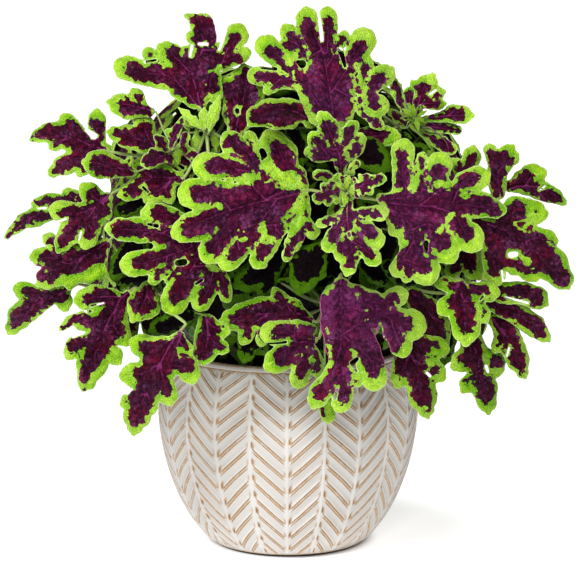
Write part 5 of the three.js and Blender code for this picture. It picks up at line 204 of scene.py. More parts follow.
    {"n": "B11_1", "s": "B11", "shape": "midL", "O": [-76.96, -27.26, 293.22], "e1": [-0.8305, 0.2781, -0.4827], "e2": [-0.1554, -0.9477, -0.2787], "e3": [-0.535, -0.1564, 0.8303], "sc": 0.9593, "w": [0, -15.48, 36.12, 0, 36.12], "a": [-65.1, -30.6, 296.8]},
    {"n": "B11_2", "s": "B11", "shape": "frontC", "O": [-72.56, -41.08, 288.04], "e1": [-0.5498, -0.6817, -0.4827], "e2": [-0.6415, 0.7147, -0.2787], "e3": [-0.535, -0.1564, 0.8303], "sc": 1.1041, "w": [0, -10.8, 25.2, 0, 25.2], "a": [-62.7, -29.9, 293.1]},
    {"n": "B11_3", "s": "B11", "shape": "lowL2", "O": [-56.02, -47.71, 292.02], "e1": [0.2807, -0.9598, 0], "e2": [0.7969, 0.233, 0.5574], "e3": [-0.535, -0.1564, 0.8303], "sc": 0.9381, "w": [0, -15.12, 35.28, 0, 35.28], "a": [-60.3, -29.2, 289.4], "d": 0.4},
    {"n": "in0", "s": "B4", "shape": "bigL", "O": [121.3, 18.4, 228.8], "e1": [-0.363, -0.545, -0.7558], "e2": [-0.2195, 0.8383, -0.4991], "e3": [0.9056, -0.0152, -0.4239], "sc": 0.865, "w": [0, -10, 26, 0, 26], "a": [92.3, 6.1, 211.1], "d": 0.85},
    {"n": "in1", "s": "B3", "shape": "rightC", "O": [-85.8, 66, 240.1], "e1": [0.1102, -0.078, -0.9908], "e2": [-0.6706, -0.7416, -0.0163], "e3": [-0.7335, 0.6663, -0.134], "sc": 0.889, "w": [0, -10, 26, 0, 26], "a": [-66.8, 97.4, 216.8], "d": 0.85},
    {"n": "in2", "s": "T9", "shape": "topC", "O": [-4.9, -143.5, 228.6], "e1": [0.3584, 0.5082, -0.7831], "e2": [0.9211, -0.0558, 0.3853], "e3": [0.1521, -0.8594, -0.4881], "sc": 1.019, "w": [0, -10, 26, 0, 26], "a": [27.4, -143.2, 212.7], "d": 0.85},
    {"n": "in3", "s": "B2", "shape": "midL", "O": [92.4, 75.8, 242.1], "e1": [-0.402, 0.1509, -0.9031], "e2": [-0.6464, 0.6518, 0.3966], "e3": [0.6485, 0.7432, -0.1645], "sc": 1.064, "w": [0, -10, 26, 0, 26], "a": [71.1, 105.7, 221.4], "d": 0.85},
    {"n": "in4", "s": "T2", "shape": "shelfC", "O": [-109.2, -46, 244.7], "e1": [0.0979, 0.4673, -0.8787], "e2": [0.2713, -0.862, -0.4282], "e3": [-0.9575, -0.1965, -0.2112], "sc": 1.139, "w": [0, -10, 26, 0, 26], "a": [-62, -38, 230], "d": 0.85},
    {"n": "in5", "s": "T8", "shape": "leftB", "O": [99.1, -87.8, 248.2], "e1": [0.0563, 0.4055, -0.9123], "e2": [0.5701, 0.7372, 0.3628], "e3": [0.8197, -0.5405, -0.1897], "sc": 1.398, "w": [0, -10, 26, 0, 26], "a": [121.7, -98, 210.1], "d": 0.85},
    {"n": "in6", "s": "B3", "shape": "farL", "O": [-54.3, 103, 251.5], "e1": [0.5436, -0.2071, -0.8134], "e2": [-0.8237, -0.3177, -0.4697], "e3": [-0.1611, 0.9253, -0.3433], "sc": 1.358, "w": [0, -10, 26, 0, 26], "a": [-74.4, 112.6, 232.1], "d": 0.85},
    {"n": "in7", "s": "T6", "shape": "lowL1", "O": [-52.9, -107.9, 265.6], "e1": [0.0479, 0.1448, -0.9883], "e2": [0.889, -0.4573, -0.0239], "e3": [-0.4555, -0.8774, -0.1506], "sc": 1.047, "w": [0, -10, 26, 0, 26], "a": [-94, -117.7, 215.6], "d": 0.85},
    {"n": "in8", "s": "B4", "shape": "upL1", "O": [126.4, 29.6, 267.7], "e1": [-0.2335, 0.0444, -0.9713], "e2": [-0.3262, 0.9375, 0.1212], "e3": [0.916, 0.3451, -0.2044], "sc": 1.327, "w": [0, -10, 26, 0, 26], "a": [134.4, 6, 254.4], "d": 0.85},
    {"n": "in9", "s": "B5", "shape": "bigL", "O": [-120.4, 29.2, 270.2], "e1": [0.057, 0.1842, -0.9812], "e2": [-0.3583, -0.9136, -0.1923], "e3": [-0.9319, 0.3625, 0.014], "sc": 0.877, "w": [0, -10, 26, 0, 26], "a": [-128.6, 5.8, 255.9], "d": 0.85},
    {"n": "in10", "s": "T1", "shape": "rightC", "O": [50.6, -94.6, 270.4], "e1": [-0.0786, -0.2055, -0.9755], "e2": [0.89, 0.4264, -0.1615], "e3": [0.4491, -0.8809, 0.1494], "sc": 0.86, "w": [0, -10, 26, 0, 26], "a": [31.4, -75.6, 248.2], "d": 0.85},
    {"n": "in11", "s": "B1", "shape": "topC", "O": [25.3, 108.4, 277.1], "e1": [0.1594, -0.3031, -0.9395], "e2": [-0.9256, 0.285, -0.249], "e3": [0.3432, 0.9093, -0.2352], "sc": 1.189, "w": [0, -10, 26, 0, 26], "a": [0.2, 113.4, 261.2], "d": 0.85},
    {"n": "in12", "s": "T2", "shape": "midL", "O": [-113.3, -66.9, 278.4], "e1": [0.128, -0.0109, -0.9917], "e2": [0.5009, -0.8623, 0.0741], "e3": [-0.856, -0.5063, -0.1049], "sc": 1.009, "w": [0, -10, 26, 0, 26], "a": [-67.6, -48, 255.6], "d": 0.85},
    {"n": "in13", "s": "T5", "shape": "shelfC", "O": [116.9, -29.3, 278.9], "e1": [-0.1532, -0.0432, -0.9872], "e2": [0.2177, 0.973, -0.0763], "e3": [0.9639, -0.2267, -0.1397], "sc": 1.116, "w": [0, -10, 26, 0, 26], "a": [136.5, -50.1, 262.9], "d": 0.85},
    {"n": "in14", "s": "B9", "shape": "leftB", "O": [-46.6, 80.8, 285.3], "e1": [-0.3459, -0.0612, -0.9363], "e2": [-0.76, -0.5669, 0.3179], "e3": [-0.5503, 0.8215, 0.1496], "sc": 1.506, "w": [0, -10, 26, 0, 26], "a": [-0.5, 62.6, 269.2], "d": 0.85},
    {"n": "in15", "s": "T2", "shape": "farL", "O": [-37.3, -115.7, 283.7], "e1": [0.4778, -0.1754, -0.8608], "e2": [0.8684, -0.0533, 0.4929], "e3": [-0.1323, -0.9831, 0.1269], "sc": 1.296, "w": [0, -10, 26, 0, 26], "a": [-70.5, -53, 268.4], "d": 0.85},
    {"n": "in16", "s": "B4", "shape": "lowL1", "O": [103.7, 55.8, 295.6], "e1": [-0.1956, 0.2392, -0.9511], "e2": [-0.6488, 0.6957, 0.3084], "e3": [0.7354, 0.6774, 0.0192], "sc": 1.04, "w": [0, -10, 26, 0, 26], "a": [129.9, 5.9, 252], "d": 0.85},
    {"n": "in17", "s": "B5", "shape": "upL1", "O": [-108.1, 21.6, 292.2], "e1": [-0.2302, -0.5121, -0.8275], "e2": [0.0627, -0.8564, 0.5125], "e3": [-0.9711, 0.0661, 0.2293], "sc": 1.277, "w": [0, -10, 26, 0, 26], "a": [-128.6, 5.8, 255.9], "d": 0.85},
    {"n": "in18", "s": "T1", "shape": "bigL", "O": [90.8, -81.7, 300.9], "e1": [-0.0653, -0.2116, -0.9752], "e2": [0.7227, 0.6639, -0.1925], "e3": [0.6881, -0.7173, 0.1096], "sc": 0.807, "w": [0, -10, 26, 0, 26], "a": [38.9, -99.2, 281.3], "d": 0.85},
    {"n": "in19", "s": "B9", "shape": "rightC", "O": [-27.4, 78, 295.7], "e1": [0.4532, 0.4679, -0.7587], "e2": [-0.8776, 0.0852, -0.4717], "e3": [-0.1561, 0.8797, 0.4492], "sc": 0.936, "w": [0, -10, 26, 0, 26], "a": [-0.2, 67, 278.5], "d": 0.85},
    {"n": "in20", "s": "T2", "shape": "topC", "O": [-74.6, -83, 307.3], "e1": [0.0471, -0.1685, -0.9846], "e2": [0.7869, -0.6008, 0.1405], "e3": [-0.6152, -0.7814, 0.1043], "sc": 1.085, "w": [0, -10, 26, 0, 26], "a": [-76.1, -62.9, 294.1], "d": 0.85},
    {"n": "in21", "s": "B10", "shape": "midL", "O": [102.8, 24, 311], "e1": [0.1312, -0.3627, -0.9226], "e2": [0.0023, 0.9308, -0.3656], "e3": [0.9914, 0.0458, 0.1229], "sc": 1.104, "w": [0, -10, 26, 0, 26], "a": [66.1, -30.9, 298.3], "d": 0.85},
    {"n": "in22", "s": "B9", "shape": "shelfC", "O": [-74.8, 66.3, 313.5], "e1": [-0.4049, -0.2434, -0.8813], "e2": [-0.385, -0.8289, 0.4058], "e3": [-0.8293, 0.5036, 0.2419], "sc": 1.266, "w": [0, -10, 26, 0, 26], "a": [0, 74.9, 298.4], "d": 0.85},
    {"n": "in23", "s": "T7", "shape": "leftB", "O": [4.5, -89.2, 310.4], "e1": [0.4, -0.3416, -0.8505], "e2": [0.8983, 0.3303, 0.2898], "e3": [0.1819, -0.8799, 0.439], "sc": 1.432, "w": [0, -10, 26, 0, 26], "a": [17.2, -58.1, 295.3], "d": 0.85},
    {"n": "in24", "s": "B9", "shape": "farL", "O": [48.4, 64.4, 320.6], "e1": [0.0762, 0.2958, -0.9522], "e2": [-0.8823, 0.4649, 0.0739], "e3": [0.4645, 0.8345, 0.2964], "sc": 1.352, "w": [0, -10, 26, 0, 26], "a": [0, 76.7, 303.8], "d": 0.85},
    {"n": "in25", "s": "T2", "shape": "lowL1", "O": [-84.7, -48.6, 320.6], "e1": [-0.2882, 0.2451, -0.9257], "e2": [0.1394, -0.9457, -0.2938], "e3": [-0.9474, -0.2137, 0.2384], "sc": 0.943, "w": [0, -10, 26, 0, 26], "a": [-78.9, -67.9, 306.9], "d": 0.85},
    {"n": "in26", "s": "B10", "shape": "upL1", "O": [81.7, -21.6, 314.8], "e1": [0.2574, -0.6364, -0.7272], "e2": [0.584, 0.702, -0.4077], "e3": [0.7699, -0.3197, 0.5523], "sc": 1.123, "w": [0, -10, 26, 0, 26], "a": [66.1, -30.9, 298.3], "d": 0.85},
    {"n": "in27", "s": "B9", "shape": "bigL", "O": [-23.7, 73.3, 331.6], "e1": [-0.2986, 0.1054, -0.9485], "e2": [-0.8422, -0.4967, 0.2099], "e3": [-0.449, 0.8615, 0.2371], "sc": 0.849, "w": [0, -10, 26, 0, 26], "a": [0, 80.2, 314.4], "d": 0.85},
    {"n": "in28", "s": "T4", "shape": "rightC", "O": [-33, -68.5, 332.4], "e1": [0.0215, -0.4882, -0.8725], "e2": [0.9605, -0.2322, 0.1536], "e3": [-0.2776, -0.8413, 0.4639], "sc": 0.947, "w": [0, -10, 26, 0, 26], "a": [-51.8, -66.9, 312.5], "d": 0.85},
    {"n": "in29", "s": "B10", "shape": "topC", "O": [73.1, 4.5, 326.6], "e1": [0.2516, 0.6673, -0.701], "e2": [-0.6633, 0.6464, 0.3772], "e3": [0.7048, 0.3701, 0.6052], "sc": 1.057, "w": [0, -10, 26, 0, 26], "a": [68.6, -31.6, 303.2], "d": 0.85},
    {"n": "in30", "s": "B11", "shape": "midL", "O": [-64.7, 30.9, 334.9], "e1": [-0.5168, -0.3574, -0.778], "e2": [0.0774, -0.9245, 0.3733], "e3": [-0.8526, 0.1327, 0.5054], "sc": 1.036, "w": [0, -10, 26, 0, 26], "a": [-68.6, -31.6, 303.2], "d": 0.85},
    {"n": "in31", "s": "T7", "shape": "shelfC", "O": [24, -57.3, 336.9], "e1": [0.5006, -0.4504, -0.7393], "e2": [0.763, 0.6329, 0.1311], "e3": [0.4088, -0.6297, 0.6605], "sc": 1.232, "w": [0, -10, 26, 0, 26], "a": [20.8, -76.8, 318.8], "d": 0.85},
    {"n": "in32", "s": "B9", "shape": "leftB", "O": [32.6, 55.2, 344.4], "e1": [-0.4022, 0.4936, -0.7711], "e2": [-0.9154, -0.1994, 0.3498], "e3": [0.0188, 0.8465, 0.532], "sc": 1.345, "w": [0, -10, 26, 0, 26], "a": [0, 82, 319.7], "d": 0.85},
    {"n": "in33", "s": "T4", "shape": "farL", "O": [-41.3, -46.4, 348.2], "e1": [-0.4937, -0.1893, -0.8487], "e2": [0.5106, -0.8532, -0.1067], "e3": [-0.7039, -0.4861, 0.5179], "sc": 1.284, "w": [0, -10, 26, 0, 26], "a": [-54.5, -76.3, 325], "d": 0.85},
    {"n": "in34", "s": "T3", "shape": "lowL1", "O": [43.3, 4.4, 348.7], "e1": [0.7109, -0.3688, -0.5988], "e2": [0.3181, 0.928, -0.1939], "e3": [0.6272, -0.0527, 0.7771], "sc": 1.068, "w": [0, -10, 26, 0, 26], "a": [84, -37.4, 328.1], "d": 0.85},
    {"n": "in35", "s": "B9", "shape": "upL1", "O": [-11.9, 34.6, 342.7], "e1": [-0.8122, 0.1501, -0.5637], "e2": [-0.3639, -0.8857, 0.2885], "e3": [-0.456, 0.4394, 0.7739], "sc": 1.156, "w": [0, -10, 26, 0, 26], "a": [0, 82, 319.7], "d": 0.85},
    {"n": "in36", "s": "T7", "shape": "bigL", "O": [-1, -34.7, 348], "e1": [0.0298, -0.818, -0.5744], "e2": [0.9995, 0.0268, 0.0137], "e3": [0.0042, -0.5745, 0.8185], "sc": 0.771, "w": [0, -10, 26, 0, 26], "a": [20.8, -76.8, 318.8], "d": 0.85},
    {"n": "in37", "s": "T3", "shape": "rightC", "O": [33.4, -8.3, 352.9], "e1": [0.0425, 0.7426, -0.6684], "e2": [-0.9368, 0.2623, 0.2317], "e3": [0.3474, 0.6163, 0.7068], "sc": 0.972, "w": [0, -10, 26, 0, 26], "a": [84, -37.4, 328.1], "d": 0.85},
    {"n": "cr0", "s": "T3", "shape": "topC", "O": [22.4, -8.3, 386.5], "e1": [0.1998, 0.9027, -0.3811], "e2": [-0.9755, 0.22, 0.0096], "e3": [0.0925, 0.3698, 0.9245], "sc": 0.901, "w": [0, -14, 26, 0, 26], "a": [84, -37.4, 328.1], "d": 0},
    {"n": "cr1", "s": "B11", "shape": "bigL", "O": [-51.4, 1.8, 362.8], "e1": [-0.4706, 0.7792, -0.4139], "e2": [-0.8392, -0.5402, -0.0627], "e3": [-0.2724, 0.3179, 0.9082], "sc": 0.553, "w": [0, -14, 26, 0, 26], "a": [-68.6, -31.6, 303.2], "d": 0},
    {"n": "cr2", "s": "B9", "shape": "midL", "O": [-6.4, 24.3, 366], "e1": [-0.6177, 0.6769, -0.4002], "e2": [-0.7813, -0.586, 0.2149], "e3": [-0.0891, 0.4454, 0.8909], "sc": 0.781, "w": [0, -14, 26, 0, 26], "a": [0, 82, 319.7], "d": 0},
    {"n": "cr3", "s": "B10", "shape": "rightC", "O": [34.9, 17.4, 352.7], "e1": [0.7214, 0.518, -0.4597], "e2": [-0.6198, 0.779, -0.0947], "e3": [0.3091, 0.3532, 0.883], "sc": 0.613, "w": [0, -14, 26, 0, 26], "a": [68.6, -31.6, 303.2], "d": 0},
    {"n": "cr4", "s": "B9", "shape": "upL1", "O": [18.3, 50.7, 378], "e1": [0.0936, 0.8537, -0.5122], "e2": [-0.9956, 0.0803, -0.0482], "e3": [0, 0.5145, 0.8575], "sc": 1.024, "w": [0, -14, 26, 0, 26], "a": [0, 82, 319.7], "d": 0},
    {"n": "cr5", "s": "B9", "shape": "topC", "O": [-40.4, 67, 363.1], "e1": [-0.4745, 0.6204, -0.6245], "e2": [-0.809, -0.5869, 0.0317], "e3": [-0.3468, 0.5203, 0.7804], "sc": 0.877, "w": [0, -14, 26, 0, 26], "a": [0, 82, 319.7], "d": 0},
    {"n": "cr6", "s": "B9", "shape": "bigL", "O": [49.2, 70.1, 356.5], "e1": [0.4107, 0.6638, -0.6251], "e2": [-0.8432, 0.5373, 0.0165], "e3": [0.3468, 0.5203, 0.7804], "sc": 0.642, "w": [0, -14, 26, 0, 26], "a": [0, 82, 319.7], "d": 0},
    {"n": "cr7", "s": "T3", "shape": "midL", "O": [74.9, 3.7, 335.4], "e1": [0.795, 0.0806, -0.6013], "e2": [-0.0944, 0.9955, 0.0086], "e3": [0.5993, 0.0499, 0.799], "sc": 0.647, "w": [0, -14, 26, 0, 26], "a": [79.3, -35.5, 315.9], "d": 0},
    {"n": "cr8", "s": "B11", "shape": "rightC", "O": [-70.9, 5.7, 329.4], "e1": [-0.795, 0.0806, -0.6013], "e2": [-0.0944, -0.9955, -0.0086], "e3": [-0.5993, 0.0499, 0.799], "sc": 0.556, "w": [0, -14, 26, 0, 26], "a": [-68.6, -31.6, 303.2], "d": 0},
    {"n": "fr0", "s": "T3", "shape": "leftB", "O": [112.2, -6.9, 327.3], "e1": [0.3839, -0.308, -0.8705], "e2": [0.2646, 0.9399, -0.2158], "e3": [0.8847, -0.1474, 0.4423], "sc": 1.122, "w": [0, -14, 26, 0, 26], "a": [74.7, -33.6, 303.7], "d": 0},
    {"n": "fl0", "s": "B11", "shape": "topC", "O": [-114.2, -2.9, 330.3], "e1": [-0.3839, -0.308, -0.8705], "e2": [0.2646, -0.9399, 0.2158], "e3": [-0.8847, -0.1474, 0.4423], "sc": 0.854, "w": [0, -14, 26, 0, 26], "a": [-68.6, -31.6, 303.2], "d": 0},
    {"n": "fr1", "s": "B4", "shape": "topC", "O": [126.9, -7.1, 279.2], "e1": [0.2924, 0.2394, -0.9258], "e2": [-0.0721, 0.9709, 0.2283], "e3": [0.9536, 0, 0.3011], "sc": 0.901, "w": [0, -14, 26, 0, 26], "a": [138.8, 6.1, 256.9], "d": 0},
    {"n": "fl1", "s": "B5", "shape": "lowL1", "O": [-128.9, -3.1, 282.2], "e1": [-0.2924, 0.2394, -0.9258], "e2": [-0.0721, -0.9709, -0.2283], "e3": [-0.9536, 0, 0.3011], "sc": 0.802, "w": [0, -14, 26, 0, 26], "a": [-137.3, 6.1, 261.1], "d": 0},
    {"n": "fr2", "s": "T5", "shape": "lowL1", "O": [120.3, -33.7, 289.9], "e1": [0.1832, -0.3975, -0.8991], "e2": [0.4975, 0.8263, -0.2639], "e3": [0.8479, -0.399, 0.3491], "sc": 0.654, "w": [0, -14, 26, 0, 26], "a": [136.5, -50.1, 262.9], "d": 0},
    {"n": "fl2", "s": "B5", "shape": "bigL", "O": [-122.3, -29.7, 292.9], "e1": [-0.1832, -0.3975, -0.8991], "e2": [0.4975, -0.8263, 0.2639], "e3": [-0.8479, -0.399, 0.3491], "sc": 0.553, "w": [0, -14, 26, 0, 26], "a": [-137.3, 6.1, 261.1], "d": 0},
    {"n": "fr3", "s": "T5", "shape": "bigL", "O": [126.1, -24.2, 236.2], "e1": [0.117, -0.177, -0.9772], "e2": [0.226, 0.9629, -0.1474], "e3": [0.9671, -0.2036, 0.1527], "sc": 0.588, "w": [0, -14, 26, 0, 26], "a": [96, -34, 215], "d": 0},
    {"n": "fl3", "s": "B5", "shape": "midL", "O": [-128.1, -20.2, 239.2], "e1": [-0.117, -0.177, -0.9772], "e2": [0.226, -0.9629, 0.1474], "e3": [-0.9671, -0.2036, 0.1527], "sc": 0.736, "w": [0, -14, 26, 0, 26], "a": [-96.3, 5.8, 221.7], "d": 0},
    {"n": "fr4", "s": "T3", "shape": "upL1", "O": [117.5, 7.8, 327], "e1": [0.3798, 0.4316, -0.8182], "e2": [-0.3771, 0.8799, 0.2891], "e3": [0.8447, 0.1988, 0.4969], "sc": 0.866, "w": [0, -14, 26, 0, 26], "a": [74.7, -33.6, 303.7], "d": 0},
    {"n": "fl4", "s": "B5", "shape": "leftB", "O": [-119.5, 11.8, 330], "e1": [-0.3798, 0.4316, -0.8182], "e2": [-0.3771, -0.8799, -0.2891], "e3": [-0.8447, 0.1988, 0.4969], "sc": 1.029, "w": [0, -14, 26, 0, 26], "a": [-137.3, 6.1, 261.1], "d": 0},
    {"n": "y1", "s": "T4", "shape": "sprig", "O": [-57.5, -124.9, 333.6], "e1": [0.2816, 0.0265, 0.9592], "e2": [-0.5944, 0.0306, 0.1736], "e3": [-0.0399, -0.9984, 0.0393], "sc": 1.31, "w": [0, -4, 9, 0, 12], "a": [-59.3, -112.8, 336.6], "d": 0, "gr": 1},
    {"n": "y2", "s": "T4", "shape": "sprig", "O": [-60.5, -123.4, 336.3], "e1": [-0.749, 0.0753, 0.6582], "e2": [-0.4103, -0.0807, -0.4577], "e3": [0.0301, -0.9886, 0.1474], "sc": 1.147, "w": [0, -4, 9, 0, 12], "a": [-59.3, -112.8, 336.6], "d": 0, "gr": 1},
    {"n": "y3", "s": "T4", "shape": "sprig", "O": [-60.5, -122.7, 334.8], "e1": [0.0017, 0.1207, 0.9927], "e2": [-0.95, 0.0003, 0.0016], "e3": [-0.0001, -0.9927, 0.1207], "sc": 0.859, "w": [0, -4, 9, 0, 12], "a": [-59.3, -112.8, 336.6], "d": 0, "gr": 1},
    {"n": "y4", "s": "T4", "shape": "sprig", "O": [-63.8, -109.3, 337.6], "e1": [-0.8965, -0.3218, 0.3046], "e2": [-0.2365, -0.1508, -0.8552], "e3": [0.3568, -0.9319, 0.0656], "sc": 0.622, "w": [0, -4, 9, 0, 12], "a": [-59.3, -112.8, 336.6], "d": 0, "gr": 1},
    {"n": "y5", "s": "T4", "shape": "sprig", "O": [-66.7, -108.6, 336.1], "e1": [0.0048, -0.3056, -0.9521], "e2": [0.7, 0.0006, 0.0034], "e3": [-0.0007, -0.9522, 0.3056], "sc": 1.018, "w": [0, -4, 9, 0, 12], "a": [-59.3, -112.8, 336.6], "d": 0, "gr": 1},
    {"n": "y6", "s": "T2", "shape": "sprig", "O": [-79.6, -115.4, 323.8], "e1": [-0.0933, -0.1109, -0.9894], "e2": [0.7965, -0.013, -0.0737], "e3": [-0.0059, -0.9937, 0.1119], "sc": 0.735, "w": [0, -4, 9, 0, 12], "a": [-85.9, -104.4, 318.8], "d": 0, "gr": 1},
    {"n": "y7", "s": "T4", "shape": "sprig", "O": [-71.8, -108.1, 333.1], "e1": [-0.1655, 0.4431, 0.8811], "e2": [-0.788, -0.024, -0.1359], "e3": [-0.0489, -0.896, 0.4414], "sc": 0.649, "w": [0, -4, 9, 0, 12], "a": [-59.3, -112.8, 336.6], "d": 0, "gr": 1},
    {"n": "y8", "s": "T4", "shape": "sprig", "O": [-53.7, -108.8, 334.7], "e1": [0.1014, -0.4777, -0.8727], "e2": [0.7954, 0.0149, 0.0843], "e3": [-0.0341, -0.8783, 0.4768], "sc": 0.721, "w": [0, -4, 9, 0, 12], "a": [-59.3, -112.8, 336.6], "d": 0, "gr": 1},
    {"n": "z0", "s": "T1", "shape": "sprig", "O": [41.8, -152.1, 298.1], "e1": [0.603, -0.2855, 0.7449], "e2": [-0.9376, 0.1436, 0.8141], "e3": [-0.2715, -0.9515, -0.1449], "sc": 0.28, "w": [0, -4, 9, 0, 12], "a": [42.4, -135.6, 293.7], "d": 0, "gr": 0.15},
    {"n": "z1", "s": "T1", "shape": "sprig", "O": [39.1, -152.2, 297.8], "e1": [-0.693, -0.4348, 0.5751], "e2": [-0.7226, -0.1771, -1.0045], "e3": [0.4309, -0.8893, -0.1531], "sc": 0.288, "w": [0, -4, 9, 0, 12], "a": [42.4, -135.6, 293.7], "d": 0, "gr": 1},
    {"n": "z2", "s": "T1", "shape": "sprig", "O": [41.3, -152, 299], "e1": [0.2495, -0.3509, 0.9026], "e2": [-1.1968, 0.0626, 0.3552], "e3": [-0.1449, -0.9351, -0.3234], "sc": 0.376, "w": [0, -4, 9, 0, 12], "a": [42.4, -135.6, 293.7], "d": 0, "gr": 1},
    {"n": "z3", "s": "T1", "shape": "sprig", "O": [39.8, -151.9, 299.4], "e1": [-0.2552, -0.1275, 0.9584], "e2": [-1.2047, -0.0579, -0.3285], "e3": [0.0779, -0.9908, -0.111], "sc": 0.394, "w": [0, -4, 9, 0, 12], "a": [42.4, -135.6, 293.7], "d": 0, "gr": 0.15},
    {"n": "z4", "s": "T1", "shape": "sprig", "O": [42.9, -152.5, 296.2], "e1": [0.8785, -0.4555, -0.1441], "e2": [0.305, 0.2105, 1.1938], "e3": [-0.4107, -0.8742, 0.2591], "sc": 0.359, "w": [0, -4, 9, 0, 12], "a": [42.4, -135.6, 293.7], "d": 0, "gr": 1},
    {"n": "z5", "s": "T1", "shape": "sprig", "O": [38.4, -152.5, 296], "e1": [-0.8096, -0.5546, -0.1922], "e2": [0.4158, -0.2047, -1.1609], "e3": [0.4836, -0.8158, 0.3171], "sc": 0.368, "w": [0, -4, 9, 0, 12], "a": [42.4, -135.6, 293.7], "d": 0, "gr": 1},
    {"n": "z6", "s": "T1", "shape": "sprig", "O": [41.8, -152.7, 295], "e1": [0.524, -0.4856, -0.6997], "e2": [1.0349, 0.1218, 0.6905], "e3": [-0.2001, -0.8687, 0.4531], "sc": 0.322, "w": [0, -4, 9, 0, 12], "a": [42.4, -135.6, 293.7], "d": 0, "gr": 0.15},
    {"n": "z7", "s": "T1", "shape": "sprig", "O": [39.5, -152.7, 295], "e1": [-0.4563, -0.5862, -0.6694], "e2": [1.0721, -0.1116, -0.633], "e3": [0.2371, -0.8052, 0.5435], "sc": 0.329, "w": [0, -4, 9, 0, 12], "a": [42.4, -135.6, 293.7], "d": 0, "gr": 1},
    {"n": "z8", "s": "T1", "shape": "sprig", "O": [40.5, -152.8, 294.3], "e1": [-0.0105, -0.6203, -0.7843], "e2": [1.2499, -0.0026, -0.0147], "e3": [0.0057, -0.7844, 0.6203], "sc": 0.397, "w": [0, -4, 9, 0, 12], "a": [42.4, -135.6, 293.7], "d": 0, "gr": 1},
    {"n": "z9", "s": "T1", "shape": "sprig", "O": [38.1, -152.2, 297.4], "e1": [-0.9189, -0.258, 0.2983], "e2": [-0.3269, -0.2095, -1.1882], "e3": [0.2952, -0.9515, 0.0865], "sc": 0.376, "w": [0, -4, 9, 0, 12], "a": [42.4, -135.6, 293.7], "d": 0, "gr": 0.15},
    {"n": "z10", "s": "T1", "shape": "sprig", "O": [42.9, -152.2, 297.4], "e1": [0.871, -0.3693, 0.3239], "e2": [-0.3511, 0.2083, 1.1815], "e3": [-0.403, -0.9143, 0.0415], "sc": 0.362, "w": [0, -4, 9, 0, 12], "a": [42.4, -135.6, 293.7], "d": 0, "gr": 1},
    {"n": "z11", "s": "T1", "shape": "sprig", "O": [40.9, -152.2, 297.4], "e1": [0.2092, -0.7943, 0.5704], "e2": [-1.1209, 0.0961, 0.5448], "e3": [-0.39, -0.6026, -0.6962], "sc": 0.214, "w": [0, -4, 9, 0, 12], "a": [42.4, -135.6, 293.7], "d": 0, "gr": 1},
    {"n": "z12", "s": "T1", "shape": "sprig", "O": [40, -152.3, 297.1], "e1": [-0.5247, -0.7281, 0.4411], "e2": [-0.6327, -0.1872, -1.0617], "e3": [0.6845, -0.6689, -0.2899], "sc": 0.145, "w": [0, -4, 9, 0, 12], "a": [42.4, -135.6, 293.7], "d": 0, "gr": 1},
    {"n": "q0", "s": "T3", "shape": "sprig", "O": [92.1, -99.3, 344.3], "e1": [-0.3371, -0.3481, 0.8748], "e2": [-0.9217, -0.0674, -0.382], "e3": [0.1919, -0.935, -0.2981], "sc": 0.372, "w": [0, -4, 9, 0, 12], "a": [91.6, -73.9, 339.6], "d": 0.3, "gr": 1},
    {"n": "q1", "s": "T3", "shape": "sprig", "O": [93, -99.3, 344.2], "e1": [0.3218, -0.4884, 0.8111], "e2": [-0.9117, 0.0714, 0.4047], "e3": [-0.2555, -0.8697, -0.4223], "sc": 0.385, "w": [0, -4, 9, 0, 12], "a": [91.6, -73.9, 339.6], "d": 0.3, "gr": 0.1},
    {"n": "q2", "s": "T3", "shape": "sprig", "O": [91.6, -99.4, 343.8], "e1": [-0.6248, -0.6176, 0.4776], "e2": [-0.5025, -0.1501, -0.8515], "e3": [0.5976, -0.772, -0.2165], "sc": 0.426, "w": [0, -4, 9, 0, 12], "a": [91.6, -73.9, 339.6], "d": 0.3, "gr": 1},
    {"n": "q3", "s": "T3", "shape": "sprig", "O": [93.4, -99.4, 343.6], "e1": [0.7388, -0.4859, 0.467], "e2": [-0.4531, 0.1548, 0.8779], "e3": [-0.4988, -0.8602, -0.1058], "sc": 0.329, "w": [0, -4, 9, 0, 12], "a": [91.6, -73.9, 339.6], "d": 0.3, "gr": 1},
    {"n": "q4", "s": "T3", "shape": "sprig", "O": [91.9, -99.6, 342.5], "e1": [-0.479, -0.7715, -0.4187], "e2": [0.7519, -0.1145, -0.6492], "e3": [0.4529, -0.6258, 0.635], "sc": 0.348, "w": [0, -4, 9, 0, 12], "a": [91.6, -73.9, 339.6], "d": 0.3, "gr": 0.1},
    {"n": "q5", "s": "T3", "shape": "sprig", "O": [92.8, -99.7, 342.2], "e1": [0.1553, -0.8318, -0.5329], "e2": [0.9741, 0.0392, 0.2226], "e3": [-0.1642, -0.5537, 0.8164], "sc": 0.405, "w": [0, -4, 9, 0, 12], "a": [91.6, -73.9, 339.6], "d": 0.3, "gr": 1},
    {"n": "q6", "s": "T3", "shape": "sprig", "O": [93.3, -99.6, 342.8], "e1": [0.6904, -0.6769, -0.2554], "e2": [0.4714, 0.1531, 0.8685], "e3": [-0.5487, -0.72, 0.4248], "sc": 0.296, "w": [0, -4, 9, 0, 12], "a": [91.6, -73.9, 339.6], "d": 0.3, "gr": 1},
    {"n": "q7", "s": "T3", "shape": "sprig", "O": [91.3, -99.5, 343], "e1": [-0.7994, -0.6006, 0.017], "e2": [0.1089, -0.1726, -0.979], "e3": [0.5909, -0.7807, 0.2034], "sc": 0.403, "w": [0, -4, 9, 0, 12], "a": [91.6, -73.9, 339.6], "d": 0.3, "gr": 0.1},
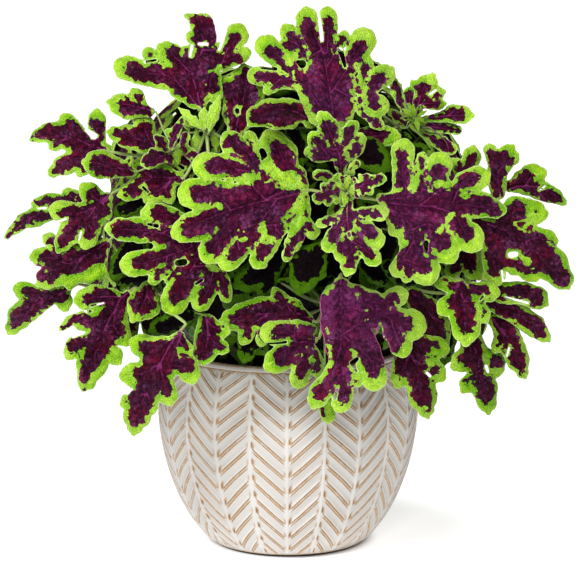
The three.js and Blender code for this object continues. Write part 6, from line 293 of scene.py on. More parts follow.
    {"n": "q8", "s": "T3", "shape": "sprig", "O": [92.4, -99.4, 343.8], "e1": [-0.1013, -0.787, 0.6086], "e2": [-0.9769, -0.0371, -0.2106], "e3": [0.1884, -0.6158, -0.765], "sc": 0.334, "w": [0, -4, 9, 0, 12], "a": [91.6, -73.9, 339.6], "d": 0.3, "gr": 1},
]

# extra paint strokes: leaf -> ("g" green | "p" purple, chain of circles)
STROKES = {
    "bigL": [["g", [[-26, 138, 5], [-22, 125, 6], [-11, 114, 6.5], [2, 109, 8], [14, 101, 5]]], ["g", [[-38, 157, 4], [-32, 143, 4], [-26, 130, 5]]], ["g", [[15, 92, 4], [13, 82, 7], [13, 72, 6], [9, 62, 5], [2, 53, 3.5]]], ["g", [[-30, 112, 2.5], [-45, 108, 4], [-60, 103, 4.5]]], ["g", [[-25, 62, 3], [-24, 50, 6], [-16, 48, 4]]], ["g", [[-50, 131, 3], [-63, 136, 4]]], ["g", [[-108, 77, 1.3], [-88, 80, 1.3], [-69, 83, 2.75]]], ["g", [[-86, 44, 1.3], [-78, 51, 1.3], [-70, 58, 1.75]]], ["g", [[-96, 108, 1.3], [-76, 107, 1.3], [-58, 107, 2.5], [-50, 109, 1.75]]], ["g", [[-64, 133, 1.5], [-49, 131, 1.75]]], ["g", [[-26, 48, 2.75], [-20, 50, 2.5]]], ["g", [[-48, 48, 1.3], [-42, 50, 1.375]]], ["g", [[-32, 26, 1.3], [-33, 42, 1.3]]]],
    "topC": [["g", [[-4, 238, 4], [2, 228, 6], [9, 236, 3]]], ["p", [[-2, 244, 3.5]]], ["g", [[68, 222, 3], [72, 210, 4], [76, 198, 4], [79, 183, 4.5], [84, 173, 4]]], ["p", [[93, 210, 7], [85, 198, 4.5], [87, 182, 6]]], ["g", [[15, 188, 5], [20, 176, 5], [28, 166, 4]]], ["g", [[4, 216, 1.3], [10, 196, 5.25], [4, 193, 3.75]]]],
    "rightC": [["g", [[129, 130, 4], [130, 114, 3], [126, 102, 2]]], ["g", [[150, 105, 4], [160, 104, 4]]], ["g", [[137, 50, 3], [138, 42, 4]]], ["g", [[112, 56, 4], [116, 46, 4]]], ["p", [[192, 81, 4], [208, 82, 2]]], ["p", [[136, 42, 4], [144, 30, 4]]], ["g", [[173, 98, 1.3], [177, 91, 1.5], [185, 91, 1.875]]], ["g", [[151, 56, 1.5], [156, 62, 1.875], [164, 72, 2.75]]], ["g", [[124, 99, 1.75], [110, 99, 1.3]]]],
    "frontC": [["g", [[61, 56, 2.5], [62, 50, 3]]], ["g", [[53, 48, 1.3], [56, 62, 1.3]]], ["g", [[69, 52, 1.3], [65, 70, 1.3]]]],
    "shelfC": [["p", [[37, -12, 6], [34, -42, 6], [36, -68, 5]]], ["p", [[84, -37, 7], [90, -57, 8], [92, -74, 6]]], ["p", [[82, -12, 6], [97, -24, 7], [114, -37, 8]]], ["p", [[104, -8, 6], [110, -12, 3]]], ["p", [[104, -46, 7], [108, -57, 6]]], ["p", [[57, -37, 9], [62, -57, 8]]], ["g", [[66, -64, 3], [70, -76, 4], [68, -88, 4]]]],
    "shield": [["g", [[155, 3, 5], [152, -12, 6], [158, -24, 4]]], ["g", [[190, -12, 3], [191, -32, 4], [188, -48, 4]]], ["p", [[199, -3, 3], [201, -9, 2.4]]], ["g", [[164, -34, 3], [166, -48, 4]]], ["g", [[165, -30, 1.3], [166, -18, 1.3]]]],
    "rightB": [["g", [[244, 80, 5], [243, 72, 6], [253, 66, 6]]], ["p", [[261, 48, 3], [265, 41, 2]]], ["g", [[232, 34, 4], [240, 26, 4]]]],
    "lowTip": [["g", [[40, -116, 5], [42, -128, 5]]]],
    "leftB": [["p", [[-248, 18, 5], [-246, 9, 4]]], ["g", [[-226, 6, 6], [-213, 6, 7], [-198, 11, 7], [-186, 20, 7]]]],
    "lowL2": [["g", [[-170, -62, 6], [-176, -69, 6], [-184, -79, 5], [-192, -88, 5], [-198, -100, 5]]]],
    "lowR1": [["g", [[148, -64, 4], [142, -74, 4]]], ["g", [[130, -123, 4], [140, -120, 3]]]],
    "lowR2": [["g", [[198, -62, 3.4], [199, -78, 3.4], [201, -86, 2]]], ["g", [[182, -96, 3], [186, -106, 3]]]],
    "upL1": [["p", [[-76, 262, 5], [-72, 250, 4]]]],
    "midL": [["g", [[-83, 26, 2], [-74, 20, 4], [-62, 18, 3]]]],
    "upM": [["g", [[-51, 178, 4.5], [-50, 176, 4.5]]]],
    "rosU": [["g", [[33, 175, 5.5], [41, 175, 6.5], [47, 170, 4.5]]], ["g", [[62, 168, 4], [66, 166, 4.5]]], ["g", [[23, 154, 4], [19, 147, 3.5]]], ["g", [[18, 139, 3.5], [21, 133, 3]]], ["g", [[71, 154, 4], [76, 146, 4]]], ["g", [[49, 147, 2], [53, 145, 1.8]]], ["g", [[57, 138, 2.2], [62, 142, 2]]]],
}

# painted shade: how much each leaf is darkened, most for the inner leaves, a little for outer and lower ones
SHADE_LEAVES = {"inC2": 0.9, "inC3": 0.9, "inL1": 0.9, "inL2": 0.9, "inL3": 0.9, "inL4": 0.9, "inR5": 0.9, "inR6": 0.9, "inR7": 0.9, "inB1": 0.9, "inB2": 0.9, "inR8": 0.9, "inT1": 0.9, "inT2": 0.9, "inL5": 0.9, "inR9": 0.9, "upL2": 0.3, "inC1": 0.85, "inR1": 0.8, "rightM1": 0.26, "rightM2": 0.26, "rightL1": 0.26, "lowR2": 0.3, "lowR1": 0.3, "inR3": 0.4, "midUL2": 0.15, "midUL": 0.1, "shelfL": 0.12, "farL3": 0.1, "lowTip": 0.1, "leftM": 0.16, "leftB": 0.16, "farL": 0.15, "farL2": 0.15, "lowL2": 0.14, "lowL1": 0.14, "nearL": 0.1, "upL4": 0.1, "leftT": 0.1, "rightU": 0.08, "rightU3": 0.08, "rightU2": 0.18, "rightB": 0.14, "shield": 0.1, "midC": 0.16, "shelfC": 0.04}

POT_PROFILE = [(61.6, 2.6), (67, 8), (73.4, 16), (79.7, 26), (86.6, 40), (93.7, 60), (98.2, 80), (100.6, 100), (99.6, 120), (95.6, 140), (92, 155)]


# ---- small numeric helpers ----------------------------------------------------------------
def lift(u, v, w):
    d = AXF + np.multiply.outer(u / SCALE, AXR) + np.multiply.outer(v / SCALE, AXU)
    return EYE + d * (DIST + w)[..., None]


def hash2(ix, iy, seed):
    h = (ix.astype(np.int64) * 374761393 + iy.astype(np.int64) * 668265263 + int(seed) * 2246822519) & 0xFFFFFFFF
    h = ((h ^ (h >> 13)) * 1274126177) & 0xFFFFFFFF
    h = ((h ^ (h >> 16)) * 2246822519) & 0xFFFFFFFF
    h = h ^ (h >> 15)
    return (h & 0xFFFFFF) / float(0x1000000)


def vnoise(x, y, seed):
    ix, iy = np.floor(x), np.floor(y)
    fx, fy = x - ix, y - iy
    fx, fy = fx * fx * fx * (fx * (fx * 6 - 15) + 10), fy * fy * fy * (fy * (fy * 6 - 15) + 10)
    a, b = hash2(ix, iy, seed), hash2(ix + 1, iy, seed)
    c, d = hash2(ix, iy + 1, seed), hash2(ix + 1, iy + 1, seed)
    return (a + (b - a) * fx + (c - a) * fy + (a - b - c + d) * fx * fy) * 2 - 1


def cells(x, y, seed, jitter=0.8):
    """distances to the nearest and second nearest of jittered lattice points"""
    ix, iy = np.floor(x), np.floor(y)
    f1 = np.full(x.shape, 9.0)
    f2 = np.full(x.shape, 9.0)
    for dx in (-1, 0, 1):
        for dy in (-1, 0, 1):
            cx, cy = ix + dx, iy + dy
            px = cx + 0.5 + jitter * (hash2(cx, cy, seed) - 0.5)
            py = cy + 0.5 + jitter * (hash2(cx, cy, seed + 17) - 0.5)
            d = np.hypot(x - px, y - py)
            f2 = np.minimum(f2, np.maximum(f1, d))
            f1 = np.minimum(f1, d)
    return f1, f2


def sstep(a, b, x):
    t = np.clip((x - a) / (b - a), 0, 1)
    return t * t * (3 - 2 * t)


def chain_dist(x, y, chain):
    best = None
    if len(chain) == 1:
        chain = [chain[0], chain[0]]
    for (ax, ay, ar), (bx, by, br) in zip(chain[:-1], chain[1:]):
        dx, dy = bx - ax, by - ay
        l2 = dx * dx + dy * dy
        t = np.clip(((x - ax) * dx + (y - ay) * dy) / l2, 0, 1) if l2 > 1e-9 else np.zeros_like(x)
        d = np.hypot(x - ax - t * dx, y - ay - t * dy) - (ar + (br - ar) * t)
        best = d if best is None else np.minimum(best, d)
    return best


def union_dist(x, y, chains, k=2.0):
    out = None
    for ch in chains:
        d = chain_dist(x, y, ch)
        if out is None:
            out = d
        else:
            h = np.maximum(k - np.abs(out - d), 0) / k
            out = np.minimum(out, d) - h * h * k * 0.25
    return out


def line_dist(x, y, pts):
    best = np.full(x.shape, 1e9)
    at = np.zeros(x.shape)
    run = 0.0
    for (ax, ay), (bx, by) in zip(pts[:-1], pts[1:]):
        dx, dy = bx - ax, by - ay
        l = math.hypot(dx, dy)
        if l < 1e-9:
            continue
        t = np.clip(((x - ax) * dx + (y - ay) * dy) / (l * l), 0, 1)
        d = np.hypot(x - ax - t * dx, y - ay - t * dy)
        at = np.where(d < best, run + t * l, at)
        best = np.minimum(best, d)
        run += l
    return best, at / max(run, 1e-9)


def catmull(pts, n):
    pts = [np.array(p, float) for p in pts]
    q = [2 * pts[0] - pts[1]] + pts + [2 * pts[-1] - pts[-2]]
    out = []
    for i in range(1, len(q) - 2):
        a, b, c, d = q[i - 1], q[i], q[i + 1], q[i + 2]
        for k in range(n):
            t = k / n
            out.append(0.5 * ((2 * b) + (c - a) * t + (2 * a - 5 * b + 4 * c - d) * t * t + (3 * b - a - 3 * c + d) * t ** 3))
    out.append(pts[-1])
    return np.array(out)


def even(pts, step):
    pts = np.asarray(pts, float)
    seg = np.linalg.norm(np.diff(pts, axis=0), axis=1)
    run = np.concatenate([[0], np.cumsum(seg)])
    n = max(2, int(round(run[-1] / step)) + 1)
    at = np.linspace(0, run[-1], n)
    return np.stack([np.interp(at, run, pts[:, k]) for k in range(pts.shape[1])], 1)


# ---- a bag of triangles -------------------------------------------------------------------
ATTRS = ("edge", "tint", "vein", "pucker", "shade", "young", "dry")


class Bag:
    def __init__(self):
        self.v, self.f, self.m, self.a, self.lp = [], [], [], {k: [] for k in ATTRS}, []
        self.n = 0

    def add(self, verts, faces, mat, lp=None, **attrs):
        verts = np.asarray(verts, float)
        faces = np.asarray(faces, np.int64)
        self.v.append(verts)
        self.f.append(faces + self.n)
        self.m.append(np.full(len(faces), mat, np.int32))
        for k in ATTRS:
            x = attrs.get(k, 0.0)
            self.a[k].append(np.broadcast_to(np.asarray(x, float), (len(verts),)).copy())
        self.lp.append(np.zeros((len(verts), 3)) if lp is None else lp)
        self.n += len(verts)

    def build(self, name, materials, smooth=True):
        V = np.concatenate(self.v) * MM
        F = np.concatenate(self.f)
        M = np.concatenate(self.m)
        me = bpy.data.meshes.new(name)
        me.vertices.add(len(V))
        me.vertices.foreach_set("co", V.ravel())
        me.loops.add(len(F) * 3)
        me.loops.foreach_set("vertex_index", F.ravel().astype(np.int32))
        me.polygons.add(len(F))
        me.polygons.foreach_set("loop_start", np.arange(0, len(F) * 3, 3, dtype=np.int32))
        me.polygons.foreach_set("loop_total", np.full(len(F), 3, np.int32))
        me.polygons.foreach_set("use_smooth", np.full(len(F), smooth))
        for k in ATTRS:
            at = me.attributes.new(k, "FLOAT", "POINT")
            at.data.foreach_set("value", np.concatenate(self.a[k]).astype(np.float32))
        at = me.attributes.new("lp", "FLOAT_VECTOR", "POINT")
        at.data.foreach_set("vector", np.concatenate(self.lp).astype(np.float32).ravel())
        for m in materials:
            me.materials.append(m)
        me.polygons.foreach_set("material_index", M)
        me.update(calc_edges=True)
        me.validate()
        ob = bpy.data.objects.new(name, me)
        bpy.context.scene.collection.objects.link(ob)
        return ob


def tube(bag, path, radii, mat, sides=8, cap=True, **attrs):
    path = np.asarray(path, float)
    n = len(path)
    radii = np.broadcast_to(np.asarray(radii, float), (n,))
    tan = np.gradient(path, axis=0)
    tan /= np.linalg.norm(tan, axis=1)[:, None] + 1e-12
    ref = np.array([0.0, 0.0, 1.0]) if abs(tan[0][2]) < 0.9 else np.array([1.0, 0.0, 0.0])
    nx = np.cross(tan[0], ref)
    nx /= np.linalg.norm(nx)
    rings, lp = [], []
    ang = np.arange(sides) * 2 * math.pi / sides
    run = 0.0
    for i in range(n):
        nx = nx - tan[i] * (nx @ tan[i])
        nx /= np.linalg.norm(nx) + 1e-12
        ny = np.cross(tan[i], nx)
        rings.append(path[i] + radii[i] * (np.cos(ang)[:, None] * nx + np.sin(ang)[:, None] * ny))
        if i:
            run += np.linalg.norm(path[i] - path[i - 1])
        lp.append(np.stack([np.full(sides, run / UNIT), ang * radii[i] / UNIT, np.full(sides, 5.0)], 1))
    V = np.concatenate(rings)
    LP = np.concatenate(lp)
    F = []
    for i in range(n - 1):
        for k in range(sides):
            a, b = i * sides + k, i * sides + (k + 1) % sides
            c, d = a + sides, b + sides
            F += [(a, b, d), (a, d, c)]
    if cap:
        V = np.concatenate([V, path[:1], path[-1:]])
        LP = np.concatenate([LP, LP[:1], LP[-1:]])
        s, e = len(V) - 2, len(V) - 1
        for k in range(sides):
            F.append((s, (k + 1) % sides, k))
            F.append((e, (n - 1) * sides + k, (n - 1) * sides + (k + 1) % sides))
    bag.add(V, F, mat, lp=LP, **attrs)


# ---- blade ----------------------------------------------------------------------------------
def contour(fn, x0, y0, x1, y1, step):
    """closed loops of fn = 0, inside (negative) on the left"""
    xs = np.arange(x0, x1 + step, step)
    ys = np.arange(y0, y1 + step, step)
    X, Y = np.meshgrid(xs, ys)
    f = fn(X, Y)
    f = np.where(np.abs(f) < 1e-6, 1e-6, f)
    ny, nx = f.shape
    inside = f < 0
    pts, nxt = {}, {}

    def cut(i, j, k, l):
        key = (i, j, k, l) if (i, j) < (k, l) else (k, l, i, j)
        if key not in pts:
            a, b = f[j, i], f[l, k]
            t = a / (a - b)
            pts[key] = (xs[i] + (k - i) * t * step, ys[j] + (l - j) * t * step)
        return key

    code = inside[:-1, :-1] * 1 + inside[:-1, 1:] * 2 + inside[1:, 1:] * 4 + inside[1:, :-1] * 8
    for j, i in zip(*np.nonzero((code > 0) & (code < 15))):
        c = [(i, j), (i + 1, j), (i + 1, j + 1), (i, j + 1)]
        s = [bool(inside[b, a]) for a, b in c]
        out = [e for e in range(4) if s[e] and not s[(e + 1) % 4]]
        inn = [e for e in range(4) if not s[e] and s[(e + 1) % 4]]
        if len(out) == 1:
            nxt[cut(*c[out[0]], *c[(out[0] + 1) % 4])] = cut(*c[inn[0]], *c[(inn[0] + 1) % 4])
        else:
            for e in out:
                t = (e + 1) % 4
                nxt[cut(*c[e], *c[(e + 1) % 4])] = cut(*c[t], *c[(t + 1) % 4])
    loops, seen = [], set()
    for start in nxt:
        if start in seen:
            continue
        loop, k = [], start
        while k is not None and k not in seen:
            seen.add(k)
            loop.append(pts[k])
            k = nxt.get(k)
        if len(loop) > 5:
            loops.append(np.array(loop))
    return loops


def veins_of(leaf):
    """midrib, then a side vein into every lobe, leaving its parent at a slant"""
    mid = even(catmull(leaf["m"], 8), 1.4)
    out = [mid]
    lobes = leaf["c"][1:]
    size = np.linalg.norm(mid[-1] - mid[0])
    order = sorted(range(len(lobes)), key=lambda i: -math.hypot(lobes[i][-1][0] - lobes[i][0][0], lobes[i][-1][1] - lobes[i][0][1]))
    for i in order:
        ch = lobes[i]
        tip = np.array(ch[-1][:2], float)
        best = None
        for k, v in enumerate(out):
            if len(v) < 5:
                continue
            n = len(v)
            tan = np.gradient(v, axis=0)
            tan /= np.linalg.norm(tan, axis=1)[:, None] + 1e-9
            d = tip - v
            L = np.linalg.norm(d, axis=1) + 1e-9
            ang = np.degrees(np.arccos(np.clip((d * tan).sum(1) / L, -1, 1)))
            cost = np.abs(ang - 40) + 0.35 * L + (6 if k else 0)
            cost[int(n * 0.86):] += 40
            cost[0] += 4
            j = int(np.argmin(cost))
            if best is None or cost[j] < best[0]:
                best = (cost[j], v[j])
        if best is None:
            continue
        foot = best[1]
        far = np.linalg.norm(tip - foot)
        if far < 5:
            continue
        pts = [foot]
        for p in ch[:-1]:
            q = np.array(p[:2], float)
            if np.linalg.norm(q - foot) > 0.4 * far and np.linalg.norm(q - tip) > 3 and np.linalg.norm(q - foot) < 0.95 * far:
                pts.append(q)
        u = (tip - pts[-1]) / (np.linalg.norm(tip - pts[-1]) + 1e-9)
        pts.append(tip + u * ch[-1][2] * 0.35)
        out.append(even(catmull(pts, 6), 1.4))
    # finer side veins between them, off the long ones
    if size > 45:
        extra = []
        for k, v in enumerate(out):
            n = len(v)
            if n < 16:
                continue
            tan = np.gradient(v, axis=0)
            tan /= np.linalg.norm(tan, axis=1)[:, None] + 1e-9
            for side in (1, -1):
                for j in range(5 + (3 if side > 0 else 0), int(n * 0.85), 7):
                    nrm = np.array([-tan[j][1], tan[j][0]]) * side
                    d = tan[j] * 0.72 + nrm * 0.70
                    l = 7.5 + 3.0 * ((j * 7 + k * 3) % 5) / 5.0
                    p1 = v[j] + d * l * 0.5
                    p2 = v[j] + d * l + tan[j] * l * 0.12
                    extra.append(even(catmull([v[j], p1, p2], 5), 1.4))
        leaf["minor"] = extra
    return out


def purple_chains(leaf):
    out = []
    big = leaf["k"] == "leaf"
    for ci, ch in enumerate(leaf.get("pc", leaf["c"])):
        pts = []
        n = len(ch)
        for i, (x, y, r) in enumerate(ch):
            if leaf["k"] == "tip":
                pts.append((x, y, max(0.3, r - (1.5 if i < n - 1 else 2.3))))
            elif i == n - 1:
                px, py = (ch[i - 1][0], ch[i - 1][1]) if n > 1 else (x, y)
                l = math.hypot(px - x, py - y) or 1
                k = 0.46 * r
                nx, ny = x + (px - x) / l * k, y + (py - y) / l * k
                pts.append((nx, ny, 0.56 * r if r > 5 else 0.40 * r))
            else:
                m = min(4.6, max(1.8, 0.30 * r))
                pts.append((x, y, max(0.3, r - m)))
        out.append(pts)
    return out


MAIN_R = 2.2


def blade(bag, leaf, place, step, mat, seed, scale=1.0, shade=0.0, young=0.0, puck=0.42, thick=0.42, roll=1.0, dry=0.0, underside=None, green=0.0):
    """place(x, y, h) -> mm, arrays; h is the height above the smooth sheet"""
    chains, cuts = leaf["c"], leaf.get("x", [])
    allp = [p for c in chains for p in c]
    x0 = min(p[0] - p[2] for p in allp) - 3
    x1 = max(p[0] + p[2] for p in allp) + 3
    y0 = min(p[1] - p[2] for p in allp) - 3
    y1 = max(p[1] + p[2] for p in allp) + 3

    def wob(x, y):
        a = 0.55 if step < 2 else 0.3
        # small scallops round every lobe
        f1, _ = cells(x / 8.6, y / 8.6, seed + 21)
        return a * vnoise(x / 5.0, y / 5.0, seed) + 0.45 * a * vnoise(x / 2.3, y / 2.3, seed + 5) + 0.4 - 0.95 * np.clip(1 - (f1 / 0.72) ** 2, 0, 1)

    def full(x, y):
        f = union_dist(x, y, chains) + wob(x, y)
        for c in cuts:
            f = np.maximum(f, -chain_dist(x, y, c))
        return f

    loops = contour(full, x0, y0, x1, y1, min(1.0, step * 0.7))
    if not loops:
        return
    big = max(loops, key=lambda l: abs(np.sum(l[:, 0] * np.roll(l[:, 1], -1) - np.roll(l[:, 0], -1) * l[:, 1])))
    lo, hi = big.min(0), big.max(0)
    keep = []
    for l in loops:
        if l is big:
            keep.append(l)
        elif len(l) > 8 and (l.min(0) > lo).all() and (l.max(0) < hi).all():
            keep.append(l)
    rings = []
    for l in keep:
        e = even(np.concatenate([l, l[:1]]), step * 0.85)[:-1]
        if len(e) >= 4:
            rings.append(e)
    veins = veins_of(leaf)

    def triangulate(spacing, with_veins):
        pts, edges = [], []
        for r in rings:
            b = len(pts)
            pts += [tuple(p) for p in r]
            edges += [(b + i, b + (i + 1) % len(r)) for i in range(len(r))]
        nb = len(pts)
        taken = []
        if with_veins:
            for v in veins:
                fv = full(v[:, 0], v[:, 1])
                ok = fv < -1.3 * min(1.0, spacing)
                good = v[ok]
                if taken:
                    prev = np.array(taken)
                    d = np.sqrt(((good[:, None] - prev[None]) ** 2).sum(2)).min(1) if len(good) else np.zeros(0)
                    good = good[d > 0.8]
                for p in good:
                    taken.append(tuple(p))
        dy = spacing * 0.866
        gy = np.arange(y0, y1, dy)
        rows = []
        for j, y in enumerate(gy):
            gx = np.arange(x0 + (spacing * 0.5 if j % 2 else 0), x1, spacing)
            rows.append(np.stack([gx, np.full(gx.shape, y)], 1))
        g = np.concatenate(rows)
        g = g[full(g[:, 0], g[:, 1]) < -0.62 * spacing]
        if taken and len(g):
            t = np.array(taken)
            keepm = np.ones(len(g), bool)
            for s0 in range(0, len(g), 4000):
                d = ((g[s0:s0 + 4000, None] - t[None]) ** 2).sum(2).min(1)
                keepm[s0:s0 + 4000] = d > (0.62 * spacing) ** 2
            g = g[keepm]
        pts += taken + [tuple(p) for p in g]
        r = delaunay_2d_cdt([Vector(p) for p in pts], edges, [], 0, 1e-5)
        vo, fo = np.array([(v.x, v.y) for v in r[0]]), [tuple(f) for f in r[2]]
        fo = np.array([f for f in fo if len(f) == 3], np.int64)
        where = np.full(len(pts), -1, np.int64)
        for o, src in enumerate(r[3]):
            for i in src:
                where[i] = o
        c = vo[fo].mean(1)
        # inside test against the rings, by winding
        ins = np.zeros(len(c), bool)
        for rg in rings:
            ax, ay = rg[:, 0], rg[:, 1]
            bx, by = np.roll(ax, -1), np.roll(ay, -1)
            for s0 in range(0, len(c), 4000):
                cx, cy = c[s0:s0 + 4000, 0][:, None], c[s0:s0 + 4000, 1][:, None]
                cross = ((ay > cy) != (by > cy)) & (cx < (bx - ax) * (cy - ay) / np.where(np.abs(by - ay) < 1e-12, 1e-12, by - ay) + ax)
                ins[s0:s0 + 4000] ^= (cross.sum(1) % 2).astype(bool)
        fo = fo[ins]
        # counter-clockwise
        a, b, d = vo[fo[:, 0]], vo[fo[:, 1]], vo[fo[:, 2]]
        area = (b[:, 0] - a[:, 0]) * (d[:, 1] - a[:, 1]) - (b[:, 1] - a[:, 1]) * (d[:, 0] - a[:, 0])
        fo[area < 0] = fo[area < 0][:, ::-1]
        fo = fo[np.abs(area) > 1e-7]
        return vo, fo, where[:nb]

    def height(x, y, f, vd, md, nd):
        """relief above the smooth sheet, mm: veins sunk, puckers between them, rolled edge"""
        e = np.clip(-f, 0, 40)
        sc = UNIT * scale
        bulge = 2.5 * sc * (1 - np.exp(-(vd / 5.2) ** 2)) * sstep(0, 7, e)
        bulge = bulge + 0.5 * sc * (1 - np.exp(-(nd / 2.6) ** 2)) * sstep(1, 6, e)
        f1, f2 = cells(x / 6.6 + 0.5 * vnoise(x / 14, y / 14, seed + 3), y / 6.6 + 0.5 * vnoise(x / 14, y / 14, seed + 4), seed + 9)
        p = np.clip((f2 - f1) / 0.62, 0, 1)
        p = p * (2 - p) * (0.72 + 0.28 * vnoise(x / 11, y / 11, seed + 12))
        pk = puck * p * sstep(0.3, 2.5, vd) * sstep(0.5, 4, e)
        wave = (1.9 * vnoise(x / 19, y / 19, seed + 31) + 0.8 * vnoise(x / 9, y / 9, seed + 37)) * sstep(16, 2, e) * sc
        rollw = -0.6 * sc * roll * np.clip((5.5 - e) / 5.5, 0, 1) ** 2
        mid = -0.55 * np.exp(-(md / 2.4) ** 2) * sstep(0, 4, e)
        small = 0.13 * vnoise(x / 2.0, y / 2.0, seed + 71)
        return bulge + pk + wave + rollw + mid + small, p

    def fields(vo):
        x, y = vo[:, 0], vo[:, 1]
        f = full(x, y)
        vd = np.full(x.shape, 99.0)
        along = np.zeros(x.shape)
        md = None
        for i, v in enumerate(veins):
            d, t = line_dist(x, y, v)
            if i == 0:
                md = d
            w = d + (0.9 * t if i == 0 else 0.2 + 0.8 * t)
            along = np.where(w < vd, t, along)
            vd = np.minimum(vd, w)
        nd = np.full(x.shape, 30.0)
        for v in leaf.get("minor", []):
            near = (np.abs(x - v[:, 0].mean()) < 18) & (np.abs(y - v[:, 1].mean()) < 18)
            if near.any():
                nd[near] = np.minimum(nd[near], line_dist(x[near], y[near], v)[0])
        return x, y, f, vd, md, nd

    g_ch = purple_chains(leaf)

    def tint(x, y, f):
        g = union_dist(x, y, g_ch, 3.0)
        g = np.maximum(g, union_dist(x, y, chains) + 1.3)
        for c in cuts:
            g = np.maximum(g, 1.5 - chain_dist(x, y, c))
        g = g + green
        for kind, ch in STROKES.get(leaf["n"], []):
            d = chain_dist(x, y, ch)
            g = np.maximum(g, -d) if kind == "g" else np.minimum(g, d)
        return g

    vo, fo, rim1 = triangulate(step, True)
    x, y, f, vd, md, nd = fields(vo)
    f[rim1] = 0
    h, p = height(x, y, f, vd, md, nd)
    g = tint(x, y, f)
    top = place(x, y, h + thick / 2)
    lp = np.stack([x, y, np.full(x.shape, float(seed % 97) * 3.7)], 1)
    # a young leaf is violet at its foot and wine red towards its lobes; on the upper leaves listed in VIOLET this
    # violet is partly a painted sheen
    mb, mt = leaf["m"][0], leaf["m"][-1]
    ll = (mt[0] - mb[0]) ** 2 + (mt[1] - mb[1]) ** 2

    def youth_and_sheen(x, y):
        return young * np.clip(1.25 - 1.35 * ((x - mb[0]) * (mt[0] - mb[0]) + (y - mb[1]) * (mt[1] - mb[1])) / ll, 0.1, 1)

    bag.add(top, fo, mat, lp=lp, edge=-f, tint=g, vein=np.minimum(vd, nd + 0.9), pucker=p, shade=shade, young=youth_and_sheen(x, y), dry=dry)
    base = bag.n - len(vo)
    # underside, coarser
    vb, fb, rim2 = triangulate(max(step * 2.6, 3.2), False)
    xb, yb, fbv, vdb, mdb, ndb = fields(vb)
    fbv[rim2] = 0
    hb, pb = height(xb, yb, fbv, vdb, mdb, ndb)
    gb = tint(xb, yb, fbv)
    bot = place(xb, yb, hb - thick / 2)
    lpb = np.stack([xb, yb, np.full(xb.shape, float(seed % 97) * 3.7 + 40)], 1)
    under = mat if underside is None else underside
    bag.add(bot, fb[:, ::-1], under, lp=lpb, edge=-fbv, tint=gb, vein=vdb, pucker=pb, shade=shade, young=young, dry=dry)
    base2 = bag.n - len(vb)
    # the rim between them: both start with the same ring points
    faces, off = [], 0
    for r in rings:
        n = len(r)
        for i in range(n):
            j = (i + 1) % n
            a, b = base + rim1[off + i], base + rim1[off + j]
            c, d = base2 + rim2[off + i], base2 + rim2[off + j]
            faces += [(a, c, d), (a, d, b)]
        off += n
    faces = np.array(faces, np.int64)
    # rings run with the blade on their left, so this winding points out
    bag.f.append(faces)
    bag.m.append(np.full(len(faces), mat, np.int32))

    def relief_at(px, py):
        _, _, ff, vv, mm, nn = fields(np.stack([px, py], 1))
        return height(px, py, ff, vv, mm, nn)[0]
    return relief_at


def quad_depth(leaf, coef):
    b = np.array(leaf["m"][0], float)
    t = np.array(leaf["m"][-1], float)
    l = np.hypot(*(t - b))
    ux, uy = (t - b) / l

    def at(x, y):
        s = ((x - b[0]) * ux + (y - b[1]) * uy) / l
        q = (-(x - b[0]) * uy + (y - b[1]) * ux) / l
        return s, q, coef[0] + coef[1] * s + coef[2] * s * s + coef[3] * q + coef[4] * q * q
    return at, l


def front_place(leaf):
    at, _ = quad_depth(leaf, leaf["w"])

    def place(x, y, h):
        x, y = np.asarray(x, float), np.asarray(y, float)
        return lift(x, y, at(x, y)[2] - h)
    return place




def point_lobes(leaf):
    """let every lobe narrow to a blunt point, most of all the leaf's own tip"""
    broad = leaf["n"] in ("bigL", "topC", "rightC", "frontC", "shelfC", "midL", "upL1", "rosU", "shelfL")
    leaf["pc"] = leaf["c"]
    out = []
    for i, ch in enumerate(leaf["c"]):
        if leaf["k"] != "tip" and len(ch) > 1 and ch[-1][2] >= 3:
            s = (0.7 if broad else 1.0) if i == 0 else (0.35 if broad else 0.75)
            (x0, y0), (x1, y1, r) = ch[-2][:2], ch[-1]
            d = math.hypot(x1 - x0, y1 - y0) or 1
            dx, dy, q = (x1 - x0) / d, (y1 - y0) / d, 1 - 0.72 * s
            ch = ch[:-1] + [[x1 - 0.12 * r * s * dx, y1 - 0.12 * r * s * dy, r * (1 - 0.1 * s)], [x1 + dx * r * (1 - q), y1 + dy * r * (1 - q), q * r]]
        out.append(ch)
    leaf["c"] = out


for l in LEAVES:
    point_lobes(l)
BY = {l["n"]: l for l in LEAVES}


def far_place(fl):
    shape = SPRIG if fl["shape"] == "sprig" else BY[fl["shape"]]
    at, l = quad_depth(shape, fl["w"])
    O, e1, e2, e3 = (np.array(fl[k], float) for k in ("O", "e1", "e2", "e3"))
    k = l * UNIT * fl["sc"]

    def place(x, y, h):
        x, y = np.asarray(x, float), np.asarray(y, float)
        s, q, w = at(x, y)
        return O + (s * k)[..., None] * e1 + (q * k)[..., None] * e2 + (h - w)[..., None] * e3
    return place


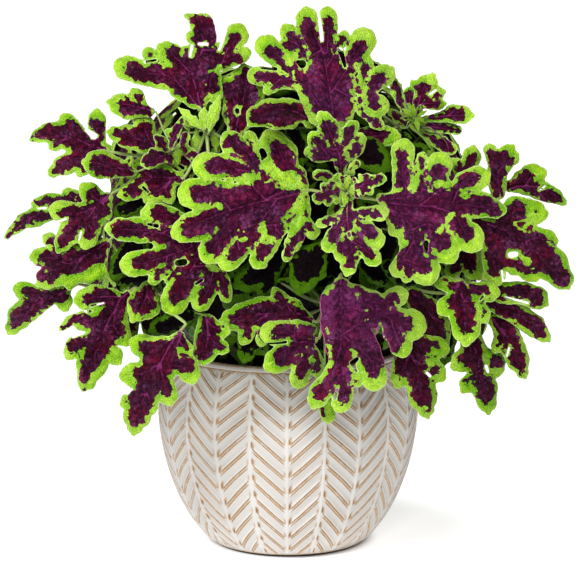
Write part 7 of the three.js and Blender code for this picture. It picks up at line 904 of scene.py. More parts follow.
def stalk(bag, shape, place, foot, r, mat, sides=8, young=0.0, shade=0.0, relief_at=None):
    mid = catmull(shape["m"], 6)
    reach = mid[: max(3, int(len(mid) * 0.72))]
    n = len(reach)
    rr = np.linspace(r, r * 0.3, n)
    h = relief_at(reach[:, 0], reach[:, 1]) if relief_at is not None else np.zeros(n)
    sink = np.interp(np.arange(n), [0, 2, n], [0.3, 1.0, 1.0])
    under = place(reach[:, 0], reach[:, 1], h - 0.1 - sink * (rr * 0.95 + 0.1))
    F = np.array(foot, float)
    B = under[0]
    d0 = np.linalg.norm(B - F)
    M = (F + B) / 2 + np.array([0, 0, -0.07 * d0])
    lead = catmull([F, M, B, under[min(2, n - 1)]], 6)[:13]
    path = np.concatenate([lead, under[1:]])
    rad = np.concatenate([np.linspace(r * 1.15, r, len(lead)), rr[1:]])
    dry = np.concatenate([np.linspace(0, 0.35, len(lead)), np.linspace(0.5, 1.0, n - 1)])
    tube(bag, path, rad, mat, sides, young=young, shade=shade, tint=5.0, edge=5.0, vein=50.0, dry=np.concatenate([np.repeat(dry, sides), dry[:1], dry[-1:]]))


# ---- materials -----------------------------------------------------------------------------
def lin(r, g, b):
    out = []
    for c in (r, g, b):
        c /= 255.0
        out.append(c / 12.92 if c <= 0.04045 else ((c + 0.055) / 1.055) ** 2.4)
    return (*out, 1.0)


class Nodes:
    def __init__(self, name):
        self.mat = bpy.data.materials.new(name)
        self.mat.use_nodes = True
        self.t = self.mat.node_tree
        self.t.nodes.clear()
        self.out = self.t.nodes.new("ShaderNodeOutputMaterial")
        self.bsdf = self.t.nodes.new("ShaderNodeBsdfPrincipled")
        self.t.links.new(self.bsdf.outputs[0], self.out.inputs[0])

    def put(self, sock, val):
        if hasattr(val, "is_output"):
            self.t.links.new(val, sock)
        elif isinstance(val, (tuple, list)) and len(val) == 4 and len(sock.default_value) == 3:
            sock.default_value = val[:3]
        else:
            sock.default_value = val

    def attr(self, name, vec=False):
        n = self.t.nodes.new("ShaderNodeAttribute")
        n.attribute_name = name
        return n.outputs["Vector" if vec else "Fac"]

    def math(self, op, a, b=0.0, c=0.0, clamp=False):
        n = self.t.nodes.new("ShaderNodeMath")
        n.operation = op
        n.use_clamp = clamp
        for i, x in enumerate((a, b, c)):
            self.put(n.inputs[i], x)
        return n.outputs[0]

    def add(self, a, b): return self.math("ADD", a, b)
    def sub(self, a, b): return self.math("SUBTRACT", a, b)
    def mul(self, a, b, clamp=False): return self.math("MULTIPLY", a, b, clamp=clamp)
    def hi(self, a, b): return self.math("MAXIMUM", a, b)
    def lo(self, a, b): return self.math("MINIMUM", a, b)
    def inv(self, a): return self.math("SUBTRACT", 1.0, a)

    def ramp(self, x, a, b, y0=0.0, y1=1.0, smooth=True):
        """y0 at x = a, y1 at x = b, a < b or a > b"""
        n = self.t.nodes.new("ShaderNodeMapRange")
        n.interpolation_type = "SMOOTHSTEP" if smooth else "LINEAR"
        n.clamp = True
        if a > b:
            a, b, y0, y1 = b, a, y1, y0
        self.put(n.inputs[0], x)
        for i, v in enumerate((a, b, y0, y1)):
            n.inputs[i + 1].default_value = v
        return n.outputs[0]

    def mix(self, f, a, b, mode="MIX"):
        n = self.t.nodes.new("ShaderNodeMix")
        n.data_type = "RGBA"
        n.blend_type = mode
        n.clamp_factor = True
        self.put(n.inputs[0], f)
        self.put(n.inputs[6], a)
        self.put(n.inputs[7], b)
        return n.outputs[2]

    def vadd(self, a, b):
        n = self.t.nodes.new("ShaderNodeVectorMath")
        n.operation = "ADD"
        self.put(n.inputs[0], a)
        self.put(n.inputs[1], b)
        return n.outputs[0]

    def vscale(self, a, k):
        n = self.t.nodes.new("ShaderNodeVectorMath")
        n.operation = "MULTIPLY"
        self.put(n.inputs[0], a)
        n.inputs[1].default_value = k if isinstance(k, tuple) else (k, k, k)
        return n.outputs[0]

    def noise(self, vec, scale, detail=2.0, rough=0.5, color=False):
        n = self.t.nodes.new("ShaderNodeTexNoise")
        n.inputs["Scale"].default_value = scale
        n.inputs["Detail"].default_value = detail
        n.inputs["Roughness"].default_value = rough
        self.put(n.inputs["Vector"], vec)
        return n.outputs["Color" if color else "Fac"]

    def voronoi(self, vec, scale, feature="F1", out="Color", rand=1.0):
        n = self.t.nodes.new("ShaderNodeTexVoronoi")
        n.feature = feature
        n.inputs["Scale"].default_value = scale
        n.inputs["Randomness"].default_value = rand
        self.put(n.inputs["Vector"], vec)
        return n.outputs[out]

    def sep(self, col, i):
        n = self.t.nodes.new("ShaderNodeSeparateColor")
        self.put(n.inputs[0], col)
        return n.outputs[i]

    def bump(self, height, dist, strength=1.0, normal=None):
        n = self.t.nodes.new("ShaderNodeBump")
        n.inputs["Distance"].default_value = dist
        n.inputs["Strength"].default_value = strength
        self.put(n.inputs["Height"], height)
        if normal is not None:
            self.put(n.inputs["Normal"], normal)
        return n.outputs[0]

    def position(self):
        n = self.t.nodes.new("ShaderNodeTexCoord")
        return n.outputs["Object"]


def leaf_material():
    m = Nodes("coleus_leaf")
    lp = m.attr("lp", True)
    g, e, v = m.attr("tint"), m.attr("edge"), m.attr("vein")
    puck, shade, young = m.attr("pucker"), m.attr("shade"), m.attr("young")
    # the border between purple and green runs along small areoles
    warp = m.vadd(lp, m.vscale(m.noise(lp, 0.35, 2, 0.6, color=True), 1.6))
    cell = m.voronoi(warp, 0.42)
    r1, r2 = m.sep(cell, 0), m.sep(cell, 1)
    fine = m.sep(m.voronoi(warp, 0.95), 0)
    jag = m.add(m.mul(m.sub(r1, 0.5), 1.7), m.mul(m.sub(fine, 0.5), 0.4))
    jag = m.add(jag, m.mul(m.sub(m.noise(lp, 0.19, 0, 0.5), 0.5), 7.0))
    broad = m.mul(m.sub(m.noise(m.vadd(lp, (17.0, 5.0, 3.0)), 0.07, 1, 0.5), 0.5), 8.0)
    gg = m.add(m.add(g, jag), broad)
    purple = m.ramp(gg, 0.22, -0.22)
    # stray flecks of purple out in the green
    sp = m.voronoi(m.vadd(lp, (31.0, 7.0, 0.0)), 0.34)
    sd = m.voronoi(m.vadd(lp, (31.0, 7.0, 0.0)), 0.34, out="Distance")
    fleck = m.mul(m.ramp(m.sep(sp, 2), 0.955, 0.965), m.mul(m.ramp(sd, 0.34, 0.22), m.ramp(g, 7.5, 4.0)))
    purple = m.hi(purple, m.mul(fleck, 0.9))
    # nothing purple in the last bit of rim
    big = m.noise(lp, 0.035, 2, 0.5)
    mid = m.noise(lp, 0.16, 3, 0.6)
    tiny = m.noise(lp, 0.85, 3, 0.7)
    # purple side
    P = m.mix(m.ramp(big, 0.36, 0.64), lin(66, 8, 40), lin(124, 11, 57))
    P = m.mix(m.ramp(mid, 0.35, 0.75), P, lin(40, 3, 26))
    # the youngest purple has a violet bloom; on the upper leaves listed in VIOLET it is partly a painted sheen
    P = m.mix(m.mul(young, 0.95), P, lin(138, 60, 124))
    # painted highlight and shade of the fine wrinkles: lighter where the fine bump noise rises, darker where it sinks
    P = m.mix(m.mul(m.ramp(tiny, 0.45, 0.75), 0.55), P, lin(144, 32, 84))
    P = m.mix(m.mul(m.ramp(tiny, 0.5, 0.28), 0.6), P, lin(26, 4, 18))
    # painted shade in the creases between the puckers
    P = m.mix(m.mul(m.ramp(puck, 0.42, 0.04), 0.55), P, lin(14, 1, 10))
    # painted sheen: violet patches on the pucker tops
    painted_sheen = m.mul(m.ramp(puck, 0.1, 0.8, 0.2, 1.0), m.ramp(m.noise(lp, 0.06, 3, 0.6), 0.42, 0.60))
    painted_sheen = m.mul(painted_sheen, m.ramp(m.noise(lp, 0.5, 3, 0.7), 0.42, 0.60, 0.15, 1.0))
    P = m.mix(m.mul(painted_sheen, 0.9), P, lin(124, 70, 116))
    # painted glints: scattered pale flecks on top of the puckers
    painted_glint = m.mul(m.ramp(m.noise(m.vadd(lp, (9.0, 4.0, 0.0)), 0.045, 2, 0.5), 0.50, 0.60), m.ramp(puck, 0.35, 0.8))
    painted_glint = m.mul(painted_glint, m.ramp(m.noise(lp, 1.15, 3, 0.7), 0.60, 0.66))
    P = m.mix(m.mul(painted_glint, 0.85), P, lin(200, 180, 200))
    # painted shade in the sunken valleys beside the veins
    P = m.mix(m.mul(m.ramp(v, 4.2, 1.1), 0.65), P, lin(18, 2, 12))
    P = m.mix(m.mul(m.ramp(v, 1.6, 0.8), 0.55), P, lin(112, 28, 82))
    P = m.mix(m.mul(m.ramp(v, 1.0, 0.3), 0.7), P, lin(148, 62, 120))
    # green side
    G = m.mix(m.ramp(g, 0.0, 8.0), lin(120, 180, 3), lin(180, 226, 40))
    G = m.mix(m.mul(m.ramp(big, 0.4, 0.62), 0.6), G, lin(204, 240, 92))
    G = m.mix(m.mul(m.ramp(mid, 0.55, 0.3), 0.45), G, lin(92, 150, 1))
    net = m.voronoi(warp, 0.42, feature="DISTANCE_TO_EDGE", out="Distance")
    # painted shade along the creases of the fine cell bump
    G = m.mix(m.mul(m.ramp(net, 0.16, 0.02), 0.32), G, lin(74, 130, 2))
    # painted highlights on the fine wrinkles, where the fine bump noise rises
    G = m.mix(m.mul(m.ramp(tiny, 0.45, 0.75), 0.45), G, lin(212, 240, 146))
    G = m.mix(m.mul(m.ramp(v, 1.4, 0.3), 0.6), G, lin(190, 226, 120))
    # pale rim, pinkish where purple runs up to it
    rim_g = m.ramp(e, 1.5, 0.3)
    G = m.mix(m.mul(rim_g, 0.6), G, lin(216, 240, 168))
    P = m.mix(m.mul(m.ramp(e, 1.3, 0.3), 0.7), P, lin(214, 130, 170))
    # paler green on young leaves, and a painted sheen on the leaves listed in VIOLET
    G = m.mix(m.mul(young, 0.4), G, lin(214, 244, 128))
    # youngest leaves: whitish lime, violet speckle
    G = m.mix(m.mul(m.mul(young, 0.6), m.ramp(e, 1.8, 0.3)), G, lin(204, 238, 132))
    C = m.mix(purple, G, P)
    # painted shade: inner and less lit leaves are darkened towards deep green and near-black purple
    deep_shade = m.mix(purple, lin(70, 108, 4), lin(11, 2, 6))
    C = m.mix(m.math("POWER", m.ramp(shade, 0.0, 0.93), 0.8), C, deep_shade)
    m.put(m.bsdf.inputs["Base Color"], C)
    rough = m.add(0.24, m.mul(tiny, 0.30))
    m.put(m.bsdf.inputs["Roughness"], rough)
    m.bsdf.inputs["Specular IOR Level"].default_value = 0.12
    m.bsdf.inputs["Sheen Weight"].default_value = 0.0
    m.bsdf.inputs["Sheen Roughness"].default_value = 0.5
    m.bsdf.inputs["Sheen Tint"].default_value = (0.80, 0.70, 0.95, 1)
    hgt = m.add(m.mul(m.ramp(net, 0.0, 0.35), 0.6), m.mul(tiny, 0.55))
    m.put(m.bsdf.inputs["Normal"], m.bump(hgt, 0.0009, 1.0))
    return m.mat


def stem_material():
    m = Nodes("coleus_stem")
    p = m.position()
    n1 = m.noise(p, 60, 2, 0.6)
    n2 = m.noise(p, 900, 2, 0.6)
    C = m.mix(m.ramp(n1, 0.35, 0.65), lin(150, 188, 84), lin(176, 196, 122))
    C = m.mix(m.mul(m.ramp(n2, 0.5, 0.8), 0.4), C, lin(208, 222, 168))
    C = m.mix(m.mul(m.ramp(m.noise(p, 25, 1, 0.5), 0.55, 0.75), 0.35), C, lin(150, 90, 90))
    # painted shade: the stems are darkened by their shade value
    C = m.mix(m.mul(m.attr("shade"), 0.7), C, lin(58, 78, 26))
    m.put(m.bsdf.inputs["Base Color"], C)
    m.put(m.bsdf.inputs["Roughness"], m.add(0.45, m.mul(n2, 0.2)))
    m.bsdf.inputs["Sheen Weight"].default_value = 0.2
    m.put(m.bsdf.inputs["Normal"], m.bump(n2, 0.0003, 0.7))
    return m.mat


def rib_material():
    """stalk and midrib, green at the stem and magenta under the blade"""
    m = Nodes("coleus_stalk")
    p = m.position()
    n2 = m.noise(p, 800, 2, 0.6)
    C = m.mix(m.ramp(m.attr("dry"), 0.2, 0.95), lin(164, 190, 104), lin(140, 46, 96))
    C = m.mix(m.mul(m.ramp(n2, 0.5, 0.8), 0.4), C, lin(208, 190, 176))
    # painted shade: the stalks are darkened by their shade value
    C = m.mix(m.mul(m.attr("shade"), 0.75), C, lin(44, 52, 20))
    m.put(m.bsdf.inputs["Base Color"], C)
    m.put(m.bsdf.inputs["Roughness"], m.add(0.42, m.mul(n2, 0.2)))
    m.bsdf.inputs["Sheen Weight"].default_value = 0.2
    m.put(m.bsdf.inputs["Normal"], m.bump(n2, 0.0003, 0.7))
    return m.mat


def pot_material():
    m = Nodes("glazed_ceramic")
    p = m.position()
    groove, tone = m.attr("edge"), m.attr("tint")
    cloud = m.noise(p, 22, 3, 0.55)
    grain = m.noise(p, 420, 3, 0.65)
    C = m.mix(m.ramp(cloud, 0.3, 0.7), lin(208, 205, 201), lin(199, 195, 190))
    C = m.mix(m.mul(tone, 0.9), C, lin(162, 154, 145))
    C = m.mix(m.mul(m.ramp(grain, 0.58, 0.75), 0.20), C, lin(192, 186, 179))
    # tan where the clay is bare on the ridges, glaze left on in places; darker brown beside the ridges and in the
    # dashes by the spines
    wear = m.ramp(m.noise(p, 75, 3, 0.6), 0.30, 0.50, 0.55, 1.0)
    tan = m.mix(m.ramp(grain, 0.35, 0.65), lin(172, 140, 106), lin(190, 163, 133))
    C = m.mix(m.mul(m.ramp(groove, 0.05, 0.5), wear), C, tan)
    C = m.mix(m.mul(m.ramp(groove, 0.6, 1.0), 0.85), C, lin(122, 98, 76))
    # painted shadow on the foot's bevel, from the shade attribute
    C = m.mix(m.attr("shade"), C, lin(20, 13, 9))
    m.put(m.bsdf.inputs["Base Color"], C)
    m.put(m.bsdf.inputs["Roughness"], m.add(m.add(0.34, m.mul(grain, 0.12)), m.mul(groove, 0.25)))
    m.bsdf.inputs["Specular IOR Level"].default_value = 0.45
    h = m.add(m.mul(cloud, 0.5), m.mul(grain, 0.5))
    m.put(m.bsdf.inputs["Normal"], m.bump(h, 0.0005, 0.6))
    return m.mat


def soil_material():
    m = Nodes("potting_mix")
    p = m.position()
    cell = m.voronoi(p, 260)
    n = m.noise(p, 90, 4, 0.65)
    f = m.noise(p, 900, 3, 0.7)
    C = m.mix(m.sep(cell, 0), lin(38, 26, 18), lin(66, 48, 34))
    C = m.mix(m.ramp(n, 0.35, 0.7), C, lin(24, 16, 11))
    C = m.mix(m.mul(m.ramp(m.sep(m.voronoi(p, 140), 1), 0.93, 0.96), 0.8), C, lin(150, 140, 124))
    m.put(m.bsdf.inputs["Base Color"], C)
    m.put(m.bsdf.inputs["Roughness"], m.add(0.8, m.mul(f, 0.15)))
    m.put(m.bsdf.inputs["Normal"], m.bump(m.add(m.voronoi(p, 260, out="Distance"), f), 0.0015, 1.0))
    return m.mat


FLOOR_GLOW = 0.435


def floor_material():
    m = Nodes("floor")
    p = m.position()
    C = m.mix(m.noise(p, 3, 2, 0.5), lin(250, 250, 250), lin(247, 247, 248))
    # a white sweep: it takes a shadow near the pot and is evenly bright farther off
    px, py = m.sep(p, 0), m.sep(p, 1)
    px, py = m.sub(px, 0.045), m.sub(py, 0.02)
    far = m.ramp(m.math("SQRT", m.add(m.mul(px, px), m.mul(py, py))), 0.075, 0.16)
    m.put(m.bsdf.inputs["Base Color"], m.mix(far, C, (0.0, 0.0, 0.0, 1.0)))
    m.bsdf.inputs["Roughness"].default_value = 0.9
    m.bsdf.inputs["Specular IOR Level"].default_value = 0.0
    ux, uy = m.sep(p, 0), m.sep(p, 1)
    # painted contact shadow: the glow drops almost to black right under the pot's foot
    under = m.ramp(m.math("SQRT", m.add(m.mul(ux, ux), m.mul(uy, uy))), 0.057, 0.072)
    near = m.mix(under, (0.04, 0.035, 0.03, 1.0), (FLOOR_GLOW,) * 3 + (1.0,))
    m.put(m.bsdf.inputs["Emission Color"], m.mix(far, near, (1.05, 1.05, 1.05, 1.0)))
    m.bsdf.inputs["Emission Strength"].default_value = 1.0
    return m.mat


LEAF, STEM, RIB = leaf_material(), stem_material(), rib_material()
PLANT = [LEAF, STEM, RIB]


# ---- the pot --------------------------------------------------------------------------------
def smooth_profile(n):
    p = catmull([(-r, z) for r, z in POT_PROFILE], n)
    return -p[:, 0], p[:, 1]


def pot_radius(z):
    r, zz = smooth_profile(16)
    return np.interp(z, zz, r)


COLS, FIRST = 22, math.radians(-90.3)
# heights of the slats' clay lines at a spine where the slats meet in a V, bottom to top
LINES = [-19.7, -7.5, 4.7, 16.9, 29.1, 41.6, 55.3, 69.0, 81.6, 94.9, 107.7, 119.7, 131.0, 142.0, 153.0, 164.5, 176.5]
RISE = 1.98                                # slats between a V spine and the next one
ROWS = [0.0, 0.03, 0.06, 0.11, 0.16, 0.19, 0.22, 0.255, 0.29, 0.34, 0.42, 0.54, 0.70, 0.85, 0.93, 0.97]
Z_LOW, Z_HIGH = 3.3, 150.6


def line_height(phase):
    return np.interp(phase, np.arange(len(LINES)) + 0.11, LINES)


def line_phase(z):
    return np.interp(z, LINES, np.arange(len(LINES)) + 0.11)


def relief(phase):
    """height of the pattern above the pot's wall and how bare the clay is, for a phase in slats"""
    t = phase - np.floor(phase)
    xs = ROWS + [1.0]
    hs = [-.25, 0.35, 0.75, 0.90, 0.75, 0.35, -.30, 0.35, 0.75, 0.80, 0.20, -.18, 0.10, 0.05, 0.60, 0.35, -.25]
    bs = [0.78, 0.60, 0.42, 0.34, 0.42, 0.66, 0.88, 0.30, 0.00, 0.00, 0.00, 0.00, 0.00, 0.00, 0.00, 0.22, 0.78]
    return np.interp(t, xs, hs), np.interp(t, xs, bs)


def make_pot():
    bag = Bag()
    # columns crowd towards the spines where the slats meet
    w = 2 * math.pi / COLS
    half = [0.0, 0.028, 0.055, 0.085, 0.15, 0.25, 0.375, 0.5]
    frac = half[:-1] + [1 - x for x in half[::-1]][:-1]
    th, spine, tri, side = [], [], [], []
    for c in range(COLS):
        for f in frac:
            th.append(FIRST + (c + f) * w)
            d = min(f, 1 - f)
            spine.append(d)
            tri.append(f if c % 2 == 0 else 1 - f)
            side.append(1.0 if f < 0.5 else 0.4)
    th, spine, tri, side = np.array(th), np.array(spine), np.array(tri), np.array(side)
    nc = len(th)
    phases = np.array([k + t for k in range(0, len(LINES) - 2) for t in ROWS])
    z = line_height(phases[:, None] + RISE * tri[None, :])
    z = np.clip(z, Z_LOW, Z_HIGH)
    # drop rows that lie wholly outside
    use = ((z > Z_LOW + 1e-6) & (z < Z_HIGH - 1e-6)).any(1)
    idx = np.nonzero(use)[0]
    z = z[max(idx[0] - 1, 0): idx[-1] + 2]
    ph = line_phase(z) - RISE * tri[None, :]
    h, b = relief(ph)
    R = pot_radius(z)
    rad = R * spine * w                      # mm from the nearest spine
    flat = sstep(1.3, 3.0, rad)
    crest = 0.70 * np.exp(-(rad / 1.25) ** 2)
    # dark brown dashes beside each spine, stronger on its right side: clay colour and partly a painted shadow of the
    # spine
    dash = sstep(0.85, 1.25, rad) * sstep(2.9, 2.1, rad) * side
    tt = ph - np.floor(ph)
    dmask = dash * sstep(0.20, 0.32, tt) * sstep(0.66, 0.50, tt)
    hh = h * flat + 0.30 * (1 - flat) + crest - 0.9 * dmask
    bb = np.clip(b * sstep(1.8, 3.0, rad) + 0.95 * dmask, 0, 1)
    fade = sstep(Z_LOW, Z_LOW + 1.6, z) * sstep(Z_HIGH, Z_HIGH - 1.6, z)
    hh = hh * fade
    bb = np.where(z >= Z_HIGH - .01, 0.75, np.where(z <= Z_LOW + .01, 0.25, bb))
    nr = z.shape[0]
    rr = R + hh
    V = np.stack([rr * np.cos(th)[None, :], rr * np.sin(th)[None, :], z], 2).reshape(-1, 3)
    B = bb.reshape(-1)
    T = np.clip((0.55 - hh) / 1.2, 0, 1).reshape(-1) * 0.55
    # weld what the clamping folded together
    key = {}
    remap = np.zeros(len(V), np.int64)
    keepv = []
    for i in range(nr):
        for j in range(nc):
            n = i * nc + j
            zz = z[i, j]
            if zz <= Z_LOW + 1e-6:
                k = (0, j)
            elif zz >= Z_HIGH - 1e-6:
                k = (1, j)
            else:
                k = (2, n)
            if k not in key:
                key[k] = len(keepv)
                keepv.append(n)
            remap[n] = key[k]
    F = []
    for i in range(nr - 1):
        a = remap[i * nc + np.arange(nc)]
        bq = remap[i * nc + (np.arange(nc) + 1) % nc]
        c = remap[(i + 1) * nc + (np.arange(nc) + 1) % nc]
        d = remap[(i + 1) * nc + np.arange(nc)]
        F.append(np.stack([a, bq, c], 1))
        F.append(np.stack([a, c, d], 1))
    F = np.concatenate(F)
    F = F[(F[:, 0] != F[:, 1]) & (F[:, 1] != F[:, 2]) & (F[:, 0] != F[:, 2])]
    keepv = np.array(keepv)
    bag.add(V[keepv], F, 0, edge=B[keepv], tint=T[keepv], lp=V[keepv])
    lowring = np.array([key[(0, j)] for j in range(nc)])
    highring = np.array([key[(1, j)] for j in range(nc)])

    def rings(profile, start, edges):
        """turn a profile, beginning at an existing ring; edges are brown values"""
        prev = start
        for (r, zz), e in zip(profile, edges):
            ring = np.stack([r * np.cos(th), r * np.sin(th), np.full(nc, zz)], 1)
            at = bag.n
            bag.add(ring, np.zeros((0, 3), np.int64), 0, edge=e, tint=0.1, lp=ring)
            cur = at + np.arange(nc)
            nx = np.roll(np.arange(nc), -1)
            f = np.concatenate([np.stack([prev, prev[nx], cur[nx]], 1), np.stack([prev, cur[nx], cur], 1)])
            bag.f.append(f)
            bag.m.append(np.zeros(len(f), np.int32))
            prev = cur
        return prev

    def close(prev, zz, e=0.0):
        at = bag.n
        bag.add([[0, 0, zz]], np.zeros((0, 3), np.int64), 0, edge=e)
        nx = np.roll(np.arange(nc), -1)
        f = np.stack([prev, prev[nx], np.full(nc, at)], 1)
        bag.f.append(f)
        bag.m.append(np.zeros(len(f), np.int32))

    rt = float(pot_radius(Z_HIGH))
    top = float(pot_radius(153.5))
    wall = 6.0
    lip = [(rt - 0.35, Z_HIGH + 0.25), (rt - 0.1, Z_HIGH + 0.6), (rt + 0.3, Z_HIGH + 1.1), (top + 0.45, 152.5), (top + 0.2, 153.6), (top - 0.7, 154.6), (top - 2.4, 155.0), (top - 4.2, 154.7), (top - 5.3, 153.8), (top - 5.9, 152.4)]
    lipb = [0.75, 0.25, 0.0, 0.0, 0.25, 0.5, 0.05, 0.0, 0.0, 0.0]
    inner = [(float(pot_radius(zz)) - wall, zz) for zz in (149, 145, 139, 130, 120, 110, 100, 85, 70, 55, 42, 30, 20)]
    inner += [(66, 13), (60, 9.6), (50, 9.0), (25, 9.0), (6, 9.0)]
    last = rings(lip + inner, highring, lipb + [0.0] * len(inner))
    close(last, 9.0)
    # foot ring, wound the other way
    nx = np.roll(np.arange(nc), -1)
    foot = [(61.95, 2.75), (61.6, 2.5), (61.3, 2.2), (60.8, 1.7), (59.8, 0.95), (58.9, 0.35), (58.0, 0.04), (56.5, 0.0), (50, 0.0), (25, 0.0), (6, 0.0)]
    footb = [0.35, 0.6, 0.9, 1.0, 1.0, 1.0, 1.0, 1.0, 0.3, 0.0, 0.0]
    # painted shadow: the foot's bevel is darkened nearly to black
    foot_shadow = [0.0, 0.15, 0.75, 1.0, 1.0, 1.0, 1.0, 0.9, 0.4, 0.2, 0.2]
    prev = lowring
    for (r, zz), e, dk in zip(foot, footb, foot_shadow):
        ring = np.stack([r * np.cos(th), r * np.sin(th), np.full(nc, zz)], 1)
        at = bag.n
        bag.add(ring, np.zeros((0, 3), np.int64), 0, edge=e, tint=0.15, shade=dk, lp=ring)
        cur = at + np.arange(nc)
        f = np.concatenate([np.stack([prev, cur[nx], prev[nx]], 1), np.stack([prev, cur, cur[nx]], 1)])
        bag.f.append(f)
        bag.m.append(np.zeros(len(f), np.int32))
        prev = cur
    at = bag.n
    bag.add([[0, 0, 0.0]], np.zeros((0, 3), np.int64), 0, edge=0.0)
    f = np.stack([prev, np.full(nc, at), prev[nx]], 1)
    bag.f.append(f)
    bag.m.append(np.zeros(len(f), np.int32))
    return bag.build("pot_glazed", [pot_material()])


# ---- soil -----------------------------------------------------------------------------------
SOIL_TOP, SOIL_CROWN = 139.0, 3.0


def make_soil():
    bag = Bag()
    n = 160
    ang = np.arange(n) * 2 * math.pi / n
    nx = np.roll(np.arange(n), -1)
    edge = float(pot_radius(SOIL_TOP)) - 6.0 - 0.6

    def surf(x, y):
        r = np.hypot(x, y)
        z = SOIL_TOP + SOIL_CROWN * np.clip((edge - r) / (edge * 0.4), 0, 1) - 0.7
        g = 1.1 * vnoise(x / 9, y / 9, 5) + 0.8 * vnoise(x / 3.4, y / 3.4, 6) + 0.6 * vnoise(x / 1.7, y / 1.7, 7)
        return z + g * sstep(edge, edge - 4, r)

    radii = np.concatenate([np.linspace(edge, edge * 0.06, 62)])
    prev = None
    for r in radii:
        x, y = r * np.cos(ang), r * np.sin(ang)
        ring = np.stack([x, y, surf(x, y)], 1)
        at = bag.n
        bag.add(ring, np.zeros((0, 3), np.int64), 0, lp=ring)
        cur = at + np.arange(n)
        if prev is not None:
            f = np.concatenate([np.stack([prev, prev[nx], cur[nx]], 1), np.stack([prev, cur[nx], cur], 1)])
            bag.f.append(f)
            bag.m.append(np.zeros(len(f), np.int32))
        else:
            first = cur
        prev = cur
    at = bag.n
    bag.add([[0, 0, float(surf(np.zeros(1), np.zeros(1))[0])]], np.zeros((0, 3), np.int64), 0)
    bag.f.append(np.stack([prev, prev[nx], np.full(n, at)], 1))
    bag.m.append(np.zeros(n, np.int32))
    prev = first
    prof = [(float(pot_radius(zz)) - 6.6, zz) for zz in (134, 126, 116, 104, 90, 75, 60, 45, 32, 22)] + [(64, 13.2), (58, 10.2), (40, 9.6), (10, 9.6)]
    for r, zz in prof:
        ring = np.stack([r * np.cos(ang), r * np.sin(ang), np.full(n, zz)], 1)
        at = bag.n
        bag.add(ring, np.zeros((0, 3), np.int64), 0, lp=ring)
        cur = at + np.arange(n)
        f = np.concatenate([np.stack([prev, cur[nx], prev[nx]], 1), np.stack([prev, cur, cur[nx]], 1)])
        bag.f.append(f)
        bag.m.append(np.zeros(len(f), np.int32))
        prev = cur
    at = bag.n
    bag.add([[0, 0, 9.6]], np.zeros((0, 3), np.int64), 0)
    bag.f.append(np.stack([prev, np.full(n, at), prev[nx]], 1))
    bag.m.append(np.zeros(n, np.int32))
    return bag.build("soil_fill", [soil_material()])


# ---- the plant --------------------------------------------------------------------------------
def dome_depth(x, y):
    return -195 * np.sqrt(np.maximum(0.06, 1 - (x / 300) ** 2 - ((38 - y) / 270) ** 2))


def seed_of(name):
    s = 7
    for ch in name:
        s = (s * 31 + ord(ch)) % 9973
    return s


def leaf_shade(leaf):
    at, _ = quad_depth(leaf, leaf["w"])
    pts = np.array([p[:2] for c in leaf["c"] for p in c], float)
    w = at(pts[:, 0], pts[:, 1])[2]
    # painted shade: leaves lying deeper behind the outer dome get a darker colour
    behind = float(np.mean(w - dome_depth(pts[:, 0], pts[:, 1])))
    s = np.clip((behind - 22) / 90, 0, 0.85)
    if leaf["n"] in SHADE_LEAVES:
        s = max(s, SHADE_LEAVES[leaf["n"]])
    return float(s)


TRIS = {}
# upper leaves with violet along the midrib: partly their own colour, partly a painted sheen
VIOLET = {"rosU": 0.75, "frontC": 0.85, "shelfC": 0.65, "rightC": 0.4, "bigL": 0.2, "topC": 0.4, "shelfL": 0.3, "topL": 0.25}


def add_front(bag, leaf):
    young = {"tip": 0.8}.get(leaf["k"], 0.0) * (1.0 if leaf["s"] in ("T1",) else 0.4)
    young = VIOLET.get(leaf["n"], young)
    sh = leaf_shade(leaf)
    step = 0.8 if leaf["k"] == "tip" else (1.35 if leaf["n"] not in SHADE_LEAVES else 2.0)
    place = front_place(leaf)
    rel = blade(bag, leaf, place, step * FINE, 0, seed_of(leaf["n"]), shade=sh, young=young,
                puck=0.9 if leaf["k"] != "tip" else 0.3, thick=0.42)
    stalk(bag, leaf, place, leaf["a"], 1.15 if leaf["k"] == "leaf" else 0.75, 2, 8 if leaf["k"] == "leaf" else 6, shade=sh, relief_at=rel)


# a young leaf that is still all green
SPRIG = {"n": "sprig", "k": "tip", "m": [[0, 0], [0, 13], [0.5, 28]],
         "c": [[[0, 2, 1.6], [0, 8, 4.2], [0, 14, 5.4], [0.3, 21, 4.0], [0.5, 27, 1.3]], [[1, 8, 2], [5.5, 12, 1.6]], [[-1, 7, 2], [-5.6, 11, 1.6]], [[1, 14, 2], [5.4, 19, 1.3]], [[-1, 14, 2], [-5.0, 19, 1.3]]]}


def add_far(bag, fl):
    shape = SPRIG if fl["shape"] == "sprig" else BY[fl["shape"]]
    place = far_place(fl)
    # painted shade for the far and inner leaves
    deep_shade = fl.get("d", 0.0)
    sprig = shape is SPRIG
    rel = blade(bag, shape, place, (1.3 if sprig else 2.1 if deep_shade < 0.6 else 3.2) * FINE, 0, seed_of(fl["n"]), scale=fl["sc"], shade=deep_shade, thick=0.42, puck=0.75 * fl["sc"], green=14.0 * fl.get("gr", 0))
    stalk(bag, shape, place, fl["a"], 0.8 if sprig else 1.15, 2, 6, shade=deep_shade, relief_at=rel)


def add_stem(bag, name):
    pts = STEMS[name]
    x, y = pts[0][0], pts[0][1]
    ground = SOIL_TOP + SOIL_CROWN - 2.5
    path = even(catmull([(x, y, ground), (x, y, ground + 10)] + [tuple(p) for p in pts[1:]], 14), 3.0)
    t = np.linspace(0, 1, len(path))
    rad = 3.3 - 1.5 * t + 0.25 * np.abs(np.sin(t * 15)) ** 8
    rad[-1] *= 0.55
    # a constant painted shade on every stem
    tube(bag, path, rad, 1, 12, shade=0.25)


FINE = 1.0

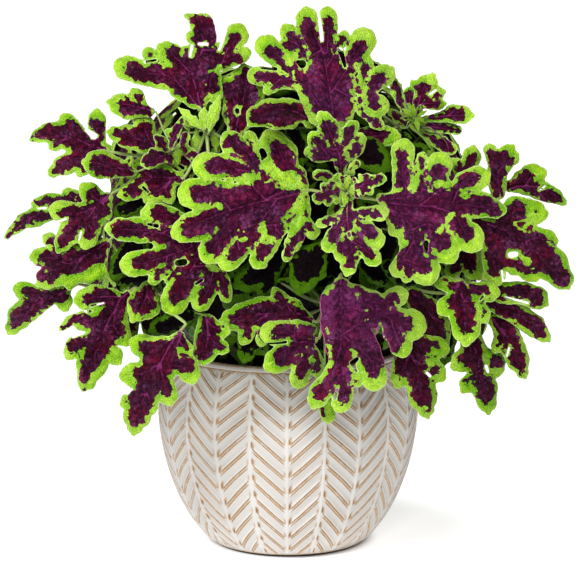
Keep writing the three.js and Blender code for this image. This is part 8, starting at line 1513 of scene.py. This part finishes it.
for leaf in LEAVES:
    if leaf["k"] == "leaf":
        bag = Bag()
        add_front(bag, leaf)
        ob = bag.build("blade_" + leaf["n"], PLANT)
        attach(ob, "root")
        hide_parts("leaf_" + leaf["n"])
        TRIS[ob.name] = len(ob.data.polygons)
for name in STEMS:
    bag = Bag()
    add_stem(bag, name)
    for leaf in LEAVES:
        if leaf["s"] == name and leaf["k"] != "leaf":
            add_front(bag, leaf)
    for fl in FAR:
        if fl["s"] == name:
            add_far(bag, fl)
    ob = bag.build("branch_" + name, PLANT)
    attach(ob, "root")
    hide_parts("shoot_" + name)
    TRIS[ob.name] = len(ob.data.polygons)

pot = make_pot()
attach(pot, "root")
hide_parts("pot")
TRIS["pot"] = len(pot.data.polygons)
soil = make_soil()
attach(soil, "root")
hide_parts("potting_soil")
TRIS["soil"] = len(soil.data.polygons)
print("triangles", sum(TRIS.values()), "largest", sorted(TRIS.items(), key=lambda k: -k[1])[:6])

# ---- floor, light, camera ----------------------------------------------------------------------
me = bpy.data.meshes.new("floor")
me.from_pydata([(-8, -8, 0), (8, -8, 0), (8, 8, 0), (-8, 8, 0)], [], [(0, 1, 2, 3)])
floor = bpy.data.objects.new("floor", me)
bpy.context.scene.collection.objects.link(floor)
me.materials.append(floor_material())
# a bright backdrop far behind, seen by the camera only so that it lights nothing
N = 48
ring = [(7.8 * math.cos(2 * math.pi * i / N), 7.8 * math.sin(2 * math.pi * i / N)) for i in range(N)]
me = bpy.data.meshes.new("backdrop")
me.from_pydata([(x, y, -0.5) for x, y in ring] + [(x, y, 9.0) for x, y in ring], [], [((i + 1) % N, i, N + i, N + (i + 1) % N) for i in range(N)])
drop = bpy.data.objects.new("backdrop", me)
bpy.context.scene.collection.objects.link(drop)
m = Nodes("backdrop")
m.bsdf.inputs["Base Color"].default_value = (0, 0, 0, 1)
m.bsdf.inputs["Specular IOR Level"].default_value = 0.0
m.bsdf.inputs["Emission Color"].default_value = (1.05, 1.05, 1.05, 1)
m.bsdf.inputs["Emission Strength"].default_value = 1.0
me.materials.append(m.mat)
drop.visible_diffuse = drop.visible_glossy = drop.visible_transmission = drop.visible_shadow = False

world = bpy.data.worlds.new("studio")
bpy.context.scene.world = world
world.use_nodes = True
bg = world.node_tree.nodes["Background"]
bg.inputs[0].default_value = (1.0, 1.0, 1.0, 1)
bg.inputs[1].default_value = 0.26


def area(name, loc, target, size, watts, color=(1, 1, 1)):
    li = bpy.data.lights.new(name, "AREA")
    li.shape = "DISK"
    li.size = size
    li.energy = watts
    li.color = color
    ob = bpy.data.objects.new(name, li)
    ob.location = loc
    ob.rotation_euler = (Vector(target) - Vector(loc)).to_track_quat("-Z", "Y").to_euler()
    bpy.context.scene.collection.objects.link(ob)
    return ob


area("key", (-2.1, -3.9, 4.6), (0, 0, 0.22), 2.0, 204)
area("front", (-0.4, -5.6, 2.4), (0, 0, 0.2), 2.4, 116)
area("side", (-5.2, -2.2, 1.2), (0, 0, 0.1), 2.6, 27)
area("fill", (4.2, -4.2, 1.6), (0, 0, 0.2), 3.0, 12)

cam_data = bpy.data.cameras.new("camera")
cam_data.sensor_width = 36
cam_data.sensor_height = 36
cam_data.sensor_fit = "HORIZONTAL"
cam_data.lens = SCALE * 36 / 576
cam_data.clip_start = 0.05
cam_data.clip_end = 50
cam_data.dof.use_dof = False
cam = bpy.data.objects.new("camera", cam_data)
bpy.context.scene.collection.objects.link(cam)
cam.location = Vector(EYE * MM)
cam.rotation_euler = (math.radians(90 - 10), 0, 0)
bpy.context.scene.camera = cam
bpy.context.scene.view_settings.view_transform = "Standard"
try:
    bpy.context.scene.view_settings.look = "Medium High Contrast"
except TypeError:
    bpy.context.scene.view_settings.look = "None"
print("look", bpy.context.scene.view_settings.look)
